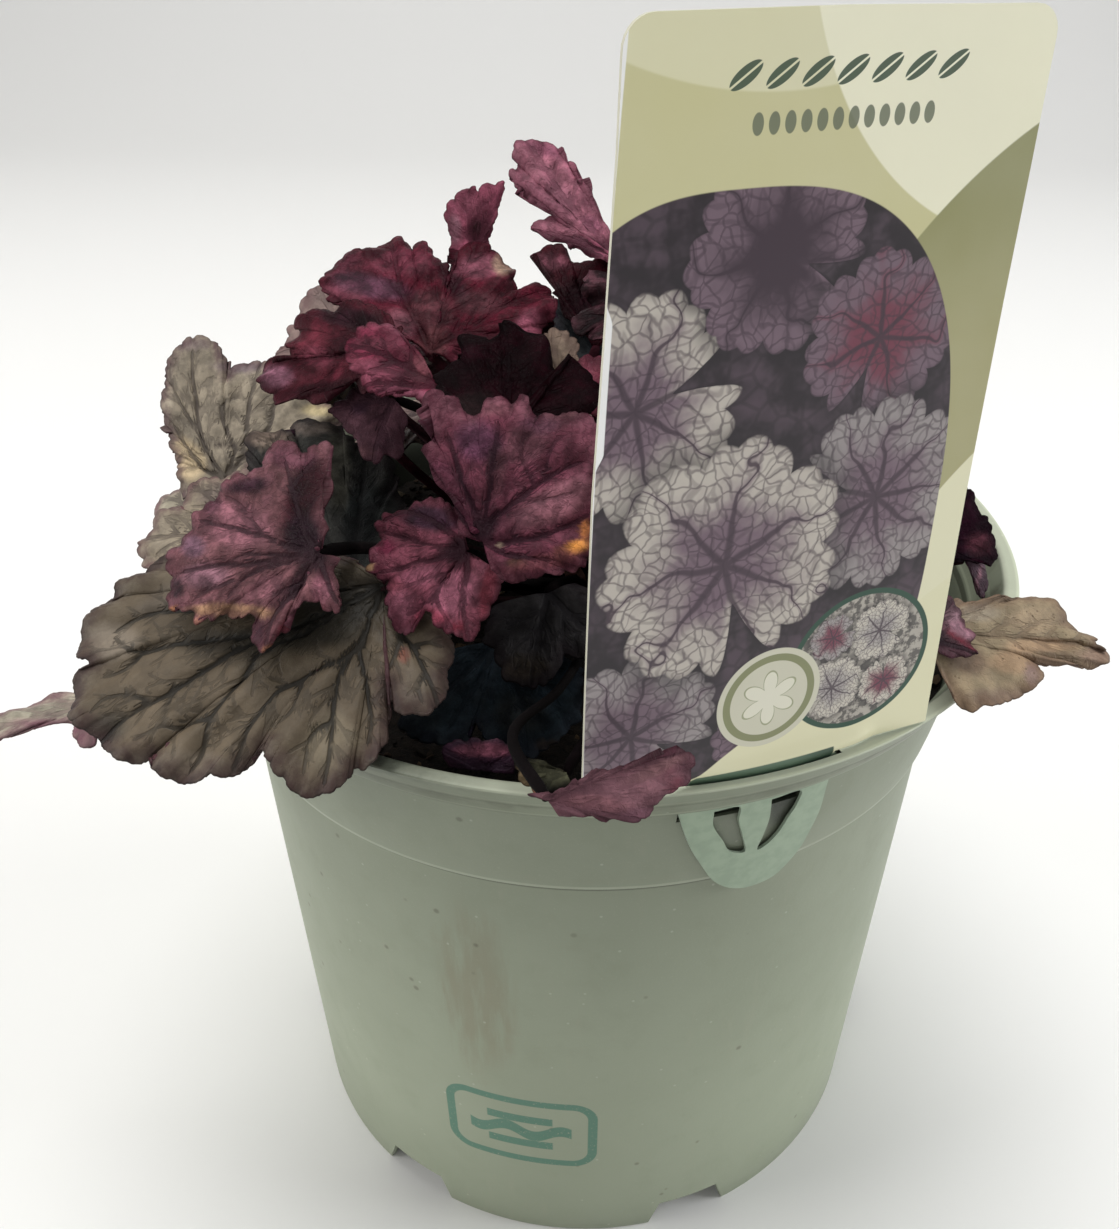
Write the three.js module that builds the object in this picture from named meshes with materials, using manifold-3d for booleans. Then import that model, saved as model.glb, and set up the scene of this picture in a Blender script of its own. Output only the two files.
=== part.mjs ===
// Heuchera (coral bells) in its nursery pot, with a plastic plant label.
// Millimetres, +Z up. The origin is the centre of the pot's underside, on the
// surface that it stands on. +Y points away from the pot's front, +X to its right.
import * as THREE from 'three';
import * as BufferGeometryUtils from 'three/addons/utils/BufferGeometryUtils.js';
import Module from 'manifold-3d';

const wasm = await Module();
wasm.setup();

// ---------------------------------------------------------------- dimensions
const POT_HEIGHT = 141.5;        // standing surface to top of rim
const RIM_R = 85;                // outer radius of the rim's top edge
const RIM_INNER_R = 82.1;        // inner radius of the flat rim top
const LIP_DROP = 9.1;            // height of the sloping lip under the rim
const LIP_BOTTOM_R = 79.4;       // outer radius at the lip's lower edge
const COLLAR_TOP_R = 77.6;       // outer radius of the collar under the lip
const COLLAR_BOTTOM_R = 73.6;
const COLLAR_BOTTOM_Z = 110.8;
const BODY_TOP_R = 72.2;
const BASE_R = 66.9;             // outer radius of the foot ring
const WALL = 1.4;
const FLOOR_Z = 8;               // underside of the raised floor
const PAD_R = 15;                // central pad of the floor, level with the feet
const SEGMENTS = 40;
const FOOT_NOTCHES = [-124, -69.5, 0, 45, 90, 135, 180];  // degrees round the foot ring
const NOTCH_HALF_ANGLE = 8;
const DRAIN_R = 4;               // drainage hole radius
const DRAIN_RING_R = 56;
const COMPOST_TOP_Z = 123.5;
const COMPOST_GAP = 0.35;
const CROWN_R = 12;
const CROWN_Z = 124.5;           // centre of the crown's dome
const LABEL_T = 0.6;             // label sheet thickness
const LABEL_DIR = -66.1;         // direction that the label's face looks, degrees
const LABEL_OFFSET = 81.6;       // label plane's distance from the pot's axis
const SLOT_R = 82.6;             // slot centre radius at the rim top
const SLOT_SLOPE = 0.467;        // how fast the slot leans inwards going down
const SLOT_HALF = 0.65;
const SLOT_FROM = -20.0;         // slot ends along the label's width
const SLOT_TO = 9.3;
const BLADE_T = 0.9;             // leaf blade thickness
const STALK_R = 1.2;             // leaf stalk radius

// ------------------------------------------------------------------- helpers
const DEG = Math.PI / 180;
function solid(geometry) {
  const g = geometry.clone();
  for (const name of Object.keys(g.attributes)) if (name !== 'position') g.deleteAttribute(name);
  const merged = BufferGeometryUtils.mergeVertices(g, 1e-4);
  const index = merged.index.array;
  const keep = [];
  for (let i = 0; i < index.length; i += 3) {
    const [a, b, c] = [index[i], index[i + 1], index[i + 2]];
    if (a !== b && b !== c && a !== c) keep.push(a, b, c);
  }
  return new wasm.Manifold(new wasm.Mesh({
    numProp: 3,
    vertProperties: Float32Array.from(merged.attributes.position.array),
    triVerts: Uint32Array.from(keep),
  }));
}
function toGeometry(m) {
  const mesh = m.getMesh();
  const g = new THREE.BufferGeometry();
  g.setAttribute('position', new THREE.BufferAttribute(Float32Array.from(mesh.vertProperties), 3));
  g.setIndex(new THREE.BufferAttribute(Uint32Array.from(mesh.triVerts), 1));
  return g;
}
function lathe(profile, segments = SEGMENTS) {
  const g = new THREE.LatheGeometry(profile.map(([r, z]) => new THREE.Vector2(r, z)), segments);
  g.rotateX(Math.PI / 2);
  return fixWinding(g);
}
function signedVolume(g) {
  const p = g.attributes.position;
  const idx = g.index ? g.index.array : [...Array(p.count).keys()];
  const a = new THREE.Vector3(), b = new THREE.Vector3(), c = new THREE.Vector3();
  let v = 0;
  for (let i = 0; i < idx.length; i += 3) {
    a.fromBufferAttribute(p, idx[i]); b.fromBufferAttribute(p, idx[i + 1]); c.fromBufferAttribute(p, idx[i + 2]);
    v += a.dot(b.cross(c)) / 6;
  }
  return v;
}
function fixWinding(g) {
  if (signedVolume(g) < 0) {
    const idx = g.index.array;
    for (let i = 0; i < idx.length; i += 3) { const t = idx[i]; idx[i] = idx[i + 1]; idx[i + 1] = t; }
  }
  return g;
}
function tube(points, radius, sides, steps) {
  const section = new THREE.Shape();
  for (let i = 0; i < sides; i++) {
    const a = (i / sides) * 2 * Math.PI;
    if (i === 0) section.moveTo(radius * Math.cos(a), radius * Math.sin(a));
    else section.lineTo(radius * Math.cos(a), radius * Math.sin(a));
  }
  section.closePath();
  return new THREE.ExtrudeGeometry(section, {
    steps, bevelEnabled: false, curveSegments: 1,
    extrudePath: new THREE.CatmullRomCurve3(points, false, 'centripetal'),
  });
}
function slab(outline, depth) {
  const shape = new THREE.Shape(outline.map(([x, y]) => new THREE.Vector2(x, y)));
  return new THREE.ExtrudeGeometry(shape, { depth, bevelEnabled: false, steps: 1 });
}
const parts = new THREE.Group();
function add(name, geometry, color, roughness, metalness = 0) {
  const mesh = new THREE.Mesh(geometry, new THREE.MeshStandardMaterial({ color, roughness, metalness }));
  mesh.name = name;
  parts.add(mesh);
  return mesh;
}

// ----------------------------------------------------------------------- pot
// Thin-walled injection-moulded pot: sloping lip, straight collar, tapering
// body, and a floor raised on a notched foot ring, with a solid pad in its middle.
const bodyInner = (z) => BASE_R - WALL + (BODY_TOP_R - BASE_R) * (z / COLLAR_BOTTOM_Z);
const potProfile = [
  [0, 0], [PAD_R, 0], [PAD_R + 3, FLOOR_Z], [bodyInner(FLOOR_Z) - 0.2, FLOOR_Z],
  [BASE_R - WALL, 0], [BASE_R, 0],
  [BODY_TOP_R, COLLAR_BOTTOM_Z - 0.4], [COLLAR_BOTTOM_R, COLLAR_BOTTOM_Z],
  [COLLAR_TOP_R, POT_HEIGHT - LIP_DROP - 0.1], [LIP_BOTTOM_R, POT_HEIGHT - LIP_DROP],
  [RIM_R, POT_HEIGHT - 0.6], [RIM_R - 0.4, POT_HEIGHT],
  [RIM_INNER_R, POT_HEIGHT], [RIM_INNER_R - 0.8, POT_HEIGHT - 1.2],
  [COLLAR_TOP_R - WALL, POT_HEIGHT - LIP_DROP - 0.8],
  [COLLAR_BOTTOM_R - WALL + 0.2, COLLAR_BOTTOM_Z + 0.6], [BODY_TOP_R - WALL, COLLAR_BOTTOM_Z - 1.4],
  [bodyInner(FLOOR_Z + WALL), FLOOR_Z + WALL + 0.1], [bodyInner(FLOOR_Z + WALL) - 2, FLOOR_Z + WALL], [0, FLOOR_Z + WALL],
];
let pot = solid(lathe(potProfile));

const labelNormal = new THREE.Vector2(Math.cos(LABEL_DIR * DEG), Math.sin(LABEL_DIR * DEG));
const labelAcross = new THREE.Vector2(-labelNormal.y, labelNormal.x);
// point at s across the label, n out from the axis, z up
const onLabel = (s, n, z) => new THREE.Vector3(
  labelAcross.x * s + labelNormal.x * n, labelAcross.y * s + labelNormal.y * n, z);
const slotR = (z) => SLOT_R + SLOT_SLOPE * (z - POT_HEIGHT);

// sheet between two radial offsets of the leaning slot surface, over s and z
function curvedSheet(sValues, zValues, place) {
  const ns = sValues.length, nz = zValues.length;
  const pos = [];
  for (const side of [0, 1]) for (const z of zValues) for (const s of sValues) {
    const v = place(s, z, side); pos.push(v.x, v.y, v.z);
  }
  const id = (side, j, i) => side * ns * nz + j * ns + i;
  const idx = [];
  for (let j = 0; j < nz - 1; j++) for (let i = 0; i < ns - 1; i++) {
    idx.push(id(1, j, i), id(1, j, i + 1), id(1, j + 1, i + 1), id(1, j, i), id(1, j + 1, i + 1), id(1, j + 1, i));
    idx.push(id(0, j, i), id(0, j + 1, i + 1), id(0, j, i + 1), id(0, j, i), id(0, j + 1, i), id(0, j + 1, i + 1));
  }
  for (let i = 0; i < ns - 1; i++) {
    idx.push(id(0, 0, i), id(0, 0, i + 1), id(1, 0, i + 1), id(0, 0, i), id(1, 0, i + 1), id(1, 0, i));
    idx.push(id(0, nz - 1, i), id(1, nz - 1, i + 1), id(0, nz - 1, i + 1), id(0, nz - 1, i), id(1, nz - 1, i), id(1, nz - 1, i + 1));
  }
  for (let j = 0; j < nz - 1; j++) {
    idx.push(id(0, j, 0), id(1, j, 0), id(1, j + 1, 0), id(0, j, 0), id(1, j + 1, 0), id(0, j + 1, 0));
    idx.push(id(0, j, ns - 1), id(1, j + 1, ns - 1), id(1, j, ns - 1), id(0, j, ns - 1), id(0, j + 1, ns - 1), id(1, j + 1, ns - 1));
  }
  const g = new THREE.BufferGeometry();
  g.setAttribute('position', new THREE.BufferAttribute(new Float32Array(pos), 3));
  g.setIndex(idx);
  return fixWinding(g);
}
const range = (a, b, n) => Array.from({ length: n + 1 }, (_, i) => a + ((b - a) * i) / n);
const onCone = (s, r, z) => onLabel(s, Math.sqrt(r * r - s * s), z);

// local thickening inside the lip, where the label's slot runs
const bossZ = [POT_HEIGHT - LIP_DROP - 0.4, POT_HEIGHT - 4.5, POT_HEIGHT];
const boss = solid(curvedSheet(range(SLOT_FROM - 3, SLOT_TO + 3, 14), bossZ,
  (s, z, side) => onCone(s, side ? slotR(z) + 0.2 : slotR(z) - 2.4, z)));
pot = pot.add(boss);

// the slot itself
pot = pot.subtract(solid(curvedSheet(range(SLOT_FROM, SLOT_TO, 14), [POT_HEIGHT - LIP_DROP - 1.5, POT_HEIGHT - 4.5, POT_HEIGHT + 1],
  (s, z, side) => onCone(s, slotR(z) + (side ? SLOT_HALF : -SLOT_HALF) + (z < POT_HEIGHT - LIP_DROP - 1 ? 0.05 : 0), z))));

// notches between the feet, with sloping ends
for (const a of FOOT_NOTCHES) {
  const w0 = BASE_R * Math.sin(NOTCH_HALF_ANGLE * DEG), w1 = w0 - 2.6;
  const notch = slab([[-w0, -1], [w0, -1], [w1, FLOOR_Z - 1.2], [-w1, FLOOR_Z - 1.2]], 12);
  notch.rotateX(Math.PI / 2);                       // outline now in X and Z, depth along -Y
  notch.translate(0, BASE_R + 6, 0);
  notch.rotateZ((a - 90) * DEG);
  pot = pot.subtract(solid(notch));
  const drain = new THREE.CylinderGeometry(DRAIN_R, DRAIN_R, 6, 12);
  drain.rotateX(Math.PI / 2);
  drain.translate(DRAIN_RING_R * Math.cos(a * DEG), DRAIN_RING_R * Math.sin(a * DEG), FLOOR_Z + 1);
  pot = pot.subtract(solid(drain));
}
add('pot', toGeometry(pot), 0x96a08c, 0.62);

// ------------------------------------------------------------------- compost
const innerBottom = bodyInner(FLOOR_Z + WALL) - COMPOST_GAP;
const compostProfile = [
  [0, FLOOR_Z + WALL + 0.35], [innerBottom, FLOOR_Z + WALL + 0.45],
  [BODY_TOP_R - WALL - COMPOST_GAP, COLLAR_BOTTOM_Z - 1.4],
  [COLLAR_BOTTOM_R - WALL - COMPOST_GAP - 0.1, COLLAR_BOTTOM_Z + 0.8], [74.0, COMPOST_TOP_Z - 1.2],
  [68, COMPOST_TOP_Z], [0, COMPOST_TOP_Z],
];
add('compost', toGeometry(solid(lathe(compostProfile))), 0x1d1712, 0.97);

// --------------------------------------------------------------------- crown
// short woody rhizome that the leaf stalks grow from
const crownProfile = [[0, COMPOST_TOP_Z + 0.35]];
for (let i = 0; i <= 6; i++) {
  const a = (i / 6) * 90 * DEG;
  const r = CROWN_R * Math.cos(a), z = CROWN_Z + CROWN_R * Math.sin(a);
  crownProfile.push([i === 6 ? 0 : r, z]);
}
add('crown', toGeometry(solid(lathe(crownProfile, 18))), 0x3a2a22, 0.9);

// --------------------------------------------------------------------- label
// A flat printed sheet that stands on the rim. Its neck goes through the rim's
// slot and ends in a rounded tongue outside, in front of the collar.
const tongueR = (z) => {
  const d = z - POT_HEIGHT;
  return d > -9.2 ? SLOT_R + SLOT_SLOPE * d : 78.304 + 0.186 * (d + 9.2);
};
const smooth = (x) => { const t = Math.min(1, Math.max(0, x)); return t * t * (3 - 2 * t); };
const labelZ = [-36, -28, -20, -12, -9.2, -4.5, 0.3, 1.3, 2.4, 4.0, 107].map((z) => z + POT_HEIGHT);
const labelS = [-39, -23.5, -21, ...range(-19, 9, 7), 11, 13.5, 25];
const labelSheet = curvedSheet(labelS, labelZ, (s, z, side) => {
  const off = side ? LABEL_T / 2 : -LABEL_T / 2;
  const d = z - POT_HEIGHT;
  const wz = 1 - smooth((d - 0.3) / 3.7);
  const ws = d < 0.3 ? 1 : 1 - smooth((Math.abs(s + 5) - 14.5) / 4);
  const w = wz * ws;
  const arc = Math.sqrt(tongueR(z) ** 2 - s * s);
  return onLabel(s, LABEL_OFFSET * (1 - w) + arc * w + off, z);
});
const labelOutline = [
  [-37.3, 1.2], [-19.4, 1.2], [-19.2, -6], [-18, -10.6], [-15, -19.2], [-12.2, -24.8], [-9.6, -29.4], [-6.6, -32.2],
  [-3.7, -33.7], [-0.9, -34.0], [2.7, -33.2], [5.0, -30.8], [7.1, -27.2], [8.1, -22.9], [8.8, -18.4], [8.5, -12], [8.2, -6],
  [4.6, 0.9], [22.8, 0.5], [22.3, 22], [21.9, 43], [21.8, 69], [21.9, 87], [21.9, 100], [21.2, 102.6], [19.4, 104.1], [17, 104.5],
  [-7, 104.9], [-30.6, 105], [-32.4, 104.3], [-33.5, 102.6], [-33.7, 100], [-34.1, 91], [-35.2, 70.3], [-36.3, 51.4], [-36.9, 24.6],
];
const cutLeft = [[-12.6, -10.4], [-8.1, -10.4], [-7.6, -14], [-6.3, -18], [-4.9, -23.2], [-6.6, -22.8], [-7.9, -21.9], [-9.6, -18.6], [-12.2, -14]];
const cutRight = [[-2.4, -10.4], [3.2, -10.4], [3, -14.3], [2.1, -16.8], [1.1, -20], [-0.5, -22.5], [-2.4, -23.6], [-2.1, -20], [-1.8, -15.7]];
function labelPrism(outline) {
  const g = slab(outline, 40);                       // outline in X, Y; depth along Z
  const m = new THREE.Matrix4().makeBasis(
    new THREE.Vector3(labelAcross.x, labelAcross.y, 0), new THREE.Vector3(0, 0, 1),
    new THREE.Vector3(-labelNormal.x, -labelNormal.y, 0));
  m.setPosition(onLabel(0, 100, POT_HEIGHT));
  g.applyMatrix4(m);
  return solid(fixWinding(BufferGeometryUtils.mergeVertices((() => { g.deleteAttribute('normal'); g.deleteAttribute('uv'); return g; })(), 1e-4)));
}
let label = solid(labelSheet).intersect(labelPrism(labelOutline));
label = label.subtract(labelPrism(cutLeft)).subtract(labelPrism(cutRight));
add('plant_label', toGeometry(label), 0xb9b78f, 0.45);

// -------------------------------------------------------------------- leaves
// Each leaf is a lobed blade on its stalk, grown as one piece. base is where the
// stalk meets the blade, up is the blade's normal there, rim lists the margin as
// x,y,z,bow, and stalk lists points from the crown to the base.
const TONES = {
  silver: 0x7f7a6c, silver2: 0x8f8a78, dark: 0x3c4138, pale: 0xa59f8c, pale2: 0x9a9a88, palepink: 0xb3a39a,
  purple: 0x7a3f52, purple_top: 0x7c3d4c, purple_back: 0x7d4258, purple_lit: 0x8d4a60, pink: 0x91506a,
  maroon: 0x55222f, maroon2: 0x4b2430, brown: 0x553a40, tan: 0xa68f70, tan_dark: 0x6d6452, olive: 0x57503f,
};
const LEAVES = [
  { name: 'leaf_01_low_left', tone: 'silver', base: [-33.3, -55.3, 160.1], up: [-0.04, -0.452, 0.891],
    rim: '-40.1,-50.4,162.1,0.08 -47.8,-48.4,162.3,0.29 -64.5,-48.3,159.7,1.12 -76.3,-50.7,155.9,2.05 -78.8,-52.2,154.5,2.3 -78.8,-54.4,153.4,2.3 -81.1,-55.5,152.1,2.55 -82.6,-58.3,150.2,2.75 -82.6,-61.7,148.3,2.83 -81.3,-64.1,147.3,2.76 -78.4,-65.1,147.5,2.48 -80.8,-66.5,146,2.8 -81.5,-68,144.9,2.94 -78.1,-73.9,142.2,2.9 -71.5,-78.7,140.7,2.59 -68,-80,140.6,2.39 -64.4,-79.6,141.7,2.06 -63.3,-81.7,140.5,2.16 -60.6,-83.1,140.1,2.09 -57.8,-83.6,140.2,1.96 -54.3,-82.5,141.6,1.66 -52.1,-83.3,141.4,1.62 -46.7,-79.8,144.5,1.12 -41.6,-85.2,141.3,1.44 -38.6,-85.8,141.1,1.44 -35.6,-85.4,141.6,1.37 -32.9,-81.6,144.4,1.03 -30.4,-81.4,144.7,1.02 -29,-79,146.4,0.84 -29.3,-70.3,151.9,0.34 -27.9,-73.6,149.9,0.51 -25.6,-75.2,148.9,0.63 -23.1,-74.6,149.3,0.65 -20.5,-68.5,153,0.43 -20.1,-65.8,154.6,0.35 -24.4,-57.2,159.3,0.09 -27.9,-53.5,161.2,0.04',
    stalk: '-5.8,-9.5,130.1 -12.8,-18.7,134.4 -18.7,-28,140 -23.8,-37.1,146.6 -28.5,-46.1,153.5 -33.3,-55.3,160.1' },
  { name: 'leaf_02_far_left', tone: 'palepink', base: [-85.2, -50, 132], up: [-0.131, 0.048, 0.99],
    rim: '-88.3,-45.7,131.4,-0 -94.7,-46.2,130.6,0 -99.4,-48,130.1,-0 -104.5,-53.7,129.7,-0 -105.2,-57.8,129.8,0 -101.7,-60.9,130.4,-0 -96.1,-57.9,131,0 -90.2,-56.5,131.7,0 -88.2,-56.9,132,-0 -84.4,-63.5,132.8,-0 -82.3,-63.5,133.1,-0 -82.5,-59.5,132.9,-0',
    stalk: '-11,-5,127.5 -27.6,-12,137.5 -45.3,-18.2,146.4 -64.8,-24.3,148.7 -81.3,-34.3,142.1 -85.2,-50,132' },
  { name: 'leaf_03_left_purple', tone: 'purple', base: [-41.8, -61, 168.9], up: [-0.251, -0.62, 0.743],
    rim: '-40,-58.4,171.6,0.01 -41.4,-55.5,173.5,0.04 -41.5,-47.8,179.3,0.24 -43.4,-45.7,180.2,0.3 -45,-45.9,179.6,0.29 -46.2,-47.3,178.2,0.24 -48.4,-45.1,179,0.33 -51.2,-44.2,178.7,0.39 -52.8,-44.7,177.7,0.39 -53.4,-46.6,176.1,0.33 -55.5,-47.6,174.5,0.33 -59,-47.8,172.9,0.41 -59.8,-49.4,171.4,0.39 -62.4,-50,169.9,0.46 -65.6,-53.4,165.8,0.53 -67,-55.5,163.4,0.58 -65.9,-62.1,158.3,0.58 -61.7,-64,158.5,0.43 -60.6,-65.5,157.6,0.42 -56.6,-65.5,159.3,0.28 -51.6,-66.6,160.4,0.17 -50.9,-69.4,158.2,0.22 -48.2,-71.8,157,0.25 -45.1,-69.6,160.2,0.13 -43.8,-67.1,162.9,0.06 -41,-67,164,0.05 -38.6,-68.8,163.2,0.08 -37,-68.2,164.3,0.08 -37.6,-62.4,169,0.02',
    stalk: '-6.7,-6.7,132.6 -11.8,-15.7,142.2 -17.7,-28.3,149.2 -24.9,-40.4,155.8 -36,-48.6,162.6 -41.8,-61,168.9' },
  { name: 'leaf_04_upper_left', tone: 'silver2', base: [-73.8, -2, 151.8], up: [-0.116, -0.659, 0.743],
    rim: '-80.5,-4,149.1,-0.03 -82.6,-1.9,150.7,-0.04 -86.8,5.2,156.6,-0.13 -89.3,11.5,162.1,-0.29 -89.4,15.3,165.8,-0.41 -87.2,20.6,171.4,-0.59 -83,21,172.4,-0.57 -80.6,20.5,172.2,-0.53 -78.5,18.9,170.9,-0.45 -76.2,14.1,166.5,-0.27 -75.2,15.6,168.1,-0.32 -72.8,16.4,169.3,-0.36 -66.4,15.4,169.4,-0.37 -62,13.4,168.3,-0.36 -58,10,165.9,-0.33 -50.9,6.2,163.8,-0.41 -52,4.9,162.3,-0.35 -68.2,-1,153.6,-0.02',
    stalk: '-11,1.2,130.2 -24.1,1.3,134.1 -37.5,0.5,137 -50.8,-0.7,139.9 -64,-1.9,143.6 -73.8,-2,151.8' },
  { name: 'leaf_05_dark_under', tone: 'dark', base: [-42.3, -37.3, 150.1], up: [0.03, -0.341, 0.94],
    rim: '-48.9,-33.6,151.6,0.03 -55.9,-27,153.9,0.17 -61.6,-19.3,156.4,0.42 -66.2,-11.4,158.7,0.75 -68,-5.5,160.3,1.01 -67.5,-1.5,161.4,1.16 -64.2,-0,161.9,1.14 -59.8,-2.6,161.3,0.93 -59.8,0.3,162.1,1.06 -57.6,2.5,162.6,1.12 -54,2.6,162.7,1.07 -50.6,1.2,162.3,0.97 -48.6,-2.1,161.4,0.8 -38.7,-8.9,159.2,0.51 -35.4,-16.1,156.9,0.31 -34,-23.5,154.5,0.16 -34.7,-30.2,152.3,0.06 -36.9,-35.7,150.5,0.02',
    stalk: '-8.8,-7.2,129.6 -14.7,-13.4,134.8 -21.3,-20.3,138 -28.3,-27,140.8 -35.4,-33.2,144.2 -42.3,-37.3,150.1' },
  { name: 'leaf_06_pale_left', tone: 'pale', base: [-58.8, -32.7, 153.3], up: [-0.287, -0.41, 0.866],
    rim: '-60.6,-23.3,157,0.06 -62.5,-17.2,159,0.16 -64.1,-14.8,159.5,0.22 -67.2,-13.2,159.1,0.28 -70.2,-13.9,157.7,0.29 -72.5,-12.9,157.4,0.34 -75.4,-13.4,156.1,0.38 -76.6,-15.9,154.6,0.34 -76.4,-18.4,153.6,0.29 -79.3,-17.3,152.9,0.38 -84,-20.3,149.8,0.46 -84.6,-23.5,148.1,0.45 -83.3,-27.1,147,0.38 -76.2,-33,146.9,0.2 -69.5,-37.5,147.3,0.1 -62.6,-39.6,148.7,0.05',
    stalk: '-10.3,-3.2,130.7 -17.3,-10.7,138.3 -26.4,-18.7,142 -36.8,-26,144 -48.1,-31.1,146.8 -58.8,-32.7,153.3' },
  { name: 'leaf_07_left_edge', tone: 'pale', base: [-73.9, -11.8, 147.5], up: [-0.439, -0.369, 0.819],
    rim: '-79.8,-2.7,148.5,-0 -83.8,1.4,148.2,-0 -87.2,2.3,146.7,0 -89,0.4,144.9,0 -89.7,-3.7,142.7,0 -80.9,-12.6,143.4,0',
    stalk: '-12,-1.4,127.7 -24.5,-5,130.7 -36.9,-8.8,133.9 -49.4,-11.9,137.5 -61.9,-13.3,142 -73.9,-11.8,147.5' },
  { name: 'leaf_08_top_back', tone: 'purple_top', base: [-28.6, -19.7, 185.4], up: [-0.035, -0.405, 0.914],
    rim: '-38.7,-14.2,187.3,0.08 -50,-2.8,191.1,0.44 -49.9,1.5,192.8,0.54 -48.4,4.9,194.2,0.61 -45.8,6.6,195.1,0.61 -43,5.2,194.8,0.52 -41.9,8.3,196,0.61 -38.5,10.4,196.9,0.65 -35.9,8.4,196.4,0.55 -34.7,6.1,195.6,0.46 -33,8,196.4,0.52 -27.8,1.9,194.3,0.31 -27.5,-0.8,193.3,0.24 -26.6,4.6,195.4,0.4 -23.8,7.4,196.5,0.5 -19.9,6.2,196.2,0.49 -15.8,2.1,194.7,0.41 -14.5,-4.2,192.2,0.28 -11.5,-3.1,192.7,0.35 -8.6,-4.6,192.1,0.39 -7.2,-9.6,190,0.33 -9.5,-13.2,188.5,0.24 -8.8,-16,187.3,0.24 -23.1,-20,185.5,0.02 -24,-23.2,184,0.02',
    stalk: '-2,0.8,136.8 -4.7,-0.5,148.4 -10.4,-3.7,158.6 -17.3,-8.3,167.5 -23.9,-13.6,176.1 -28.6,-19.7,185.4' },
  { name: 'leaf_09_top_left', tone: 'maroon', base: [-32.5, -25.4, 187.5], up: [-0.378, -0.45, 0.809],
    rim: '-31.8,-29.5,185.5,0.01 -35.9,-29.8,183.5,0.01 -54.1,-24.7,177.4,0.16 -59.9,-17.1,178.7,0.25 -59.5,-15.1,180,0.25 -53.3,-16.2,182.5,0.15 -54.9,-12.9,183.6,0.19 -53.4,-7.8,187,0.21 -50,-7.8,188.7,0.17 -39.7,-12.3,191.3,0.07 -35.9,-16.7,190.7,0.03 -33.7,-20.6,189.6,0.01',
    stalk: '-5,-2.2,135.7 -10,-4.6,147.1 -15.3,-8.7,157.9 -20.8,-13.9,168.1 -26.6,-19.7,177.8 -32.5,-25.4,187.5' },
  { name: 'leaf_10_mid_pink', tone: 'pink', base: [-25.5, -35, 185.4], up: [-0.152, -0.568, 0.809],
    rim: '-29,-28.9,188.8,0.07 -33,-25.7,190,0.19 -37.7,-23.3,190.5,0.35 -41.4,-24.1,189,0.44 -43.3,-26.8,186.8,0.44 -38.2,-33.7,183.4,0.19 -34.2,-35.8,183,0.09 -30,-36.3,183.6,0.03 -25.6,-37.8,183.4,0.01',
    stalk: '-3.5,-5.5,135.1 -7.5,-9.9,146.1 -11.5,-15.9,156.3 -15.8,-22.5,166.1 -20.4,-29,175.7 -25.5,-35,185.4' },
  { name: 'leaf_11_centre', tone: 'purple', base: [-16.5, -62.1, 172], up: [-0.026, -0.743, 0.669],
    rim: '-19.6,-61.6,172.4,0.01 -27.6,-52.5,181.1,0.35 -26.5,-51.5,182.3,0.37 -28.9,-47.1,186.1,0.68 -26.9,-45.9,187.5,0.72 -21.2,-48.1,185.9,0.48 -18.6,-46.2,187.8,0.59 -13.4,-45.2,188.9,0.69 -11.7,-48,186.3,0.5 -5.3,-46.4,187.7,0.73 -2.9,-46.8,187.3,0.77 -0.7,-48.4,185.7,0.74 0.3,-50.7,183.4,0.64 -0.4,-62.6,171.2,0.31 -3.3,-64,169.7,0.22 -11.6,-66,167.6,0.07 -14.6,-65.3,168.4,0.03',
    stalk: '0.2,-8.4,133.7 -1.6,-18.4,142.9 -4.1,-29.3,150.7 -7.2,-40.5,158.1 -11.2,-51.5,165.1 -16.5,-62.1,172' },
  { name: 'leaf_12_centre_low', tone: 'pink', base: [-19.3, -59.4, 168.5], up: [-0.338, -0.635, 0.695],
    rim: '-20.2,-55.3,171.7,0.03 -22.6,-52.4,173.1,0.09 -26.5,-50.6,172.6,0.17 -33.9,-50,169,0.35 -34.7,-51,167.7,0.35 -33.5,-53,166.7,0.28 -35.4,-53.6,165,0.35 -36.1,-55.3,163,0.38 -32,-58.6,162.4,0.23 -32.5,-61,159.9,0.29 -29.4,-65.6,157,0.32 -25.7,-64.4,160.5,0.15 -23,-66.9,159.4,0.18 -17.2,-70.4,158.8,0.26 -15,-65.8,164.5,0.09 -13.4,-64.7,166.3,0.08 -15.2,-62.4,167.7,0.03',
    stalk: '-3.5,-8.5,132.9 -6.2,-19.5,139.1 -8.7,-30.4,145.7 -11.2,-41,152.6 -14.3,-51.1,160.1 -19.3,-59.4,168.5' },
  { name: 'leaf_13_small_brown', tone: 'brown', base: [-34.4, -26, 179.4], up: [-0.112, -0.633, 0.766],
    rim: '-40.5,-23.8,180.3,0.02 -44.6,-24.5,179,0.06 -45.9,-25.8,177.7,0.08 -40.8,-31.1,174.2,0.05 -39.9,-33.6,172.2,0.08 -38.5,-34.6,171.6,0.08 -33.7,-34.2,172.6,0.06 -32.8,-28.8,177.4,0.01',
    stalk: '-7.9,-3.3,133.5 -13,-5.9,143.8 -18,-9,154 -23.2,-12.9,163.8 -28.6,-18.3,172.8 -34.4,-26,179.4' },
  { name: 'leaf_14_upright', tone: 'purple_back', base: [-23.6, 9.2, 193.8], up: [0.165, -0.937, 0.309],
    rim: '-27.2,8.9,194.9,-0.01 -29.3,10.5,201.1,-0.05 -28.3,11.3,203,-0.06 -26.1,12.3,205.1,-0.08 -24.3,12.9,205.8,-0.08 -23.7,12.6,204.6,-0.07 -22,13.4,206.2,-0.09 -18.9,14.1,207,-0.12 -20.5,9.9,194.4,-0.01',
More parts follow.
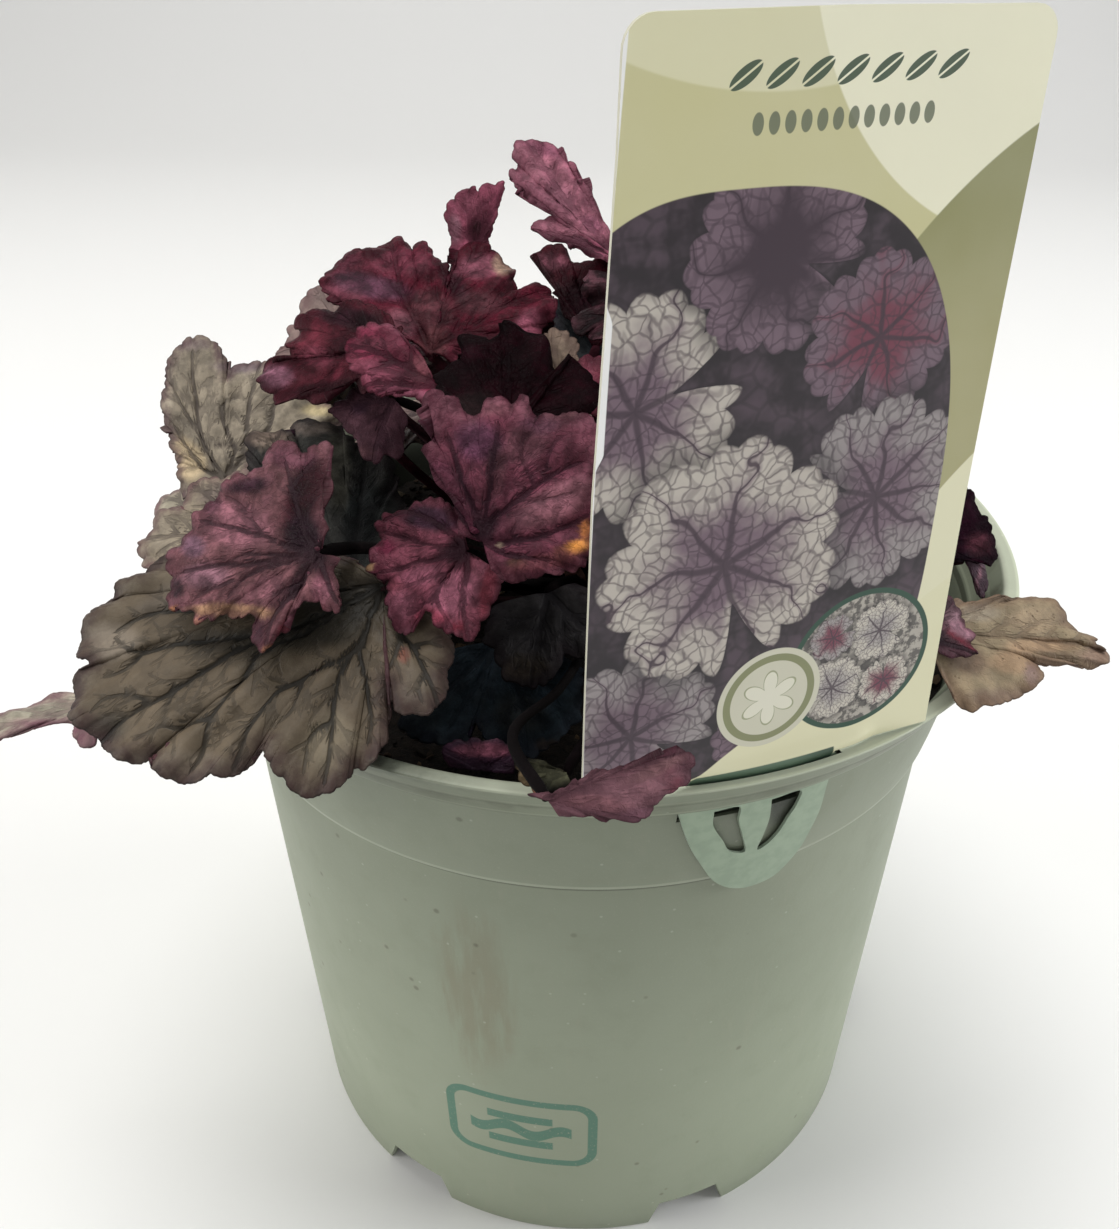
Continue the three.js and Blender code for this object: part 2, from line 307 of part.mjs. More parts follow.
    stalk: '-5.5,1.5,135.6 -7.3,3.9,147.8 -10.6,8.1,159.2 -14.8,11.4,170.6 -19.3,12.1,182.3 -23.6,9.2,193.8' },
  { name: 'leaf_15_top', tone: 'purple_lit', base: [4.6, 2, 195.2], up: [-0.129, -0.732, 0.669],
    rim: '-0.2,3.1,195.6,-0.01 -11.8,7.5,198.3,-0.09 -12.7,8.6,199.4,-0.1 -11,9.4,200.6,-0.09 -7.7,8.8,200.4,-0.06 -16.9,16.2,207.3,-0.23 -15.4,16.6,208,-0.22 -16.6,18.4,209.9,-0.26 -16.3,19.6,211.3,-0.28 -13.6,19.9,212.1,-0.26 -6.5,16,208.9,-0.14 2.7,5.7,198.9,-0.01',
    stalk: '5.7,-1.4,135.5 8.8,-1.6,147.2 9.6,-1.4,159.3 9,-0.8,171.5 7.3,0.3,183.5 4.6,2,195.2' },
  { name: 'leaf_16_dark_ruffled', tone: 'maroon', base: [0.1, 8.9, 176.8], up: [0, -0.53, 0.848],
    rim: '-6.1,15.4,180.8,0.03 -15.2,27.7,188.1,0.2 -13.7,29.2,189,0.21 -9.7,29.9,189.5,0.2 -7.1,27.6,188.1,0.15 5.6,28.5,188.7,0.16 8.8,24.9,186.5,0.12 8,18.7,182.8,0.06 5.2,12.1,178.8,0.01',
    stalk: '-2.9,4.3,135.8 -3.4,5.8,144.2 -3.2,5.1,152.8 -2.5,4.2,161.4 -1.5,4.4,169.9 0.1,8.9,176.8' },
  { name: 'leaf_17_tan_scrap', tone: 'tan_dark', base: [-6.5, -7.9, 175], up: [-0.058, -0.667, 0.743],
    rim: '-11,-6.9,175.5,0.01 -15.1,-5.7,176.2,0.05 -15.6,-3.7,178,0.06 -11.8,-4.1,178,0.03 -9.5,-2.6,179.4,0.03 -10.3,-0.3,181.3,0.06 -8.3,1.3,182.9,0.08 -5.6,0.9,182.7,0.08 -3.5,-1.3,181,0.05 -2.9,-3.6,179.1,0.03 -3.9,-6,176.9,0.01',
    stalk: '-1.4,-2.9,136.5 -2.7,-4.6,144.1 -3.6,-5.4,151.8 -4.3,-5.9,159.6 -5.2,-6.5,167.4 -6.5,-7.9,175' },
  { name: 'leaf_18_red_right', tone: 'maroon', base: [1, -16.1, 172.7], up: [0.097, -0.551, 0.829],
    rim: '-4.1,-15.8,173.5,0.01 -7.8,-14.1,175,0.02 -9.1,-11,177.2,0.04 -3.2,-6.2,179.7,0.05 0.9,-5.1,179.9,0.05 5.5,-5.8,178.9,0.05 7.6,-9.6,176.2,0.03 6.1,-14.2,173.4,0.01',
    stalk: '1.3,-5.4,135.6 1.1,-6.8,143.3 1.2,-8.2,151 1.5,-9.9,158.5 1.5,-12.4,165.9 1,-16.1,172.7' },
  { name: 'leaf_19_under_centre', tone: 'olive', base: [-7.5, -44, 152], up: [0, -0.5, 0.866],
    rim: '-15.6,-46.1,150.7,0.04 -17.4,-50,148.3,0.08 -17.2,-53.5,146.2,0.12 -16,-56.9,144.2,0.17 -13.6,-58.4,143.3,0.18 -9.9,-59.1,142.8,0.18 -7.3,-57.6,143.8,0.14 -5.8,-54.7,145.6,0.09 -3.5,-54.3,145.8,0.09 -0.1,-55.4,145.1,0.13 3.6,-54.1,145.8,0.15 5.2,-49.9,148.3,0.12 1.4,-45.5,151,0.05 -2.9,-43.2,152.4,0.01',
    stalk: '1.9,-10.5,131 -1,-16,136.3 -3.3,-22.3,141.1 -5.1,-29.2,145.3 -6.3,-36.5,148.8 -7.5,-44,152' },
  { name: 'leaf_20_low_dark', tone: 'dark', base: [-16, -44, 141.9], up: [0, -0.375, 0.927],
    rim: '-26.2,-46.9,140.6,0.1 -31.1,-53.3,137.6,0.28 -31.5,-57.9,135.5,0.4 -29.3,-61.7,133.8,0.46 -25.5,-62.7,133.5,0.43 -19.4,-59.4,135.2,0.25 -16.9,-62.4,133.8,0.34 -10.1,-64.9,132.5,0.46 -6.5,-63.4,133.1,0.45 -3.9,-60.8,134.3,0.41 -1.7,-52.9,137.8,0.25 -3.6,-47.4,140.3,0.14 -8.9,-44.2,141.8,0.04',
    stalk: '-1.8,-10.8,130.4 -4.1,-16.9,134.4 -7,-23.5,137 -10.1,-30.2,139 -13.2,-37,140.5 -16,-44,141.9' },
  { name: 'leaf_21_rim_folded', tone: 'purple_back', base: [-15.8, -77.5, 140], up: [-0.077, -0.88, 0.469],
    rim: '-22,-76.9,140.2,-0.04 -22.6,-75.9,142.1,-0.06 -21.4,-75.1,143.8,-0.06 -14.4,-75.4,144.3,-0.03 -10.7,-76.9,142,-0.03 -11.8,-77.9,140,-0.02',
    stalk: '-4,-11.4,127.5 -8.3,-24.1,130.7 -12,-37.9,129.9 -15,-52,129.7 -16.8,-66,132 -15.8,-77.5,140' },
  { name: 'leaf_22_rim_dark', tone: 'dark', base: [-3.3, -85, 146.4], up: [-0.1, -0.565, 0.819],
    rim: '-6.4,-84,146.8,-0.01 -10.8,-82.9,147.1,-0.05 -11.2,-84.1,146.3,-0.05 -7.9,-87.7,144.1,-0.03 -1.2,-87.4,145.1,-0.01',
    stalk: '3.8,-11.5,127.5 5.1,-24.8,133.6 4,-40,136.9 2.2,-55.2,139.8 0,-70.3,142.6 -3.3,-85,146.4' },
  { name: 'leaf_23_over_rim', tone: 'pink', base: [-5.5, -97, 151.5], up: [0.077, -0.88, 0.469],
    rim: '-8.1,-96.9,152.1,0 12.3,-92.5,156.2,0.2 14,-92.7,155.5,0.23 14.5,-93.6,153.6,0.23 7.7,-97.7,147.7,0.11 -3.6,-97.3,150.6,0',
    stalk: '0.2,-12.1,127.5 -0,-27.9,135.7 -1.5,-45.7,140.7 -5.2,-63.3,145.2 -11.3,-80.4,149.5 -5.5,-97,151.5' },
  { name: 'leaf_24_right_dark', tone: 'maroon2', base: [62.4, -26, 150], up: [0.242, -0.664, 0.707],
    rim: '61.9,-21,154.9,0.03 65.2,-17.2,157.2,0.08 71.1,-13.8,158.1,0.16 73.5,-14.5,156.6,0.16 74.1,-16.9,154.2,0.13 75.6,-17.7,152.9,0.14 76.8,-23.5,147.1,0.12 68.4,-25.7,148.3,0.02 65.2,-28.7,146.5,0.02',
    stalk: '10.3,-4.4,130 21.1,-10.6,133.7 33.3,-15,135.1 46,-18.2,135.8 58,-21.5,139.1 62.4,-26,150' },
  { name: 'leaf_25_right_narrow', tone: 'purple_back', base: [70.7, -22, 147], up: [0.433, -0.75, 0.5],
    rim: '74.7,-20.5,145.8,0.01 76.1,-21.8,142.6,0.01 75.2,-23.8,140.3,0.02 74.3,-24.3,140.3,0.02 72.6,-23.3,143.4,0.01',
    stalk: '11.9,-2.2,127.5 22.4,-6.1,134.3 33.6,-11.3,139 45.4,-16.2,142.3 57.8,-20,144.9 70.7,-22,147' },
  { name: 'leaf_26_right_tan', tone: 'tan', base: [54.6, -54, 151.5], up: [0.219, -0.38, 0.899],
    rim: '57.7,-48.3,153,0.02 62.6,-45.9,152.8,0.07 77.2,-40.8,150.7,0.38 80.6,-40.7,149.7,0.48 82.7,-43.4,148,0.51 85.9,-44.4,146.6,0.61 87.9,-46.1,145.2,0.67 86.8,-47.2,145.1,0.63 90.3,-47.6,143.8,0.76 90,-49.2,143.2,0.75 85.8,-51.6,143.6,0.58 74.2,-54,146.2,0.23 75.3,-56.2,144.9,0.27 73.4,-59,144.2,0.24 61.4,-65.9,144.5,0.13 56.3,-62,147.6,0.05',
    stalk: '9.4,-7.4,127.9 19,-13.7,136 31.4,-20.8,139.6 42.9,-29.5,142.8 51.8,-40.6,146.5 54.6,-54,151.5' },
  { name: 'leaf_27_right_lilac', tone: 'pink', base: [52.9, -60, 153.9], up: [0.321, -0.557, 0.766],
    rim: '54.5,-54.4,157.2,0.03 57.8,-52.4,157.2,0.05 60,-52.8,155.9,0.06 63.3,-58.7,150.3,0.07 55.9,-60.7,152.1,0.01',
    stalk: '6.6,-9.5,129 18,-18.5,132.7 28.8,-28.5,136 38.7,-39.2,139.5 47.5,-50.3,144.4 52.9,-60,153.9' },
  { name: 'leaf_28_grey_behind', tone: 'pale2', base: [-45.1, -4, 182.6], up: [-0.196, -0.539, 0.819],
    rim: '-49,-6,180.4,0 -54.5,-7.8,177.9,-0 -59.2,-6.4,177.6,0 -60.5,-4.4,178.6,-0 -58.2,-3.2,180,0 -56,0.9,183.2,0 -56.3,4.1,185.2,0 -54.9,6.7,187.3,-0 -52.3,7.7,188.6,0 -47.4,4,187.3,0',
    stalk: '-8.5,0.4,133.6 -16.6,1,143.2 -24.9,-0.3,152.7 -32.9,-2.9,162.1 -40.5,-6,171.8 -45.1,-4,182.6' },
  { name: 'leaf_29_teal_dark', tone: 'dark', base: [0.9, 8.9, 173.7], up: [0, -0.5, 0.866],
    rim: '-4,7.1,172.6,-0 -7.9,13.1,176.1,-0 -8.7,19.8,180,0 -7,23.1,181.9,0 2,21,180.7,0 5.3,15.6,177.6,-0 4.5,10.7,174.7,-0',
    stalk: '0.6,3.4,136.5 0.3,4.6,143.9 0.2,5.4,151.4 0.2,6.2,158.9 0.4,7.2,166.4 0.9,8.9,173.7' },
  { name: 'leaf_30_back_skirt', tone: 'silver', base: [38, 12, 140], up: [0.26, -0.034, 0.965],
    rim: '23.4,-2.1,142.8,1.56 27.8,-6,139.7,2.4 32.9,-5.8,138.1,2.4 35.5,-13,136.5,3.12 40.7,-14.2,136.5,2.48 45.5,-11.9,137.2,1.48 50.1,-7.5,137.1,0.89 58,-10.1,134,1.72 62.6,-6.6,131.3,2.59 63.9,-0.6,130.1,3.03 62.6,7.4,130.5,2.89 68.4,14.9,128,3.85 68.8,21.5,127.6,4.2 65.2,26.9,129.1,3.94 57.9,29.6,132.8,2.85 58,36.7,133.5,2.91 54.3,41.7,136.3,2.24 48.4,42.7,139.2,1.53 39.9,34.9,140.8,1.12 32.3,37.5,140.3,2.61 26.8,37.3,139.9,3.56 23,33.7,140.7,3.54 24.1,25.8,142,2.25 20.2,17.7,144.7,1.28',
    stalk: '10.8,3.4,129.7 16.3,4.5,132 21.7,6.3,134.3 27,8.3,136.3 32.4,10.3,138.3 38,12,140' },
  { name: 'leaf_31_back_skirt', tone: 'purple', base: [27, 32, 150.1], up: [0.096, 0.31, 0.946],
    rim: '25,13.7,156.1,1.25 35.9,14.5,154.2,1.53 43.3,10.6,152.6,2.94 47.9,12.5,149.8,3.85 49.7,17.2,147.7,3.93 50,23.7,147,3.11 58.7,26.8,145.3,3.48 60.6,33.4,145,2.61 57.9,39.5,144.6,1.86 50.3,44.3,143.6,1.68 52,52.5,138,3.36 48,57.6,134.9,4.34 41.3,59.6,134.7,4.37 32.1,56.6,137.9,3.34 27,60.9,136,4.06 20.6,62.1,135.8,4.39 15.2,59.3,138,3.92 12.8,50.5,144.1,2.07 4.4,48.7,147.2,1.55 0.3,45,148.9,1.59 -0.3,39.3,149.8,2.01 7.1,33.4,150.2,1.85 7.8,27.8,150.5,2.56 10,22.4,152.3,2.39',
    stalk: '6.5,7.7,131.8 10.3,12.2,136.2 14.1,17.5,139.6 18.1,22.8,142.8 22.4,27.7,146.2 27,32,150.1' },
  { name: 'leaf_32_back_skirt', tone: 'silver', base: [-2, 41, 144.9], up: [0.11, 0.286, 0.952],
    rim: '10.1,24.2,148.6,1.29 14.8,28.5,147,1.16 15.9,33.2,145.5,1.04 25.7,34.9,143.6,1.72 27.6,39.9,141.3,2.06 25.5,44.8,139,2.46 21.1,49.4,136.8,2.95 23.1,54.9,133.2,4.07 20.6,60.5,131.6,4.26 15.2,63.7,133.2,3.26 7,64.5,137.1,1.48 1.4,71.7,136.8,1.23 -4.9,73.4,136.4,1.63 -10.9,70.5,136.5,2.23 -15.7,63.9,137.8,2.54 -23.8,62.1,138.1,3.32 -29,58.7,139.4,3.57 -30.5,53,141.5,3.37 -26.8,45.9,144,2.63 -28.1,35.9,148.6,2.02 -25.2,32.1,150.9,1.25 -18.2,30.8,151.2,0.57 -15.8,27.6,151.6,0.72 -10.8,23.4,150.1,1.75',
    stalk: '-0.5,10.7,130.8 -0.2,16.5,134.2 -0.7,22.6,137 -1.4,28.7,139.7 -1.9,34.9,142.3 -2,41,144.9' },
  { name: 'leaf_33_back_skirt', tone: 'silver2', base: [-32, 32, 151.8], up: [-0.298, 0.128, 0.946],
    rim: '-13.5,29.9,157.7,1.27 -14.3,39.7,155.9,1.36 -10.5,46.7,154.6,2.52 -12,51.3,151.7,3.4 -16.4,53.3,149.3,3.72 -22.4,52.6,148.2,3.13 -28.2,59.6,146.6,2.94 -34,61.2,146.4,2.16 -39.4,58.7,146.3,1.48 -42.8,54.3,145.7,1.34 -50.2,57.5,141.1,2.69 -55.4,54,137.9,3.74 -57.6,47.7,137.3,4 -54.1,38.7,140.9,2.95 -61.1,31.1,138.2,4.05 -62.1,24.7,138.2,4.37 -59.3,19.3,140.6,3.93 -49.9,19.3,146.2,2.14 -46.1,11,150.7,1.26 -41.6,10,152.4,1.11 -35.9,13.8,152.9,1.15 -32.9,11.5,152.8,1.89 -26.3,12.2,153,2.75',
    stalk: '-7.4,7.2,131.5 -12.2,12.7,135.1 -16.9,18.2,138.8 -21.6,23.5,142.7 -26.6,28.3,147 -32,32,151.8' },
  { name: 'leaf_35_side_mid', tone: 'purple', base: [24, -18, 168.2], up: [0.219, -0.366, 0.905],
    rim: '7.6,-15.7,171.3,1.79 8.2,-24.5,169.4,1 4.9,-27.8,168.8,1.32 5.9,-31.6,166.9,1.42 14.3,-35.8,163.2,1.31 18,-41.7,158.4,2.35 22.4,-42.6,155.2,3.2 27.2,-40.3,154.1,3.52 31.6,-35.6,155.7,2.94 39.6,-36.8,154.2,2.84 44.9,-34.7,155.8,2.02 47.4,-30.1,158.5,1.26 45.9,-23.8,161.4,1.01 49.8,-18.6,161,1.9 51,-13.1,161.3,2.71 48.7,-8.5,163.1,2.9 41.7,-6.7,166.3,2.22 39.5,-0.3,169,2.55 36.7,3.1,170.9,2.71 32.2,3.6,172.7,2.37 27.4,-2.6,172.9,1.28 23.3,-1.8,175.4,0.81 18.1,-3.4,176.5,0.6',
    stalk: '4.9,-5,134.8 8.6,-7.9,141.5 12.5,-11,147.9 16.5,-13.9,154.4 20.4,-16.4,161 24,-18,168.2' },
  { name: 'leaf_36_side_mid', tone: 'maroon2', base: [30, 0, 176.8], up: [0.463, 0.121, 0.878],
    rim: '16.2,-8,185.7,0.85 19.4,-12.7,184.5,0.92 23.2,-14.8,181.7,1.32 25.2,-24.2,179.4,2.88 29.1,-26.2,177.1,3.2 33.8,-24.5,175.6,2.58 37.8,-19.9,175.1,1.42 44.2,-21.5,173.6,0.95 48.7,-19.4,171.6,0.75 50.1,-14.7,169.4,1.01 49.4,-8.8,167.5,1.51 55.5,-5,162,2.67 56.6,0.7,160,3.06 54.3,6.3,160.5,2.93 48.1,10.4,163.7,2.39 44.1,20.1,164.7,2.48 40.1,22.2,167.8,1.8 34.7,20,172.7,0.74 24.6,23.1,177,1.19 20.6,20.5,177.6,1.9 20.2,14.1,178.1,1.84 15.8,6.4,182.7,1.31',
    stalk: '8,1.1,133.9 12.5,0.5,144 14.7,-0.1,154.8 16.3,-0.5,165.7 19.8,-0.6,176.1 30,0,176.8' },
  { name: 'leaf_37_side_mid', tone: 'silver2', base: [22, 20, 168.2], up: [0.409, 0.201, 0.89],
    rim: '17.4,1.6,172.2,2.17 23.5,1,171.1,1.46 27.1,2.4,169.6,1.18 31.9,-1.1,167.9,1.62 35.9,-0,165.7,1.75 38.2,3.8,163.9,1.62 38.9,8.9,162.4,1.5 45.8,10.1,157,2.79 47.2,14.7,153.4,3.73 45.4,20,152.1,4.03 41.5,25.6,153.6,3.39 43.7,33.5,151.5,3.41 42.2,39.6,153,2.56 37.7,42.9,156,1.7 30.3,41.7,159.9,1.28 23.8,47.6,159.1,2.62 18,49.3,159.7,3.46 13,47.2,162.1,3.52 11.4,39.7,165.9,2.54 3.5,36.6,169.7,2.9 2.3,32.4,171.7,2.62 5.3,26.5,173.2,1.64 6.8,17.5,176.7,0.63',
    stalk: '6.3,4.4,134.3 9.4,6.8,141.5 12.5,9.1,148.7 15.7,11.7,155.7 18.9,15.2,162.4 22,20,168.2' },
  { name: 'leaf_38_back_mid', tone: 'purple', base: [4.2, 34.7, 173.1], up: [-0.055, 0.475, 0.878],
    rim: '9.8,20.3,181.6,0.88 14.7,22.7,180.7,0.84 17.9,26.2,179,0.79 24.2,26.7,178.9,1.2 26.9,29.7,176.6,1.67 24.7,37.5,170,2.48 28.4,43.8,166.5,2.99 26.9,49.1,165.2,2.3 22.3,52.5,165.3,1.26 15.4,53.1,165.6,0.57 12.7,58.9,161.9,1.04 7.7,60.4,159.3,1.79 2.2,58.6,158.6,2.29 -3.3,54.4,160,2.32 -15.7,49.4,161.4,2.69 -17.7,45.2,163.8,2.51 -16.1,40.5,167.4,1.85 -19.9,37.5,169.8,1.56 -21.6,33.9,173,1.01 -19.8,30.2,175.9,0.6 -11.8,28.5,176.6,0.53 -10,24.2,177.3,1.28 -5.8,20.2,178,2.09',
    stalk: '-0.7,7,134.8 -0.1,9.7,145.4 0.5,12.8,155.9 1.4,17.2,165.9 2.6,24.4,173.9 4.2,34.7,173.1' },
  { name: 'leaf_39_back_mid', tone: 'silver', base: [-20, 24, 168.5], up: [-0.11, 0.412, 0.905],
    rim: '-5.3,17.7,173.2,0.99 -2.6,25.4,169.1,1.46 2.6,29.8,165.4,2.86 2.1,33.6,162.4,3.48 -1.4,36.5,161.1,3.19 -6.6,38.3,161.5,2.19 -5.3,46.1,158.5,2.48 -9.8,49.9,157.9,1.83 -15.6,49.8,157.8,1.47 -22.1,44.7,158.6,1.5 -27.8,48.8,153.8,2.9 -33.7,47.4,152.3,3.66 -37.8,43.1,153.6,3.63 -39.4,35.6,157.7,2.91 -43.9,32.8,157.8,3.35 -47.2,28.5,159.1,3.58 -46.9,23.7,162.1,3.1 -41.5,19.1,167.4,1.64 -41.3,13.4,171.5,1.09 -39.8,9.2,173.4,1.26 -35.5,6.6,173.9,1.75 -28.1,9.7,172.5,1.68 -23.4,6.6,173.1,2.41 -17.9,6.9,174.5,2',
    stalk: '-4.4,7,133.8 -7.1,10.3,141 -10.5,12.9,148.2 -14.2,15.6,155.3 -17.6,19.2,162.1 -20,24,168.5' },
  { name: 'leaf_40_back_mid', tone: 'purple', base: [-34.6, 12.9, 177.6], up: [-0.416, 0.04, 0.909],
    rim: '-22.1,14.8,183.5,0.69 -23.9,22.3,180.3,1.66 -23.9,29.1,179.6,2.1 -27,31.8,179.4,1.59 -35.1,30.8,178,0.42 -37.7,35.7,176.8,0.62 -41.6,35.8,174.1,1.07 -47.3,27.5,169.8,1.83 -54.2,23.7,166.1,2.4 -56.9,19.5,164.8,2.6 -56.5,14.5,165.3,2.49 -51.4,10.4,168.7,1.71 -54.8,3.7,168.6,1.51 -54.3,-1,170.3,0.96 -51.1,-3.9,172.7,0.57 -44.1,-1.3,175,0.51 -37.6,-6.2,175.4,1.91 -34,-5.6,176.3,2.15 -31.7,-0.7,177.9,1.52 -26.3,2.2,181.9,0.8',
    stalk: '-7.2,4.2,133.7 -11.7,5,144.2 -15.4,4.2,155.1 -19.7,3.7,165.7 -26.3,5.9,174.7 -34.6,12.9,177.6' },
  { name: 'leaf_41_crown_top', tone: 'purple', base: [12, -10, 192.2], up: [0.195, -0.334, 0.922],
    rim: '-1.3,-5.9,196.7,0.8 -2.5,-9.8,194.4,1.33 -1.3,-13,192.2,1.61 -4,-17.8,190.7,2.03 -2.7,-21.3,190.2,1.6 3.7,-25.7,189.5,0.51 7.8,-29.7,186.6,0.95 11.5,-30.5,184.4,1.53 18.7,-26.7,183.2,1.92 22.3,-27.6,181.7,2.29 26.5,-25.9,181.2,2.47 28.9,-21.9,182.1,2.37 29,-16,184.8,1.89 34.4,-10.5,187,1.52 35.9,-6.6,189.3,1.02 34,-2.9,191.6,0.68 26.4,-2.3,192.8,0.58 26.6,2.1,193.2,1.29 24.5,5.6,193.3,2.05 20.8,6.8,193.9,2.3 15.9,3.2,194.5,1.57 8.2,2,197.5,0.75',
    stalk: '2.2,-1.6,136.7 4,-2.9,147.9 5.8,-3.7,159.2 7.6,-4.6,170.5 9.6,-6.4,181.6 12,-10,192.2' },
  { name: 'leaf_42_crown_top', tone: 'maroon', base: [15.1, 7.5, 202.9], up: [0.336, 0.248, 0.909],
    rim: '8.9,-1.6,206.6,1.22 14.7,-4.1,205.9,0.88 19.1,-8.2,206.9,0.51 22.5,-8.2,206.1,0.33 24.6,-6.2,204.3,0.47 25,-2.9,202.5,0.71 30.3,-3.8,199.9,1.39 32.6,-1.3,197.9,1.69 32.6,2.4,196.8,1.66 30.2,6.6,196.6,1.45 31.1,14.7,194,1.69 28.6,17.6,194.9,1.25 24.7,18.7,197.1,0.59 25.1,22.9,196.6,0.46 22.4,25.8,197.2,0.35 18.5,25.9,197.8,0.66 13.6,21.2,199.2,1.13 6.2,20.9,201,1.7 4.7,18.8,202.9,1.29 6.2,14.6,204.3,0.7 4.3,10.3,206.7,0.51',
    stalk: '4.1,1.9,136.1 5,3.1,149.8 5.6,4.3,163.4 6.8,5.4,177.1 9.6,6.5,190.4 15.1,7.5,202.9' },
  { name: 'leaf_43_crown_top', tone: 'purple', base: [13, 22.1, 192.6], up: [0.12, 0.432, 0.894],
    rim: '18.8,11.1,196.3,1.15 23.6,15.1,193,1.43 27.5,14.9,192.7,1.6 29.4,17.8,192.2,1.11 28.4,25,190,0.56 29.4,29.5,186.4,1.3 28,32.4,184.2,1.79 20.1,34.9,183.9,1.69 18.5,39.5,181.1,2.29 14.5,41.3,180.5,2.49 10.4,40.5,181.8,2.28 7,36.1,185.8,1.32 -0.8,35.2,189.3,0.62 -2.3,32,190.7,0.7 -1.5,27.4,191.6,1.06 -4.3,25,191.8,1.78 -5.5,21.6,192.6,2.29 -4.2,18.7,194,2.15 2.1,17.6,195.3,1.13 3.7,14.5,197.4,0.82 6.9,12.2,198.3,0.7',
    stalk: '3,5.9,135 5.1,7.8,146.9 6.8,10.4,158.6 8.5,13.5,170.3 10.4,17.3,181.7 13,22.1,192.6' },
  { name: 'leaf_44_front_low', tone: 'silver2', base: [22, -34, 146.7], up: [0.114, -0.214, 0.97],
    rim: '10.5,-27.5,147.7,1.63 9.4,-34.3,148,0.8 4.8,-37.2,148.5,0.78 4.8,-40.8,148.2,0.62 10.2,-45.6,145.2,1.14 10.4,-50.8,142.9,1.92 13.4,-53.5,141.5,2.23 17.6,-53.5,141,2.15 22.5,-50.9,141.3,1.84 27.3,-55.8,138.7,2.65 32.1,-55.4,138.4,2.64 35.6,-52.2,139.9,2 35.8,-45.1,143.2,0.79 42.3,-42.4,143.5,0.8 44.6,-38.4,143.1,1.35 43.9,-33.7,142.7,2.01 38.4,-30.2,143.6,1.99 37.4,-24.1,144.8,2.16 34.8,-22.2,146.5,1.66 29.2,-23.7,147.9,0.84 23.5,-21.2,149.5,0.7',
    stalk: '4.8,-8.5,132.2 8.4,-14.1,134 12,-19.6,136.1 15.6,-24.9,138.7 18.9,-29.7,142.2 22,-34,146.7' },
  { name: 'leaf_45_front_low', tone: 'purple', base: [37.4, -19.9, 154.7], up: [0.23, -0.229, 0.946],
    rim: '23.2,-19.9,157.1,1.33 25.8,-27.6,156.1,0.64 23.7,-32.3,155.5,0.88 25.5,-35.4,154.3,0.94 33.8,-36,151.8,0.94 38.6,-40,148,1.98 42.5,-39.9,146,2.58 45.9,-37.3,145.7,2.53 48.1,-33,147.5,1.77 56.3,-32.2,147.7,1.14 59.9,-29,148.7,0.69 60.1,-24.2,149.7,0.67 55.4,-19.8,150.9,0.82 57.5,-14.8,150.4,1.58 57.2,-10.5,150.7,2.01 54.4,-7.5,152,1.99 48.7,-7.6,153.8,1.54 48,-3.8,154.6,1.8 45.3,-1.2,155.9,1.9 41.5,-1.3,157.2,1.63 37.5,-6.5,158,0.79 30.8,-8.6,160.1,0.33',
    stalk: '8.1,-4.2,133 13.5,-7.3,137.9 19,-10.9,142.5 24.6,-14.6,146.7 30.7,-17.8,150.8 37.4,-19.9,154.7' },
  { name: 'leaf_46_hollow', tone: 'maroon2', base: [-13.8, -48, 182.6], up: [0.071, -0.401, 0.914],
    rim: '-18.6,-48.5,182.7,0.02 -22.4,-46.5,183.8,0.06 -25.6,-38.6,187.2,0.21 -24.9,-34,189,0.3 -22,-32.7,189.3,0.29 -21,-29.1,190.6,0.39 -15.6,-30.9,189.6,0.29 -13.2,-35.1,187.9,0.16 -6.9,-36.8,186.6,0.16 -5.2,-38.9,185.6,0.14 -7.2,-46.1,182.9,0.04',
    stalk: '7.3,-6.8,132 7.3,-14.5,143.8 3.4,-23.9,153.6 -2.8,-33.4,162.1 -9.5,-42.3,170.7 -13.8,-48,182.6' },
  { name: 'leaf_47_under_fold', tone: 'olive', base: [-43.4, 2, 161], up: [-0.194, -0.24, 0.951],
    rim: '-52.9,7.9,160.4,0.07 -62.8,18.4,160.4,0.36 -65.2,24.1,160.9,0.54 -63.2,27.6,162.1,0.58 -53.2,25.7,164.1,0.37 -47.8,21.6,164.5,0.23 -42.8,15.7,164.3,0.11 -39.4,8.6,163.4,0.04',
    stalk: '-11,3.9,128.7 -17.9,5.3,134.8 -25,5.2,140.6 -31.9,4.3,146.7 -38.1,3.2,153.5 -43.4,2,161' },
];
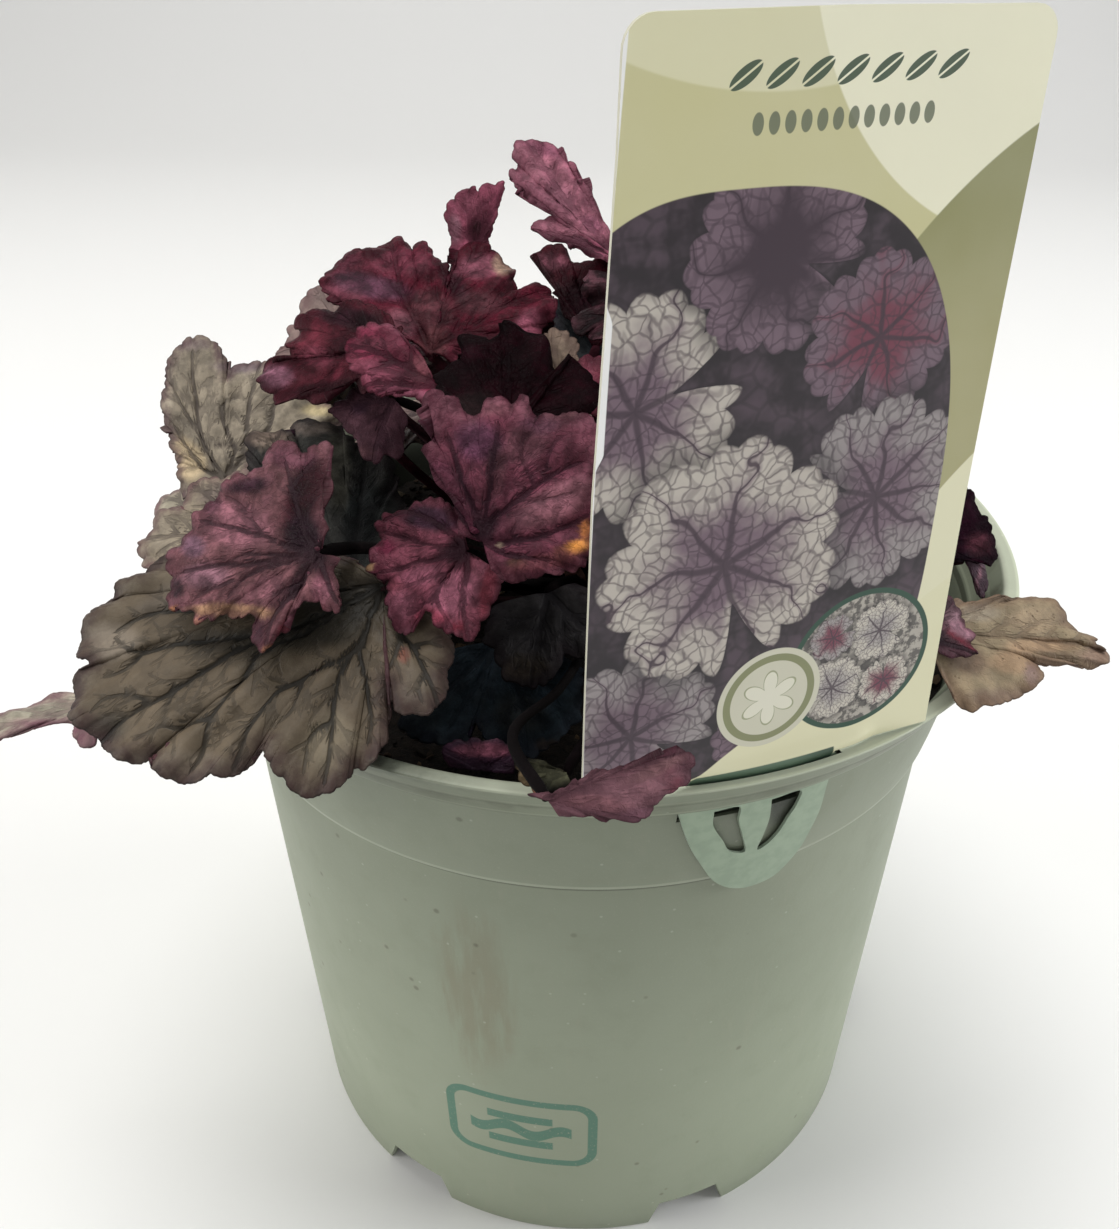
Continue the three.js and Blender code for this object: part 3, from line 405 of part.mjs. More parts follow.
function blade(leaf) {
  const base = new THREE.Vector3(...leaf.base), up = new THREE.Vector3(...leaf.up).normalize();
  const rim = leaf.rim.split(' ').map((t) => t.split(',').map(Number));
  const n = rim.length;
  const rings = [0.5, 1];
  const mid = [base.clone()];
  for (const r of rings) for (const [x, y, z, bow] of rim) {
    const p = new THREE.Vector3(x, y, z);
    const m = base.clone().add(p).multiplyScalar(0.5).addScaledVector(up, bow);
    mid.push(base.clone().multiplyScalar((1 - r) ** 2).addScaledVector(m, 2 * r * (1 - r)).addScaledVector(p, r * r));
  }
  const tri = [];
  for (let k = 0; k < n - 1; k++) tri.push([0, 1 + k, 2 + k]);
  for (let k = 0; k < n - 1; k++) { const a = 1 + k, b = a + n; tri.push([a, b, b + 1], [a, b + 1, a + 1]); }
  const normals = mid.map(() => new THREE.Vector3());
  const ab = new THREE.Vector3(), ac = new THREE.Vector3();
  for (const [a, b, c] of tri) {
    ab.subVectors(mid[b], mid[a]); ac.subVectors(mid[c], mid[a]); ab.cross(ac);
    for (const v of [a, b, c]) normals[v].add(ab);
  }
  const count = mid.length, pos = [];
  for (const side of [1, -1]) mid.forEach((p, i) => {
    const q = p.clone().addScaledVector(normals[i].clone().normalize(), (side * BLADE_T) / 2);
    pos.push(q.x, q.y, q.z);
  });
  const idx = [];
  for (const [a, b, c] of tri) { idx.push(a, b, c, count + a, count + c, count + b); }
  const loop = [0, 1];
  for (let k = 0; k < n; k++) loop.push(1 + n + k);
  loop.push(n);                                       // last point of the inner ring
  for (let i = 0; i < loop.length; i++) {
    const a = loop[i], b = loop[(i + 1) % loop.length];
    idx.push(b, a, count + a, b, count + a, count + b);
  }
  const g = new THREE.BufferGeometry();
  g.setAttribute('position', new THREE.BufferAttribute(new Float32Array(pos), 3));
  g.setIndex(idx);
  return fixWinding(g);
}
for (const leaf of LEAVES) {
  const path = leaf.stalk.split(' ').map((t) => new THREE.Vector3(...t.split(',').map(Number)));
  const stalk = tube(path, STALK_R, 5, 6);
  const g = toGeometry(solid(blade(leaf)).add(solid(stalk)));
  add(leaf.name, g, TONES[leaf.tone], 0.6);
}

export default parts;
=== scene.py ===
"""Looks of the potted heuchera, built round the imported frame. Lengths are worked out in millimetres and written in metres."""
import math

import bpy
import numpy as np
from mathutils import Matrix, Vector
from mathutils.geometry import delaunay_2d_cdt


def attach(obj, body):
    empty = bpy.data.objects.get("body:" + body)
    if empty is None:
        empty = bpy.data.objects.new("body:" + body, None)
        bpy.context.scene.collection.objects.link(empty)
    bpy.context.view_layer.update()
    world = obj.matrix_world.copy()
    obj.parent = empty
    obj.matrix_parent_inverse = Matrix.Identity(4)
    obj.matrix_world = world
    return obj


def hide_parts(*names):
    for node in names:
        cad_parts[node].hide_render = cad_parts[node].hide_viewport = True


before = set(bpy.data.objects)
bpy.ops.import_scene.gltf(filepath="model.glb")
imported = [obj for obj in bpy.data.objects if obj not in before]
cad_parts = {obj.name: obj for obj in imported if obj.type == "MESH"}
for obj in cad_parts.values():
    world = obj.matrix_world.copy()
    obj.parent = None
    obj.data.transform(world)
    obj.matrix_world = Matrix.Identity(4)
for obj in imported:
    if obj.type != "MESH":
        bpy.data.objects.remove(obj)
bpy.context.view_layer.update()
MM = 0.001
RNG = np.random.default_rng(11)


# ---------------------------------------------------------------- colour, view
def lin(rgb):
    """sRGB numbers of 0 to 255 as linear light."""
    c = np.asarray(rgb, float) / 255.0
    return np.where(c <= 0.04045, c / 12.92, ((c + 0.055) / 1.055) ** 2.4)


CAM = np.array([0.0, -222.27, 119.56 + 141.5])
FWD = np.array([0.00703934, 0.84329644, -0.53740261])
RIGHT = np.array([0.99985703, 0.00232672, 0.01674806])
UP = np.array([-0.01537396, 0.53744368, 0.84315949])
FOCAL, CX, CY = 1220.169, 599.9125, 615.0823


def to_view(p):
    q = np.asarray(p, float) - CAM
    d = q @ FWD
    return np.stack([CX + FOCAL * (q @ RIGHT) / d, CY - FOCAL * (q @ UP) / d], -1)


# --------------------------------------------------------------- shader helper
class Shade:
    dims = "3D"

    def __init__(self, name):
        self.mat = bpy.data.materials.new(name)
        self.mat.use_nodes = True
        self.tree = self.mat.node_tree
        self.tree.nodes.clear()

    def node(self, kind, **props):
        n = self.tree.nodes.new(kind)
        for k, v in props.items():
            setattr(n, k, v)
        return n

    def put(self, socket, v):
        if isinstance(v, bpy.types.NodeSocket):
            self.tree.links.new(v, socket)
        elif v is not None:
            if hasattr(socket.default_value, "__len__"):
                v = tuple(float(x) for x in v)
                if len(socket.default_value) == 4 and len(v) == 3:
                    v = v + (1.0,)
            socket.default_value = v

    def math(self, op, a, b=None, c=None, clamp=False):
        n = self.node("ShaderNodeMath", operation=op, use_clamp=clamp)
        for s, v in zip(n.inputs, (a, b, c)):
            self.put(s, v)
        return n.outputs[0]

    def add(self, a, b): return self.math("ADD", a, b)
    def sub(self, a, b): return self.math("SUBTRACT", a, b)
    def mul(self, a, b): return self.math("MULTIPLY", a, b)
    def div(self, a, b): return self.math("DIVIDE", a, b)
    def least(self, a, b): return self.math("MINIMUM", a, b)
    def most(self, a, b): return self.math("MAXIMUM", a, b)
    def size(self, a): return self.math("ABSOLUTE", a)

    def step(self, x, lo, hi, out=(0.0, 1.0)):
        n = self.node("ShaderNodeMapRange", interpolation_type="SMOOTHSTEP", clamp=True)
        for s, v in zip(("Value", "From Min", "From Max", "To Min", "To Max"), (x, lo, hi, *out)):
            self.put(n.inputs[s], v)
        return n.outputs[0]

    def mix(self, f, a, b, blend="MIX"):
        n = self.node("ShaderNodeMix", data_type="RGBA", blend_type=blend)
        self.put(n.inputs[0], f)
        self.put(n.inputs[6], a)
        self.put(n.inputs[7], b)
        return n.outputs[2]

    def blend(self, f, a, b):
        return self.add(a, self.mul(f, self.sub(b, a)))

    def vec(self, x, y, z=0.0):
        n = self.node("ShaderNodeCombineXYZ")
        for s, v in zip(n.inputs, (x, y, z)):
            self.put(s, v)
        return n.outputs[0]

    def parts(self, v):
        n = self.node("ShaderNodeSeparateXYZ")
        self.put(n.inputs[0], v)
        return n.outputs[0], n.outputs[1], n.outputs[2]

    def vmath(self, op, a, b=None, scale=None):
        n = self.node("ShaderNodeVectorMath", operation=op)
        self.put(n.inputs[0], a)
        self.put(n.inputs[1], b)
        if scale is not None:
            self.put(n.inputs["Scale"], scale)
        return n.outputs["Value"] if op in ("LENGTH", "DISTANCE", "DOT_PRODUCT") else n.outputs[0]

    def attr(self, name, out="Vector"):
        return self.node("ShaderNodeAttribute", attribute_name=name).outputs[out]

    def noise(self, v, scale, detail=3.0, rough=0.5, warp=0.0, out="Fac"):
        n = self.node("ShaderNodeTexNoise", noise_dimensions=self.dims)
        self.put(n.inputs["Vector"], v)
        for k, x in (("Scale", scale), ("Detail", detail), ("Roughness", rough), ("Distortion", warp)):
            self.put(n.inputs[k], x)
        return n.outputs[out]

    def voronoi(self, v, scale, feature="F1", out="Distance", rand=1.0, smooth=None):
        n = self.node("ShaderNodeTexVoronoi", voronoi_dimensions=self.dims, feature=feature)
        self.put(n.inputs["Vector"], v)
        self.put(n.inputs["Scale"], scale)
        self.put(n.inputs["Randomness"], rand)
        return n.outputs[out]

    def bump(self, height, strength, distance, normal=None):
        n = self.node("ShaderNodeBump")
        self.put(n.inputs["Strength"], strength)
        self.put(n.inputs["Distance"], distance)
        self.put(n.inputs["Height"], height)
        self.put(n.inputs["Normal"], normal)
        return n.outputs[0]

    def surface(self, color, rough, normal=None, spec=0.5, **more):
        b = self.node("ShaderNodeBsdfPrincipled")
        self.put(b.inputs["Base Color"], color)
        self.put(b.inputs["Roughness"], rough)
        self.put(b.inputs["Specular IOR Level"], spec)
        self.put(b.inputs["Normal"], normal)
        for k, v in more.items():
            self.put(b.inputs[k.replace("_", " ")], v)
        o = self.node("ShaderNodeOutputMaterial")
        self.tree.links.new(b.outputs[0], o.inputs[0])
        return self.mat


def make_mesh(name, verts_mm, tris, mats, attrs=None, smooth=True, face_mat=None, quads=None):
    """A mesh object from arrays. attrs: {name: values}, one row a vertex (1, 3 or 4 numbers)."""
    verts = np.asarray(verts_mm, np.float32) * MM
    faces = [np.asarray(tris, np.int32).reshape(-1, 3)] if tris is not None and len(tris) else []
    n3 = sum(len(f) for f in faces)
    q = np.asarray(quads, np.int32).reshape(-1, 4) if quads is not None and len(quads) else np.zeros((0, 4), np.int32)
    me = bpy.data.meshes.new(name)
    me.vertices.add(len(verts))
    me.vertices.foreach_set("co", verts.ravel())
    loops = np.concatenate([*(f.ravel() for f in faces), q.ravel()]) if n3 else q.ravel()
    me.loops.add(len(loops))
    me.loops.foreach_set("vertex_index", loops.astype(np.int32))
    sizes = np.concatenate([np.full(n3, 3), np.full(len(q), 4)]).astype(np.int32)
    me.polygons.add(len(sizes))
    starts = np.concatenate([[0], np.cumsum(sizes)[:-1]]).astype(np.int32)
    me.polygons.foreach_set("loop_start", starts)
    me.polygons.foreach_set("loop_total", sizes)
    me.polygons.foreach_set("use_smooth", np.full(len(sizes), bool(smooth)))
    for m in mats:
        me.materials.append(m)
    if face_mat is not None:
        me.polygons.foreach_set("material_index", np.asarray(face_mat, np.int32))
    for key, v in (attrs or {}).items():
        v = np.asarray(v, np.float32)
        if v.ndim == 1:
            a = me.attributes.new(key, "FLOAT", "POINT")
            a.data.foreach_set("value", v)
        elif v.shape[1] == 3:
            a = me.attributes.new(key, "FLOAT_VECTOR", "POINT")
            a.data.foreach_set("vector", v.ravel())
        else:
            a = me.attributes.new(key, "FLOAT_COLOR", "POINT")
            a.data.foreach_set("color", v.ravel())
    me.update(calc_edges=True)
    me.validate()
    ob = bpy.data.objects.new(name, me)
    bpy.context.scene.collection.objects.link(ob)
    return ob


def vertex_normals(v, t):
    fn = np.cross(v[t[:, 1]] - v[t[:, 0]], v[t[:, 2]] - v[t[:, 0]])
    n = np.zeros_like(v)
    for k in range(3):
        for c in range(3):
            n[:, c] += np.bincount(t[:, k], fn[:, c], len(v))
    return n / np.maximum(np.linalg.norm(n, axis=1, keepdims=True), 1e-9)


def smoothstep(x, a, b):
    t = np.clip((np.asarray(x, float) - a) / (b - a), 0, 1)
    return t * t * (3 - 2 * t)


def wobble(p, seed, scale):
    """Cheap smooth noise of 2 or 3 coordinates, about -1 to 1."""
    r = np.random.default_rng(seed)
    out = np.zeros(len(p))
    for i in range(5):
        k = r.normal(size=p.shape[1])
        k *= (0.6 + 0.35 * i) / max(np.linalg.norm(k), 1e-6)
        out += np.sin(p @ k * scale + r.uniform(0, 6.28)) / (1 + 0.35 * i)
    return out / 2.6


def spline(P, step):
    """Centripetal Catmull-Rom through the rows of P (first three columns are the place)."""
    P = np.asarray(P, float)
    ext = np.vstack([2 * P[0] - P[1], P, 2 * P[-1] - P[-2]])
    out = []
    for i in range(len(P) - 1):
        p = ext[i:i + 4]
        d = [max(np.linalg.norm((p[k + 1] - p[k])[:3]) ** 0.5, 1e-3) for k in range(3)]
        t0, t1 = 0.0, d[0]
        t2 = t1 + d[1]
        t3 = t2 + d[2]
        m = max(2, int(math.ceil(np.linalg.norm((p[2] - p[1])[:3]) / step)))
        t = (t1 + (t2 - t1) * np.arange(m) / m)[:, None]
        a1 = (t1 - t) / (t1 - t0) * p[0] + (t - t0) / (t1 - t0) * p[1]
        a2 = (t2 - t) / (t2 - t1) * p[1] + (t - t1) / (t2 - t1) * p[2]
        a3 = (t3 - t) / (t3 - t2) * p[2] + (t - t2) / (t3 - t2) * p[3]
        b1 = (t2 - t) / (t2 - t0) * a1 + (t - t0) / (t2 - t0) * a2
        b2 = (t3 - t) / (t3 - t1) * a2 + (t - t1) / (t3 - t1) * a3
        out.append((t2 - t) / (t2 - t1) * b1 + (t - t1) / (t2 - t1) * b2)
    out.append(P[-1:])
    return np.vstack(out)


# ------------------------------------------------------------- the leaf table
# name, kind, place of the junction, blade normal there, margin as x,y,z,bow, stalk from crown to junction
LEAVES = [
    ('leaf_01_low_left', 'silver', (-33.3, -55.3, 160.1), (-0.04, -0.452, 0.891),
     '-40.1,-50.4,162.1,0.08 -47.8,-48.4,162.3,0.29 -56.1,-48.1,161.3,0.63 -64.5,-48.3,159.7,1.12 -69.7,-49.2,158.2,1.49 -73.5,-50,157,1.8 -76.3,-50.7,155.9,2.05 -78.8,-52.2,154.5,2.3 -78.8,-54.4,153.4,2.3 -81.1,-55.5,152.1,2.55 -82.6,-58.3,150.2,2.75 -82.6,-61.7,148.3,2.83 -81.3,-64.1,147.3,2.76 -78.4,-65.1,147.5,2.48 -80.8,-66.5,146,2.8 -81.5,-68,144.9,2.94 -80.1,-70.7,143.6,2.93 -78.1,-73.9,142.2,2.9 -74.3,-76.2,141.7,2.66 -71.5,-78.7,140.7,2.59 -68,-80,140.6,2.39 -65.8,-79.6,141.4,2.17 -64.4,-79.6,141.7,2.06 -63.3,-81.7,140.5,2.16 -60.6,-83.1,140.1,2.09 -57.8,-83.6,140.2,1.96 -55.5,-82.7,141.3,1.74 -54.3,-82.5,141.6,1.66 -52.1,-83.3,141.4,1.62 -49.9,-82.4,142.3,1.45 -48.3,-81.3,143.4,1.29 -46.7,-79.8,144.5,1.12 -45.3,-81.8,143.4,1.23 -42.7,-83.5,142.4,1.31 -41.6,-85.2,141.3,1.44 -38.6,-85.8,141.1,1.44 -35.6,-85.4,141.6,1.37 -33.5,-83.3,143.3,1.16 -32.9,-81.6,144.4,1.03 -30.4,-81.4,144.7,1.02 -29,-79,146.4,0.84 -28.7,-76.2,148.2,0.65 -29,-73.1,150.2,0.48 -29.3,-70.3,151.9,0.34 -27.9,-73.6,149.9,0.51 -25.6,-75.2,148.9,0.63 -23.1,-74.6,149.3,0.65 -21.4,-71.7,151.1,0.54 -20.5,-68.5,153,0.43 -20.1,-65.8,154.6,0.35 -22.5,-61.3,157.1,0.18 -24.4,-57.2,159.3,0.09 -27.9,-53.5,161.2,0.04',
     '-5.8,-9.5,130.1 -12.8,-18.7,134.4 -18.7,-28,140 -23.8,-37.1,146.6 -28.5,-46.1,153.5 -33.3,-55.3,160.1'),
    ('leaf_02_far_left', 'palepink', (-85.2, -50, 132), (-0.131, 0.048, 0.99),
     '-88.3,-45.7,131.4,-0 -92.1,-45.7,130.9,0 -94.7,-46.2,130.6,0 -99.4,-48,130.1,-0 -102.1,-51,129.8,0 -104.5,-53.7,129.7,-0 -105.2,-57.8,129.8,0 -101.7,-60.9,130.4,-0 -98.6,-59.2,130.7,0 -96.1,-57.9,131,0 -92.9,-57.3,131.4,-0 -90.2,-56.5,131.7,0 -88.2,-56.9,132,-0 -86.8,-60.3,132.3,-0 -84.4,-63.5,132.8,-0 -82.3,-63.5,133.1,-0 -82.5,-59.5,132.9,-0',
     '-11,-5,127.5 -27.6,-12,137.5 -45.3,-18.2,146.4 -64.8,-24.3,148.7 -81.3,-34.3,142.1 -85.2,-50,132'),
    ('leaf_03_left_purple', 'purple', (-41.8, -61, 168.9), (-0.251, -0.62, 0.743),
     '-40,-58.4,171.6,0.01 -41.4,-55.5,173.5,0.04 -41.4,-51.7,176.4,0.12 -41.5,-47.8,179.3,0.24 -43.4,-45.7,180.2,0.3 -45,-45.9,179.6,0.29 -46.2,-47.3,178.2,0.24 -48.4,-45.1,179,0.33 -51.2,-44.2,178.7,0.39 -52.8,-44.7,177.7,0.39 -53.4,-46.6,176.1,0.33 -55.5,-47.6,174.5,0.33 -59,-47.8,172.9,0.41 -59.8,-49.4,171.4,0.39 -62.4,-50,169.9,0.46 -63.9,-51.5,168,0.48 -65.6,-53.4,165.8,0.53 -67,-55.5,163.4,0.58 -66.6,-57.9,161.6,0.56 -66.5,-59.4,160.3,0.57 -65.9,-62.1,158.3,0.58 -61.7,-64,158.5,0.43 -60.6,-65.5,157.6,0.42 -58.9,-65.5,158.3,0.35 -56.6,-65.5,159.3,0.28 -53,-66.6,159.8,0.2 -51.6,-66.6,160.4,0.17 -50.9,-69.4,158.2,0.22 -48.2,-71.8,157,0.25 -46.9,-70.3,158.8,0.18 -45.1,-69.6,160.2,0.13 -43.8,-67.1,162.9,0.06 -41,-67,164,0.05 -38.6,-68.8,163.2,0.08 -37,-68.2,164.3,0.08 -37.7,-65.3,166.5,0.03 -37.6,-62.4,169,0.02',
     '-6.7,-6.7,132.6 -11.8,-15.7,142.2 -17.7,-28.3,149.2 -24.9,-40.4,155.8 -36,-48.6,162.6 -41.8,-61,168.9'),
    ('leaf_04_upper_left', 'silver2', (-73.8, -2, 151.8), (-0.116, -0.659, 0.743),
     '-80.5,-4,149.1,-0.03 -82.6,-1.9,150.7,-0.04 -84.2,1.8,153.8,-0.07 -86.8,5.2,156.6,-0.13 -88.4,8.2,159.2,-0.2 -89.3,11.5,162.1,-0.29 -89.4,15.3,165.8,-0.41 -88.6,18.4,169,-0.51 -87.2,20.6,171.4,-0.59 -85.1,20.6,171.7,-0.57 -83,21,172.4,-0.57 -80.6,20.5,172.2,-0.53 -78.5,18.9,170.9,-0.45 -77.1,16.7,168.9,-0.36 -76.2,14.1,166.5,-0.27 -75.2,15.6,168.1,-0.32 -72.8,16.4,169.3,-0.36 -69.8,16.3,169.7,-0.37 -66.4,15.4,169.4,-0.37 -62,13.4,168.3,-0.36 -58,10,165.9,-0.33 -53.2,7.4,164.5,-0.37 -50.9,6.2,163.8,-0.41 -52,4.9,162.3,-0.35 -56.4,3.2,159.8,-0.22 -62.4,1.2,156.7,-0.09 -68.2,-1,153.6,-0.02',
     '-11,1.2,130.2 -24.1,1.3,134.1 -37.5,0.5,137 -50.8,-0.7,139.9 -64,-1.9,143.6 -73.8,-2,151.8'),
    ('leaf_05_dark_under', 'dark', (-42.3, -37.3, 150.1), (0.03, -0.341, 0.94),
     '-48.9,-33.6,151.6,0.03 -55.9,-27,153.9,0.17 -61.6,-19.3,156.4,0.42 -66.2,-11.4,158.7,0.75 -68,-5.5,160.3,1.01 -67.5,-1.5,161.4,1.16 -64.2,-0,161.9,1.14 -61.4,-1.3,161.6,1.02 -59.8,-2.6,161.3,0.93 -59.8,0.3,162.1,1.06 -57.6,2.5,162.6,1.12 -54,2.6,162.7,1.07 -50.6,1.2,162.3,0.97 -48.6,-2.1,161.4,0.8 -43.9,-4.7,160.6,0.67 -38.7,-8.9,159.2,0.51 -35.4,-16.1,156.9,0.31 -34,-23.5,154.5,0.16 -34.7,-30.2,152.3,0.06 -36.9,-35.7,150.5,0.02',
     '-8.8,-7.2,129.6 -14.7,-13.4,134.8 -21.3,-20.3,138 -28.3,-27,140.8 -35.4,-33.2,144.2 -42.3,-37.3,150.1'),
    ('leaf_06_pale_left', 'pale', (-58.8, -32.7, 153.3), (-0.287, -0.41, 0.866),
     '-60.6,-23.3,157,0.06 -62.5,-17.2,159,0.16 -64.1,-14.8,159.5,0.22 -67.2,-13.2,159.1,0.28 -70.2,-13.9,157.7,0.29 -72.5,-12.9,157.4,0.34 -75.4,-13.4,156.1,0.38 -76.6,-15.9,154.6,0.34 -76.4,-18.4,153.6,0.29 -79.3,-17.3,152.9,0.38 -81.7,-18.4,151.5,0.42 -84,-20.3,149.8,0.46 -84.6,-23.5,148.1,0.45 -83.3,-27.1,147,0.38 -80.4,-29.9,146.8,0.3 -76.2,-33,146.9,0.2 -69.5,-37.5,147.3,0.1 -62.6,-39.6,148.7,0.05',
     '-10.3,-3.2,130.7 -17.3,-10.7,138.3 -26.4,-18.7,142 -36.8,-26,144 -48.1,-31.1,146.8 -58.8,-32.7,153.3'),
    ('leaf_07_left_edge', 'pale', (-73.9, -11.8, 147.5), (-0.439, -0.369, 0.819),
     '-79.8,-2.7,148.5,-0 -83.8,1.4,148.2,-0 -87.2,2.3,146.7,0 -89,0.4,144.9,0 -89.7,-3.7,142.7,0 -86.6,-7.4,142.7,-0 -80.9,-12.6,143.4,0',
     '-12,-1.4,127.7 -24.5,-5,130.7 -36.9,-8.8,133.9 -49.4,-11.9,137.5 -61.9,-13.3,142 -73.9,-11.8,147.5'),
    ('leaf_08_top_back', 'purple_top', (-28.6, -19.7, 185.4), (-0.035, -0.405, 0.914),
     '-38.7,-14.2,187.3,0.08 -45.1,-7.8,189.5,0.24 -50,-2.8,191.1,0.44 -49.9,1.5,192.8,0.54 -48.4,4.9,194.2,0.61 -45.8,6.6,195.1,0.61 -43,5.2,194.8,0.52 -41.9,8.3,196,0.61 -38.5,10.4,196.9,0.65 -35.9,8.4,196.4,0.55 -34.7,6.1,195.6,0.46 -33,8,196.4,0.52 -30.3,5,195.4,0.41 -27.8,1.9,194.3,0.31 -27.5,-0.8,193.3,0.24 -26.6,4.6,195.4,0.4 -23.8,7.4,196.5,0.5 -19.9,6.2,196.2,0.49 -15.8,2.1,194.7,0.41 -14.5,-4.2,192.2,0.28 -11.5,-3.1,192.7,0.35 -8.6,-4.6,192.1,0.39 -7.2,-9.6,190,0.33 -9.5,-13.2,188.5,0.24 -8.8,-16,187.3,0.24 -11.4,-17.2,186.8,0.17 -15.8,-18.1,186.4,0.1 -19.6,-18.8,186.1,0.05 -23.1,-20,185.5,0.02 -24,-23.2,184,0.02',
     '-2,0.8,136.8 -4.7,-0.5,148.4 -10.4,-3.7,158.6 -17.3,-8.3,167.5 -23.9,-13.6,176.1 -28.6,-19.7,185.4'),
    ('leaf_09_top_left', 'maroon', (-32.5, -25.4, 187.5), (-0.378, -0.45, 0.809),
     '-31.8,-29.5,185.5,0.01 -35.9,-29.8,183.5,0.01 -42.3,-27.8,181.5,0.04 -48.8,-26.2,179.3,0.09 -54.1,-24.7,177.4,0.16 -56.9,-21.4,177.9,0.2 -59.9,-17.1,178.7,0.25 -59.5,-15.1,180,0.25 -56.7,-15.2,181.4,0.2 -53.3,-16.2,182.5,0.15 -54.9,-12.9,183.6,0.19 -53.7,-10.8,185.3,0.19 -53.4,-7.8,187,0.21 -50,-7.8,188.7,0.17 -45.9,-10,189.5,0.12 -43.7,-10.2,190.5,0.1 -39.7,-12.3,191.3,0.07 -35.9,-16.7,190.7,0.03 -33.7,-20.6,189.6,0.01',
     '-5,-2.2,135.7 -10,-4.6,147.1 -15.3,-8.7,157.9 -20.8,-13.9,168.1 -26.6,-19.7,177.8 -32.5,-25.4,187.5'),
    ('leaf_10_mid_pink', 'pink', (-25.5, -35, 185.4), (-0.152, -0.568, 0.809),
     '-29,-28.9,188.8,0.07 -33,-25.7,190,0.19 -37.7,-23.3,190.5,0.35 -41.4,-24.1,189,0.44 -43.3,-26.8,186.8,0.44 -41.3,-30.4,184.9,0.31 -38.2,-33.7,183.4,0.19 -34.2,-35.8,183,0.09 -30,-36.3,183.6,0.03 -27.6,-37.1,183.5,0.01 -25.6,-37.8,183.4,0.01',
     '-3.5,-5.5,135.1 -7.5,-9.9,146.1 -11.5,-15.9,156.3 -15.8,-22.5,166.1 -20.4,-29,175.7 -25.5,-35,185.4'),
    ('leaf_11_centre', 'purple', (-16.5, -62.1, 172), (-0.026, -0.743, 0.669),
     '-19.6,-61.6,172.4,0.01 -21.9,-58.4,175.7,0.07 -23.3,-57.2,176.9,0.11 -25.8,-55,178.9,0.22 -27.6,-52.5,181.1,0.35 -27.1,-51.8,181.9,0.37 -26.5,-51.5,182.3,0.37 -28.2,-49.1,184.4,0.54 -28.9,-47.1,186.1,0.68 -26.9,-45.9,187.5,0.72 -24.1,-47,186.7,0.59 -21.2,-48.1,185.9,0.48 -18.6,-46.2,187.8,0.59 -15,-45.8,188.3,0.63 -13.4,-45.2,188.9,0.69 -11.7,-48,186.3,0.5 -9.3,-47.2,187,0.59 -5.3,-46.4,187.7,0.73 -2.9,-46.8,187.3,0.77 -0.7,-48.4,185.7,0.74 0.3,-50.7,183.4,0.64 0,-53.3,180.9,0.51 -0.2,-56.4,177.8,0.39 0.2,-59.6,174.4,0.34 -0.4,-62.6,171.2,0.31 -3.3,-64,169.7,0.22 -7.8,-65.2,168.6,0.12 -11.6,-66,167.6,0.07 -14.6,-65.3,168.4,0.03',
     '0.2,-8.4,133.7 -1.6,-18.4,142.9 -4.1,-29.3,150.7 -7.2,-40.5,158.1 -11.2,-51.5,165.1 -16.5,-62.1,172'),
    ('leaf_12_centre_low', 'pink', (-19.3, -59.4, 168.5), (-0.338, -0.635, 0.695),
     '-20.2,-55.3,171.7,0.03 -22.6,-52.4,173.1,0.09 -26.5,-50.6,172.6,0.17 -30.1,-50.3,171,0.24 -33.9,-50,169,0.35 -34.7,-51,167.7,0.35 -33.5,-53,166.7,0.28 -35.4,-53.6,165,0.35 -36.1,-55.3,163,0.38 -33.6,-57.6,162.4,0.28 -32,-58.6,162.4,0.23 -32.5,-61,159.9,0.29 -31,-63.6,158.1,0.3 -29.4,-65.6,157,0.32 -27.5,-65.1,158.7,0.23 -25.7,-64.4,160.5,0.15 -23,-66.9,159.4,0.18 -19.4,-69,159.1,0.21 -17.2,-70.4,158.8,0.26 -16.4,-68.1,161.6,0.15 -15,-65.8,164.5,0.09 -13.4,-64.7,166.3,0.08 -15.2,-62.4,167.7,0.03',
     '-3.5,-8.5,132.9 -6.2,-19.5,139.1 -8.7,-30.4,145.7 -11.2,-41,152.6 -14.3,-51.1,160.1 -19.3,-59.4,168.5'),
    ('leaf_13_small_brown', 'brown', (-34.4, -26, 179.4), (-0.112, -0.633, 0.766),
     '-40.5,-23.8,180.3,0.02 -44.6,-24.5,179,0.06 -45.9,-25.8,177.7,0.08 -43.4,-28.2,176.2,0.05 -40.8,-31.1,174.2,0.05 -39.9,-33.6,172.2,0.08 -38.5,-34.6,171.6,0.08 -36.1,-34.2,172.2,0.07 -33.7,-34.2,172.6,0.06 -33.3,-31,175.4,0.02 -32.8,-28.8,177.4,0.01',
     '-7.9,-3.3,133.5 -13,-5.9,143.8 -18,-9,154 -23.2,-12.9,163.8 -28.6,-18.3,172.8 -34.4,-26,179.4'),
    ('leaf_14_upright', 'purple_back', (-23.6, 9.2, 193.8), (0.165, -0.937, 0.309),
     '-27.2,8.9,194.9,-0.01 -28.2,9.7,197.9,-0.02 -29.3,10.5,201.1,-0.05 -28.3,11.3,203,-0.06 -26.1,12.3,205.1,-0.08 -24.3,12.9,205.8,-0.08 -23.7,12.6,204.6,-0.07 -22,13.4,206.2,-0.09 -18.9,14.1,207,-0.12 -19.3,13.2,204,-0.07 -19.9,12.2,201.2,-0.04 -20.6,11,197.8,-0.02 -20.5,9.9,194.4,-0.01',
     '-5.5,1.5,135.6 -7.3,3.9,147.8 -10.6,8.1,159.2 -14.8,11.4,170.6 -19.3,12.1,182.3 -23.6,9.2,193.8'),
    ('leaf_15_top', 'purple_lit', (4.6, 2, 195.2), (-0.129, -0.732, 0.669),
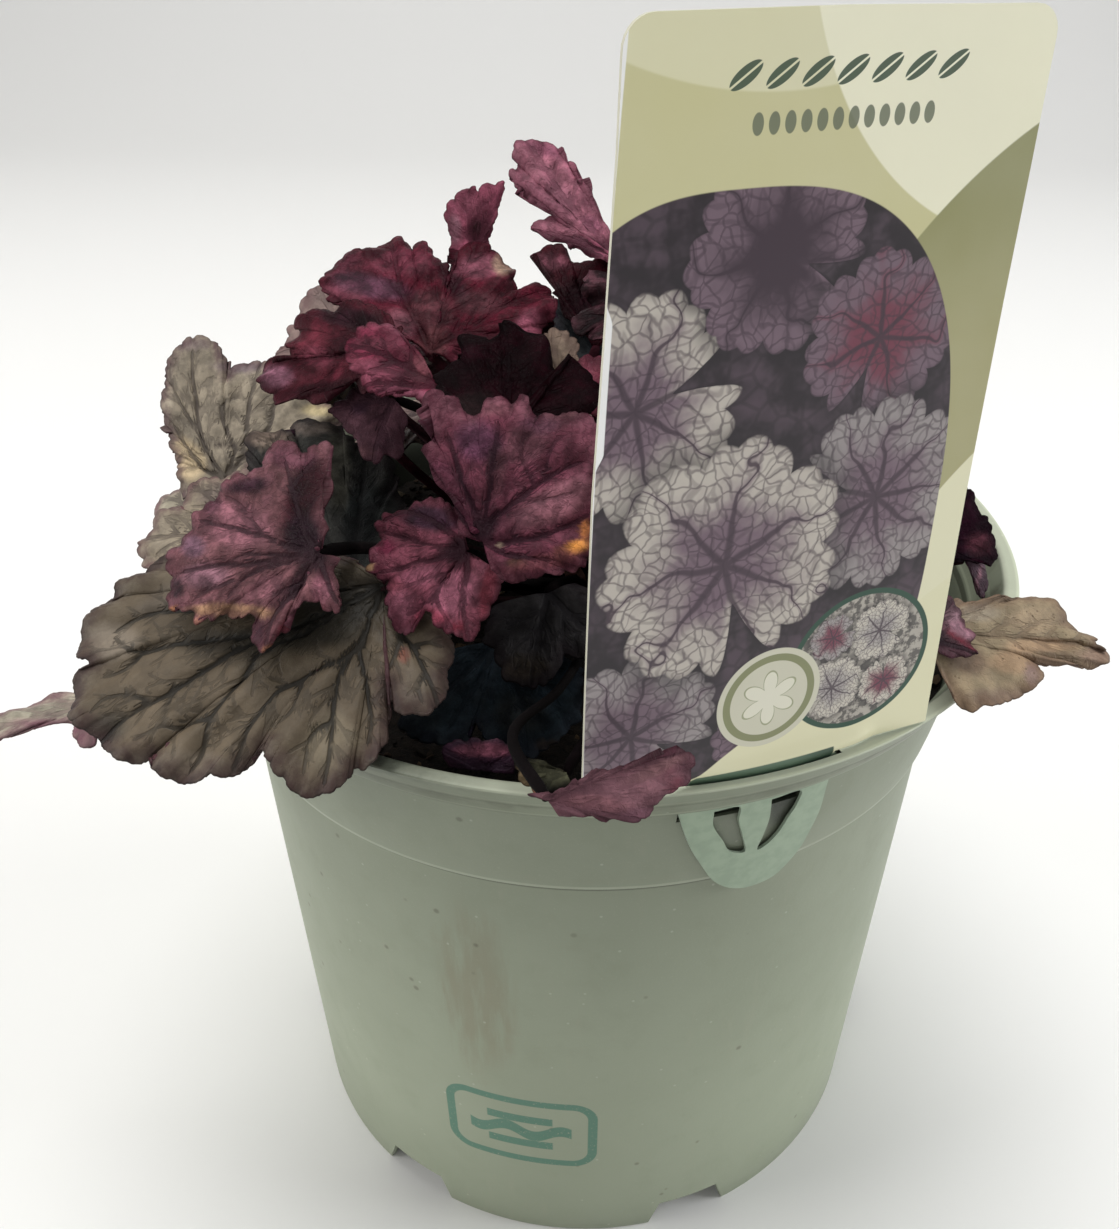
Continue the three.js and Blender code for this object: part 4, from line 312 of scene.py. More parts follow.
     '-0.2,3.1,195.6,-0.01 -4.7,4.8,196.6,-0.03 -9.3,6.4,197.6,-0.06 -11.8,7.5,198.3,-0.09 -12.7,8.6,199.4,-0.1 -11,9.4,200.6,-0.09 -7.7,8.8,200.4,-0.06 -9.3,9.9,201.4,-0.08 -11.4,11.4,202.8,-0.11 -13.6,13.1,204.3,-0.15 -14.6,14.3,205.5,-0.17 -16.9,16.2,207.3,-0.23 -15.4,16.6,208,-0.22 -16.6,18.4,209.9,-0.26 -16.3,19.6,211.3,-0.28 -13.6,19.9,212.1,-0.26 -10.9,18.8,211.2,-0.22 -8.8,17.3,210,-0.18 -6.5,16,208.9,-0.14 -4.5,14.1,207,-0.1 -2.1,11.4,204.4,-0.06 0.4,8.3,201.4,-0.03 2.7,5.7,198.9,-0.01',
     '5.7,-1.4,135.5 8.8,-1.6,147.2 9.6,-1.4,159.3 9,-0.8,171.5 7.3,0.3,183.5 4.6,2,195.2'),
    ('leaf_16_dark_ruffled', 'maroon', (0.1, 8.9, 176.8), (0, -0.53, 0.848),
     '-6.1,15.4,180.8,0.03 -10.5,20.5,183.8,0.08 -13.9,25,186.5,0.16 -15.2,27.7,188.1,0.2 -13.7,29.2,189,0.21 -9.7,29.9,189.5,0.2 -7.1,27.6,188.1,0.15 -3,27.4,188.1,0.14 0.6,28.4,188.6,0.15 5.6,28.5,188.7,0.16 8.8,24.9,186.5,0.12 8,18.7,182.8,0.06 5.2,12.1,178.8,0.01',
     '-2.9,4.3,135.8 -3.4,5.8,144.2 -3.2,5.1,152.8 -2.5,4.2,161.4 -1.5,4.4,169.9 0.1,8.9,176.8'),
    ('leaf_17_tan_scrap', 'tan_dark', (-6.5, -7.9, 175), (-0.058, -0.667, 0.743),
     '-11,-6.9,175.5,0.01 -15.1,-5.7,176.2,0.05 -15.6,-3.7,178,0.06 -11.8,-4.1,178,0.03 -9.5,-2.6,179.4,0.03 -10.3,-0.3,181.3,0.06 -8.3,1.3,182.9,0.08 -5.6,0.9,182.7,0.08 -3.5,-1.3,181,0.05 -2.9,-3.6,179.1,0.03 -3.9,-6,176.9,0.01',
     '-1.4,-2.9,136.5 -2.7,-4.6,144.1 -3.6,-5.4,151.8 -4.3,-5.9,159.6 -5.2,-6.5,167.4 -6.5,-7.9,175'),
    ('leaf_18_red_right', 'maroon', (1, -16.1, 172.7), (0.097, -0.551, 0.829),
     '-4.1,-15.8,173.5,0.01 -7.8,-14.1,175,0.02 -9.1,-11,177.2,0.04 -6.1,-9,178.2,0.04 -3.2,-6.2,179.7,0.05 0.9,-5.1,179.9,0.05 5.5,-5.8,178.9,0.05 7.6,-9.6,176.2,0.03 6.1,-14.2,173.4,0.01',
     '1.3,-5.4,135.6 1.1,-6.8,143.3 1.2,-8.2,151 1.5,-9.9,158.5 1.5,-12.4,165.9 1,-16.1,172.7'),
    ('leaf_19_under_centre', 'olive', (-7.5, -44, 152), (0, -0.5, 0.866),
     '-15.6,-46.1,150.7,0.04 -17.4,-50,148.3,0.08 -17.2,-53.5,146.2,0.12 -16,-56.9,144.2,0.17 -13.6,-58.4,143.3,0.18 -9.9,-59.1,142.8,0.18 -7.3,-57.6,143.8,0.14 -5.8,-54.7,145.6,0.09 -3.5,-54.3,145.8,0.09 -0.1,-55.4,145.1,0.13 3.6,-54.1,145.8,0.15 5.2,-49.9,148.3,0.12 1.4,-45.5,151,0.05 -2.9,-43.2,152.4,0.01',
     '1.9,-10.5,131 -1,-16,136.3 -3.3,-22.3,141.1 -5.1,-29.2,145.3 -6.3,-36.5,148.8 -7.5,-44,152'),
    ('leaf_20_low_dark', 'dark', (-16, -44, 141.9), (0, -0.375, 0.927),
     '-26.2,-46.9,140.6,0.1 -31.1,-53.3,137.6,0.28 -31.5,-57.9,135.5,0.4 -29.3,-61.7,133.8,0.46 -25.5,-62.7,133.5,0.43 -21.6,-61.1,134.4,0.32 -19.4,-59.4,135.2,0.25 -16.9,-62.4,133.8,0.34 -13.1,-63.6,133.2,0.39 -10.1,-64.9,132.5,0.46 -6.5,-63.4,133.1,0.45 -3.9,-60.8,134.3,0.41 -3,-56.8,136.1,0.31 -1.7,-52.9,137.8,0.25 -3.6,-47.4,140.3,0.14 -8.9,-44.2,141.8,0.04',
     '-1.8,-10.8,130.4 -4.1,-16.9,134.4 -7,-23.5,137 -10.1,-30.2,139 -13.2,-37,140.5 -16,-44,141.9'),
    ('leaf_21_rim_folded', 'purple_back', (-15.8, -77.5, 140), (-0.077, -0.88, 0.469),
     '-22,-76.9,140.2,-0.04 -22.6,-75.9,142.1,-0.06 -21.4,-75.1,143.8,-0.06 -18.6,-75.1,144.2,-0.04 -14.4,-75.4,144.3,-0.03 -12.1,-76,143.5,-0.03 -10.7,-76.9,142,-0.03 -11.8,-77.9,140,-0.02',
     '-4,-11.4,127.5 -8.3,-24.1,130.7 -12,-37.9,129.9 -15,-52,129.7 -16.8,-66,132 -15.8,-77.5,140'),
    ('leaf_22_rim_dark', 'dark', (-3.3, -85, 146.4), (-0.1, -0.565, 0.819),
     '-6.4,-84,146.8,-0.01 -8.7,-83.3,147,-0.03 -10.8,-82.9,147.1,-0.05 -11.2,-84.1,146.3,-0.05 -10,-85.8,145.2,-0.04 -7.9,-87.7,144.1,-0.03 -4.7,-87.9,144.3,-0.01 -1.2,-87.4,145.1,-0.01',
     '3.8,-11.5,127.5 5.1,-24.8,133.6 4,-40,136.9 2.2,-55.2,139.8 0,-70.3,142.6 -3.3,-85,146.4'),
    ('leaf_23_over_rim', 'pink', (-5.5, -97, 151.5), (0.077, -0.88, 0.469),
     '-8.1,-96.9,152.1,0 -6.5,-96.4,152.9,0 -3.9,-96.1,152.9,0 -2.4,-96,152.9,0.01 -1.5,-95.7,153.3,0.01 1.5,-95.1,153.9,0.03 5.7,-94,155,0.08 8.9,-93.2,155.7,0.13 12.3,-92.5,156.2,0.2 14,-92.7,155.5,0.23 14.5,-93.6,153.6,0.23 12.5,-95,151.6,0.18 10.3,-96,150.3,0.14 7.7,-97.7,147.7,0.11 4.3,-97.7,148.4,0.06 0.2,-97.6,149.5,0.02 -3.6,-97.3,150.6,0',
     '0.2,-12.1,127.5 -0,-27.9,135.7 -1.5,-45.7,140.7 -5.2,-63.3,145.2 -11.3,-80.4,149.5 -5.5,-97,151.5'),
    ('leaf_24_right_dark', 'maroon2', (62.4, -26, 150), (0.242, -0.664, 0.707),
     '61.9,-21,154.9,0.03 65.2,-17.2,157.2,0.08 67.7,-15.3,157.9,0.11 71.1,-13.8,158.1,0.16 73.5,-14.5,156.6,0.16 74.1,-16.9,154.2,0.13 75.6,-17.7,152.9,0.14 76.2,-20.2,150.5,0.12 76.8,-23.5,147.1,0.12 73.6,-24.3,147.7,0.07 68.4,-25.7,148.3,0.02 65.2,-28.7,146.5,0.02',
     '10.3,-4.4,130 21.1,-10.6,133.7 33.3,-15,135.1 46,-18.2,135.8 58,-21.5,139.1 62.4,-26,150'),
    ('leaf_25_right_narrow', 'purple_back', (70.7, -22, 147), (0.433, -0.75, 0.5),
     '74.7,-20.5,145.8,0.01 76.1,-21.8,142.6,0.01 75.2,-23.8,140.3,0.02 74.3,-24.3,140.3,0.02 72.6,-23.3,143.4,0.01',
     '11.9,-2.2,127.5 22.4,-6.1,134.3 33.6,-11.3,139 45.4,-16.2,142.3 57.8,-20,144.9 70.7,-22,147'),
    ('leaf_26_right_tan', 'tan', (54.6, -54, 151.5), (0.219, -0.38, 0.899),
     '57.7,-48.3,153,0.02 62.6,-45.9,152.8,0.07 69.4,-43.5,151.9,0.18 77.2,-40.8,150.7,0.38 80.6,-40.7,149.7,0.48 82.7,-43.4,148,0.51 85.9,-44.4,146.6,0.61 87.9,-46.1,145.2,0.67 86.8,-47.2,145.1,0.63 90.3,-47.6,143.8,0.76 90,-49.2,143.2,0.75 85.8,-51.6,143.6,0.58 79.4,-53.2,145,0.37 74.2,-54,146.2,0.23 75.3,-56.2,144.9,0.27 73.4,-59,144.2,0.24 68.1,-62.6,144.2,0.17 64.7,-64.4,144.3,0.15 63.5,-64.4,144.6,0.13 61.4,-65.9,144.5,0.13 58.9,-64.5,145.8,0.09 56.3,-62,147.6,0.05',
     '9.4,-7.4,127.9 19,-13.7,136 31.4,-20.8,139.6 42.9,-29.5,142.8 51.8,-40.6,146.5 54.6,-54,151.5'),
    ('leaf_27_right_lilac', 'pink', (52.9, -60, 153.9), (0.321, -0.557, 0.766),
     '54.5,-54.4,157.2,0.03 57.8,-52.4,157.2,0.05 60,-52.8,155.9,0.06 61.6,-54.6,154,0.06 62.7,-56.8,151.9,0.06 63.3,-58.7,150.3,0.07 59.8,-60,150.9,0.03 55.9,-60.7,152.1,0.01',
     '6.6,-9.5,129 18,-18.5,132.7 28.8,-28.5,136 38.7,-39.2,139.5 47.5,-50.3,144.4 52.9,-60,153.9'),
    ('leaf_28_grey_behind', 'pale2', (-45.1, -4, 182.6), (-0.196, -0.539, 0.819),
     '-49,-6,180.4,0 -54.5,-7.8,177.9,-0 -59.2,-6.4,177.6,0 -60.5,-4.4,178.6,-0 -58.2,-3.2,180,0 -57.7,-1.1,181.5,0 -56,0.9,183.2,0 -56.3,4.1,185.2,0 -54.9,6.7,187.3,-0 -52.3,7.7,188.6,0 -47.4,4,187.3,0',
     '-8.5,0.4,133.6 -16.6,1,143.2 -24.9,-0.3,152.7 -32.9,-2.9,162.1 -40.5,-6,171.8 -45.1,-4,182.6'),
    ('leaf_29_teal_dark', 'dark', (0.9, 8.9, 173.7), (0, -0.5, 0.866),
     '-4,7.1,172.6,-0 -7.9,13.1,176.1,-0 -8.7,19.8,180,0 -7,23.1,181.9,0 -2.3,22.3,181.4,0 2,21,180.7,0 5.3,15.6,177.6,-0 4.5,10.7,174.7,-0',
     '0.6,3.4,136.5 0.3,4.6,143.9 0.2,5.4,151.4 0.2,6.2,158.9 0.4,7.2,166.4 0.9,8.9,173.7'),
    ('leaf_30_back_skirt', 'silver', (38, 12, 140), (0.26, -0.034, 0.965),
     '23.4,-2.1,142.8,1.56 27.8,-6,139.7,2.4 32.9,-5.8,138.1,2.4 35.5,-13,136.5,3.12 40.7,-14.2,136.5,2.48 45.5,-11.9,137.2,1.48 50.1,-7.5,137.1,0.89 58,-10.1,134,1.72 62.6,-6.6,131.3,2.59 63.9,-0.6,130.1,3.03 62.6,7.4,130.5,2.89 68.4,14.9,128,3.85 68.8,21.5,127.6,4.2 65.2,26.9,129.1,3.94 57.9,29.6,132.8,2.85 58,36.7,133.5,2.91 54.3,41.7,136.3,2.24 48.4,42.7,139.2,1.53 39.9,34.9,140.8,1.12 32.3,37.5,140.3,2.61 26.8,37.3,139.9,3.56 23,33.7,140.7,3.54 24.1,25.8,142,2.25 22.6,23.1,143.2,1.82 20.2,17.7,144.7,1.28',
     '10.8,3.4,129.7 16.3,4.5,132 21.7,6.3,134.3 27,8.3,136.3 32.4,10.3,138.3 38,12,140'),
    ('leaf_31_back_skirt', 'purple', (27, 32, 150.1), (0.096, 0.31, 0.946),
     '25,13.7,156.1,1.25 31.1,13.9,155.5,1.22 35.9,14.5,154.2,1.53 43.3,10.6,152.6,2.94 47.9,12.5,149.8,3.85 49.7,17.2,147.7,3.93 50,23.7,147,3.11 58.7,26.8,145.3,3.48 60.6,33.4,145,2.61 57.9,39.5,144.6,1.86 50.3,44.3,143.6,1.68 52,52.5,138,3.36 48,57.6,134.9,4.34 41.3,59.6,134.7,4.37 32.1,56.6,137.9,3.34 27,60.9,136,4.06 20.6,62.1,135.8,4.39 15.2,59.3,138,3.92 12.8,50.5,144.1,2.07 4.4,48.7,147.2,1.55 0.3,45,148.9,1.59 -0.3,39.3,149.8,2.01 7.1,33.4,150.2,1.85 7.8,27.8,150.5,2.56 10,22.4,152.3,2.39',
     '6.5,7.7,131.8 10.3,12.2,136.2 14.1,17.5,139.6 18.1,22.8,142.8 22.4,27.7,146.2 27,32,150.1'),
    ('leaf_32_back_skirt', 'silver', (-2, 41, 144.9), (0.11, 0.286, 0.952),
     '10.1,24.2,148.6,1.29 14.8,28.5,147,1.16 15.9,33.2,145.5,1.04 25.7,34.9,143.6,1.72 27.6,39.9,141.3,2.06 25.5,44.8,139,2.46 21.1,49.4,136.8,2.95 23.1,54.9,133.2,4.07 20.6,60.5,131.6,4.26 15.2,63.7,133.2,3.26 7,64.5,137.1,1.48 1.4,71.7,136.8,1.23 -4.9,73.4,136.4,1.63 -10.9,70.5,136.5,2.23 -15.7,63.9,137.8,2.54 -23.8,62.1,138.1,3.32 -29,58.7,139.4,3.57 -30.5,53,141.5,3.37 -26.8,45.9,144,2.63 -27.6,40.6,146.2,2.42 -28.1,35.9,148.6,2.02 -25.2,32.1,150.9,1.25 -18.2,30.8,151.2,0.57 -15.8,27.6,151.6,0.72 -10.8,23.4,150.1,1.75',
     '-0.5,10.7,130.8 -0.2,16.5,134.2 -0.7,22.6,137 -1.4,28.7,139.7 -1.9,34.9,142.3 -2,41,144.9'),
    ('leaf_33_back_skirt', 'silver2', (-32, 32, 151.8), (-0.298, 0.128, 0.946),
     '-13.5,29.9,157.7,1.27 -13.6,35.9,156.9,1.23 -14.3,39.7,155.9,1.36 -10.5,46.7,154.6,2.52 -12,51.3,151.7,3.4 -16.4,53.3,149.3,3.72 -22.4,52.6,148.2,3.13 -28.2,59.6,146.6,2.94 -34,61.2,146.4,2.16 -39.4,58.7,146.3,1.48 -42.8,54.3,145.7,1.34 -50.2,57.5,141.1,2.69 -55.4,54,137.9,3.74 -57.6,47.7,137.3,4 -54.1,38.7,140.9,2.95 -61.1,31.1,138.2,4.05 -62.1,24.7,138.2,4.37 -59.3,19.3,140.6,3.93 -49.9,19.3,146.2,2.14 -48.5,14.8,148.4,1.65 -46.1,11,150.7,1.26 -41.6,10,152.4,1.11 -35.9,13.8,152.9,1.15 -32.9,11.5,152.8,1.89 -26.3,12.2,153,2.75',
     '-7.4,7.2,131.5 -12.2,12.7,135.1 -16.9,18.2,138.8 -21.6,23.5,142.7 -26.6,28.3,147 -32,32,151.8'),
    ('leaf_35_side_mid', 'purple', (24, -18, 168.2), (0.219, -0.366, 0.905),
     '7.6,-15.7,171.3,1.79 7.7,-21.1,170.5,1.16 8.2,-24.5,169.4,1 4.9,-27.8,168.8,1.32 5.9,-31.6,166.9,1.42 9.5,-33.6,165.3,1.31 14.3,-35.8,163.2,1.31 18,-41.7,158.4,2.35 22.4,-42.6,155.2,3.2 27.2,-40.3,154.1,3.52 31.6,-35.6,155.7,2.94 39.6,-36.8,154.2,2.84 44.9,-34.7,155.8,2.02 47.4,-30.1,158.5,1.26 45.9,-23.8,161.4,1.01 49.8,-18.6,161,1.9 51,-13.1,161.3,2.71 48.7,-8.5,163.1,2.9 41.7,-6.7,166.3,2.22 39.5,-0.3,169,2.55 36.7,3.1,170.9,2.71 32.2,3.6,172.7,2.37 27.4,-2.6,172.9,1.28 23.3,-1.8,175.4,0.81 18.1,-3.4,176.5,0.6',
     '4.9,-5,134.8 8.6,-7.9,141.5 12.5,-11,147.9 16.5,-13.9,154.4 20.4,-16.4,161 24,-18,168.2'),
    ('leaf_36_side_mid', 'maroon2', (30, 0, 176.8), (0.463, 0.121, 0.878),
     '16.2,-8,185.7,0.85 19.4,-12.7,184.5,0.92 23.2,-14.8,181.7,1.32 25.2,-24.2,179.4,2.88 29.1,-26.2,177.1,3.2 33.8,-24.5,175.6,2.58 37.8,-19.9,175.1,1.42 44.2,-21.5,173.6,0.95 48.7,-19.4,171.6,0.75 50.1,-14.7,169.4,1.01 49.4,-8.8,167.5,1.51 55.5,-5,162,2.67 56.6,0.7,160,3.06 54.3,6.3,160.5,2.93 48.1,10.4,163.7,2.39 46.4,15.5,163.7,2.55 44.1,20.1,164.7,2.48 40.1,22.2,167.8,1.8 34.7,20,172.7,0.74 29.1,22.5,175.8,0.59 24.6,23.1,177,1.19 20.6,20.5,177.6,1.9 20.2,14.1,178.1,1.84 17.4,10.6,179.9,1.89 15.8,6.4,182.7,1.31',
     '8,1.1,133.9 12.5,0.5,144 14.7,-0.1,154.8 16.3,-0.5,165.7 19.8,-0.6,176.1 30,0,176.8'),
    ('leaf_37_side_mid', 'silver2', (22, 20, 168.2), (0.409, 0.201, 0.89),
     '17.4,1.6,172.2,2.17 23.5,1,171.1,1.46 27.1,2.4,169.6,1.18 31.9,-1.1,167.9,1.62 35.9,-0,165.7,1.75 38.2,3.8,163.9,1.62 38.9,8.9,162.4,1.5 45.8,10.1,157,2.79 47.2,14.7,153.4,3.73 45.4,20,152.1,4.03 41.5,25.6,153.6,3.39 43.7,33.5,151.5,3.41 42.2,39.6,153,2.56 37.7,42.9,156,1.7 30.3,41.7,159.9,1.28 23.8,47.6,159.1,2.62 18,49.3,159.7,3.46 13,47.2,162.1,3.52 11.4,39.7,165.9,2.54 7.4,38.6,167.7,2.7 3.5,36.6,169.7,2.9 2.3,32.4,171.7,2.62 5.3,26.5,173.2,1.64 6,22.7,175,1.03 6.8,17.5,176.7,0.63',
     '6.3,4.4,134.3 9.4,6.8,141.5 12.5,9.1,148.7 15.7,11.7,155.7 18.9,15.2,162.4 22,20,168.2'),
    ('leaf_38_back_mid', 'purple', (4.2, 34.7, 173.1), (-0.055, 0.475, 0.878),
     '9.8,20.3,181.6,0.88 14.7,22.7,180.7,0.84 17.9,26.2,179,0.79 24.2,26.7,178.9,1.2 26.9,29.7,176.6,1.67 26.5,33.1,173.5,2.13 24.7,37.5,170,2.48 28.4,43.8,166.5,2.99 26.9,49.1,165.2,2.3 22.3,52.5,165.3,1.26 15.4,53.1,165.6,0.57 12.7,58.9,161.9,1.04 7.7,60.4,159.3,1.79 2.2,58.6,158.6,2.29 -3.3,54.4,160,2.32 -11,51.7,160.7,2.5 -15.7,49.4,161.4,2.69 -17.7,45.2,163.8,2.51 -16.1,40.5,167.4,1.85 -19.9,37.5,169.8,1.56 -21.6,33.9,173,1.01 -19.8,30.2,175.9,0.6 -11.8,28.5,176.6,0.53 -10,24.2,177.3,1.28 -5.8,20.2,178,2.09',
     '-0.7,7,134.8 -0.1,9.7,145.4 0.5,12.8,155.9 1.4,17.2,165.9 2.6,24.4,173.9 4.2,34.7,173.1'),
    ('leaf_39_back_mid', 'silver', (-20, 24, 168.5), (-0.11, 0.412, 0.905),
     '-5.3,17.7,173.2,0.99 -3.7,22.2,171.2,1.05 -2.6,25.4,169.1,1.46 2.6,29.8,165.4,2.86 2.1,33.6,162.4,3.48 -1.4,36.5,161.1,3.19 -6.6,38.3,161.5,2.19 -5.3,46.1,158.5,2.48 -9.8,49.9,157.9,1.83 -15.6,49.8,157.8,1.47 -22.1,44.7,158.6,1.5 -27.8,48.8,153.8,2.9 -33.7,47.4,152.3,3.66 -37.8,43.1,153.6,3.63 -39.4,35.6,157.7,2.91 -43.9,32.8,157.8,3.35 -47.2,28.5,159.1,3.58 -46.9,23.7,162.1,3.1 -41.5,19.1,167.4,1.64 -41.3,13.4,171.5,1.09 -39.8,9.2,173.4,1.26 -35.5,6.6,173.9,1.75 -28.1,9.7,172.5,1.68 -23.4,6.6,173.1,2.41 -17.9,6.9,174.5,2',
     '-4.4,7,133.8 -7.1,10.3,141 -10.5,12.9,148.2 -14.2,15.6,155.3 -17.6,19.2,162.1 -20,24,168.5'),
    ('leaf_40_back_mid', 'purple', (-34.6, 12.9, 177.6), (-0.416, 0.04, 0.909),
     '-22.1,14.8,183.5,0.69 -22.7,18.9,181.9,1.19 -23.9,22.3,180.3,1.66 -23.9,29.1,179.6,2.1 -27,31.8,179.4,1.59 -31.2,31.9,179,0.84 -35.1,30.8,178,0.42 -37.7,35.7,176.8,0.62 -41.6,35.8,174.1,1.07 -44.5,32.8,171.8,1.54 -47.3,27.5,169.8,1.83 -54.2,23.7,166.1,2.4 -56.9,19.5,164.8,2.6 -56.5,14.5,165.3,2.49 -51.4,10.4,168.7,1.71 -54.8,3.7,168.6,1.51 -54.3,-1,170.3,0.96 -51.1,-3.9,172.7,0.57 -44.1,-1.3,175,0.51 -41,-4.2,175.2,1.18 -37.6,-6.2,175.4,1.91 -34,-5.6,176.3,2.15 -31.7,-0.7,177.9,1.52 -29.4,-0.2,179.6,1.26 -26.3,2.2,181.9,0.8',
     '-7.2,4.2,133.7 -11.7,5,144.2 -15.4,4.2,155.1 -19.7,3.7,165.7 -26.3,5.9,174.7 -34.6,12.9,177.6'),
    ('leaf_41_crown_top', 'purple', (12, -10, 192.2), (0.195, -0.334, 0.922),
     '-1.3,-5.9,196.7,0.8 -2.5,-9.8,194.4,1.33 -1.3,-13,192.2,1.61 -4,-17.8,190.7,2.03 -2.7,-21.3,190.2,1.6 0.5,-23.3,190.2,0.9 3.7,-25.7,189.5,0.51 7.8,-29.7,186.6,0.95 11.5,-30.5,184.4,1.53 15.3,-28.7,183.5,1.82 18.7,-26.7,183.2,1.92 22.3,-27.6,181.7,2.29 26.5,-25.9,181.2,2.47 28.9,-21.9,182.1,2.37 29,-16,184.8,1.89 34.4,-10.5,187,1.52 35.9,-6.6,189.3,1.02 34,-2.9,191.6,0.68 26.4,-2.3,192.8,0.58 26.6,2.1,193.2,1.29 24.5,5.6,193.3,2.05 20.8,6.8,193.9,2.3 15.9,3.2,194.5,1.57 12.2,3.1,196.3,1.1 8.2,2,197.5,0.75',
     '2.2,-1.6,136.7 4,-2.9,147.9 5.8,-3.7,159.2 7.6,-4.6,170.5 9.6,-6.4,181.6 12,-10,192.2'),
    ('leaf_42_crown_top', 'maroon', (15.1, 7.5, 202.9), (0.336, 0.248, 0.909),
     '8.9,-1.6,206.6,1.22 12.1,-3.3,205.9,1.23 14.7,-4.1,205.9,0.88 19.1,-8.2,206.9,0.51 22.5,-8.2,206.1,0.33 24.6,-6.2,204.3,0.47 25,-2.9,202.5,0.71 30.3,-3.8,199.9,1.39 32.6,-1.3,197.9,1.69 32.6,2.4,196.8,1.66 30.2,6.6,196.6,1.45 31.5,11,194.7,1.71 31.1,14.7,194,1.69 28.6,17.6,194.9,1.25 24.7,18.7,197.1,0.59 25.1,22.9,196.6,0.46 22.4,25.8,197.2,0.35 18.5,25.9,197.8,0.66 13.6,21.2,199.2,1.13 9,21.3,199.7,1.71 6.2,20.9,201,1.7 4.7,18.8,202.9,1.29 6.2,14.6,204.3,0.7 5.2,13.5,205.2,0.6 4.3,10.3,206.7,0.51',
     '4.1,1.9,136.1 5,3.1,149.8 5.6,4.3,163.4 6.8,5.4,177.1 9.6,6.5,190.4 15.1,7.5,202.9'),
    ('leaf_43_crown_top', 'purple', (13, 22.1, 192.6), (0.12, 0.432, 0.894),
     '18.8,11.1,196.3,1.15 21.9,12.7,194.1,1.59 23.6,15.1,193,1.43 27.5,14.9,192.7,1.6 29.4,17.8,192.2,1.11 29.1,21.1,191.7,0.6 28.4,25,190,0.56 29.4,29.5,186.4,1.3 28,32.4,184.2,1.79 24.6,34.2,183.5,1.88 20.1,34.9,183.9,1.69 18.5,39.5,181.1,2.29 14.5,41.3,180.5,2.49 10.4,40.5,181.8,2.28 7,36.1,185.8,1.32 2.5,36.2,187.7,0.85 -0.8,35.2,189.3,0.62 -2.3,32,190.7,0.7 -1.5,27.4,191.6,1.06 -4.3,25,191.8,1.78 -5.5,21.6,192.6,2.29 -4.2,18.7,194,2.15 2.1,17.6,195.3,1.13 3.7,14.5,197.4,0.82 6.9,12.2,198.3,0.7',
     '3,5.9,135 5.1,7.8,146.9 6.8,10.4,158.6 8.5,13.5,170.3 10.4,17.3,181.7 13,22.1,192.6'),
    ('leaf_44_front_low', 'silver2', (22, -34, 146.7), (0.114, -0.214, 0.97),
     '10.5,-27.5,147.7,1.63 9.1,-31.4,147.6,1.34 9.4,-34.3,148,0.8 4.8,-37.2,148.5,0.78 4.8,-40.8,148.2,0.62 7.1,-43.3,147,0.74 10.2,-45.6,145.2,1.14 10.4,-50.8,142.9,1.92 13.4,-53.5,141.5,2.23 17.6,-53.5,141,2.15 22.5,-50.9,141.3,1.84 27.3,-55.8,138.7,2.65 32.1,-55.4,138.4,2.64 35.6,-52.2,139.9,2 35.8,-45.1,143.2,0.79 42.3,-42.4,143.5,0.8 44.6,-38.4,143.1,1.35 43.9,-33.7,142.7,2.01 38.4,-30.2,143.6,1.99 38,-27.5,143.8,2.19 37.4,-24.1,144.8,2.16 34.8,-22.2,146.5,1.66 29.2,-23.7,147.9,0.84 27.4,-22.1,148.7,0.75 23.5,-21.2,149.5,0.7',
     '4.8,-8.5,132.2 8.4,-14.1,134 12,-19.6,136.1 15.6,-24.9,138.7 18.9,-29.7,142.2 22,-34,146.7'),
    ('leaf_45_front_low', 'purple', (37.4, -19.9, 154.7), (0.23, -0.229, 0.946),
     '23.2,-19.9,157.1,1.33 24,-24.4,157,0.81 25.8,-27.6,156.1,0.64 23.7,-32.3,155.5,0.88 25.5,-35.4,154.3,0.94 29,-36.3,153.3,0.87 33.8,-36,151.8,0.94 38.6,-40,148,1.98 42.5,-39.9,146,2.58 45.9,-37.3,145.7,2.53 48.1,-33,147.5,1.77 56.3,-32.2,147.7,1.14 59.9,-29,148.7,0.69 60.1,-24.2,149.7,0.67 55.4,-19.8,150.9,0.82 57.5,-14.8,150.4,1.58 57.2,-10.5,150.7,2.01 54.4,-7.5,152,1.99 48.7,-7.6,153.8,1.54 48,-3.8,154.6,1.8 45.3,-1.2,155.9,1.9 41.5,-1.3,157.2,1.63 37.5,-6.5,158,0.79 34.8,-6.8,159.4,0.43 30.8,-8.6,160.1,0.33',
     '8.1,-4.2,133 13.5,-7.3,137.9 19,-10.9,142.5 24.6,-14.6,146.7 30.7,-17.8,150.8 37.4,-19.9,154.7'),
    ('leaf_46_hollow', 'maroon2', (-13.8, -48, 182.6), (0.071, -0.401, 0.914),
     '-18.6,-48.5,182.7,0.02 -22.4,-46.5,183.8,0.06 -24.8,-42.7,185.5,0.13 -25.6,-38.6,187.2,0.21 -24.9,-34,189,0.3 -22,-32.7,189.3,0.29 -21,-29.1,190.6,0.39 -18.2,-30.5,190,0.32 -15.6,-30.9,189.6,0.29 -13.7,-32.5,188.9,0.23 -13.2,-35.1,187.9,0.16 -9.8,-36,187.3,0.15 -6.9,-36.8,186.6,0.16 -5.2,-38.9,185.6,0.14 -5.4,-42.2,184.3,0.09 -7.2,-46.1,182.9,0.04',
     '7.3,-6.8,132 7.3,-14.5,143.8 3.4,-23.9,153.6 -2.8,-33.4,162.1 -9.5,-42.3,170.7 -13.8,-48,182.6'),
    ('leaf_47_under_fold', 'olive', (-43.4, 2, 161), (-0.194, -0.24, 0.951),
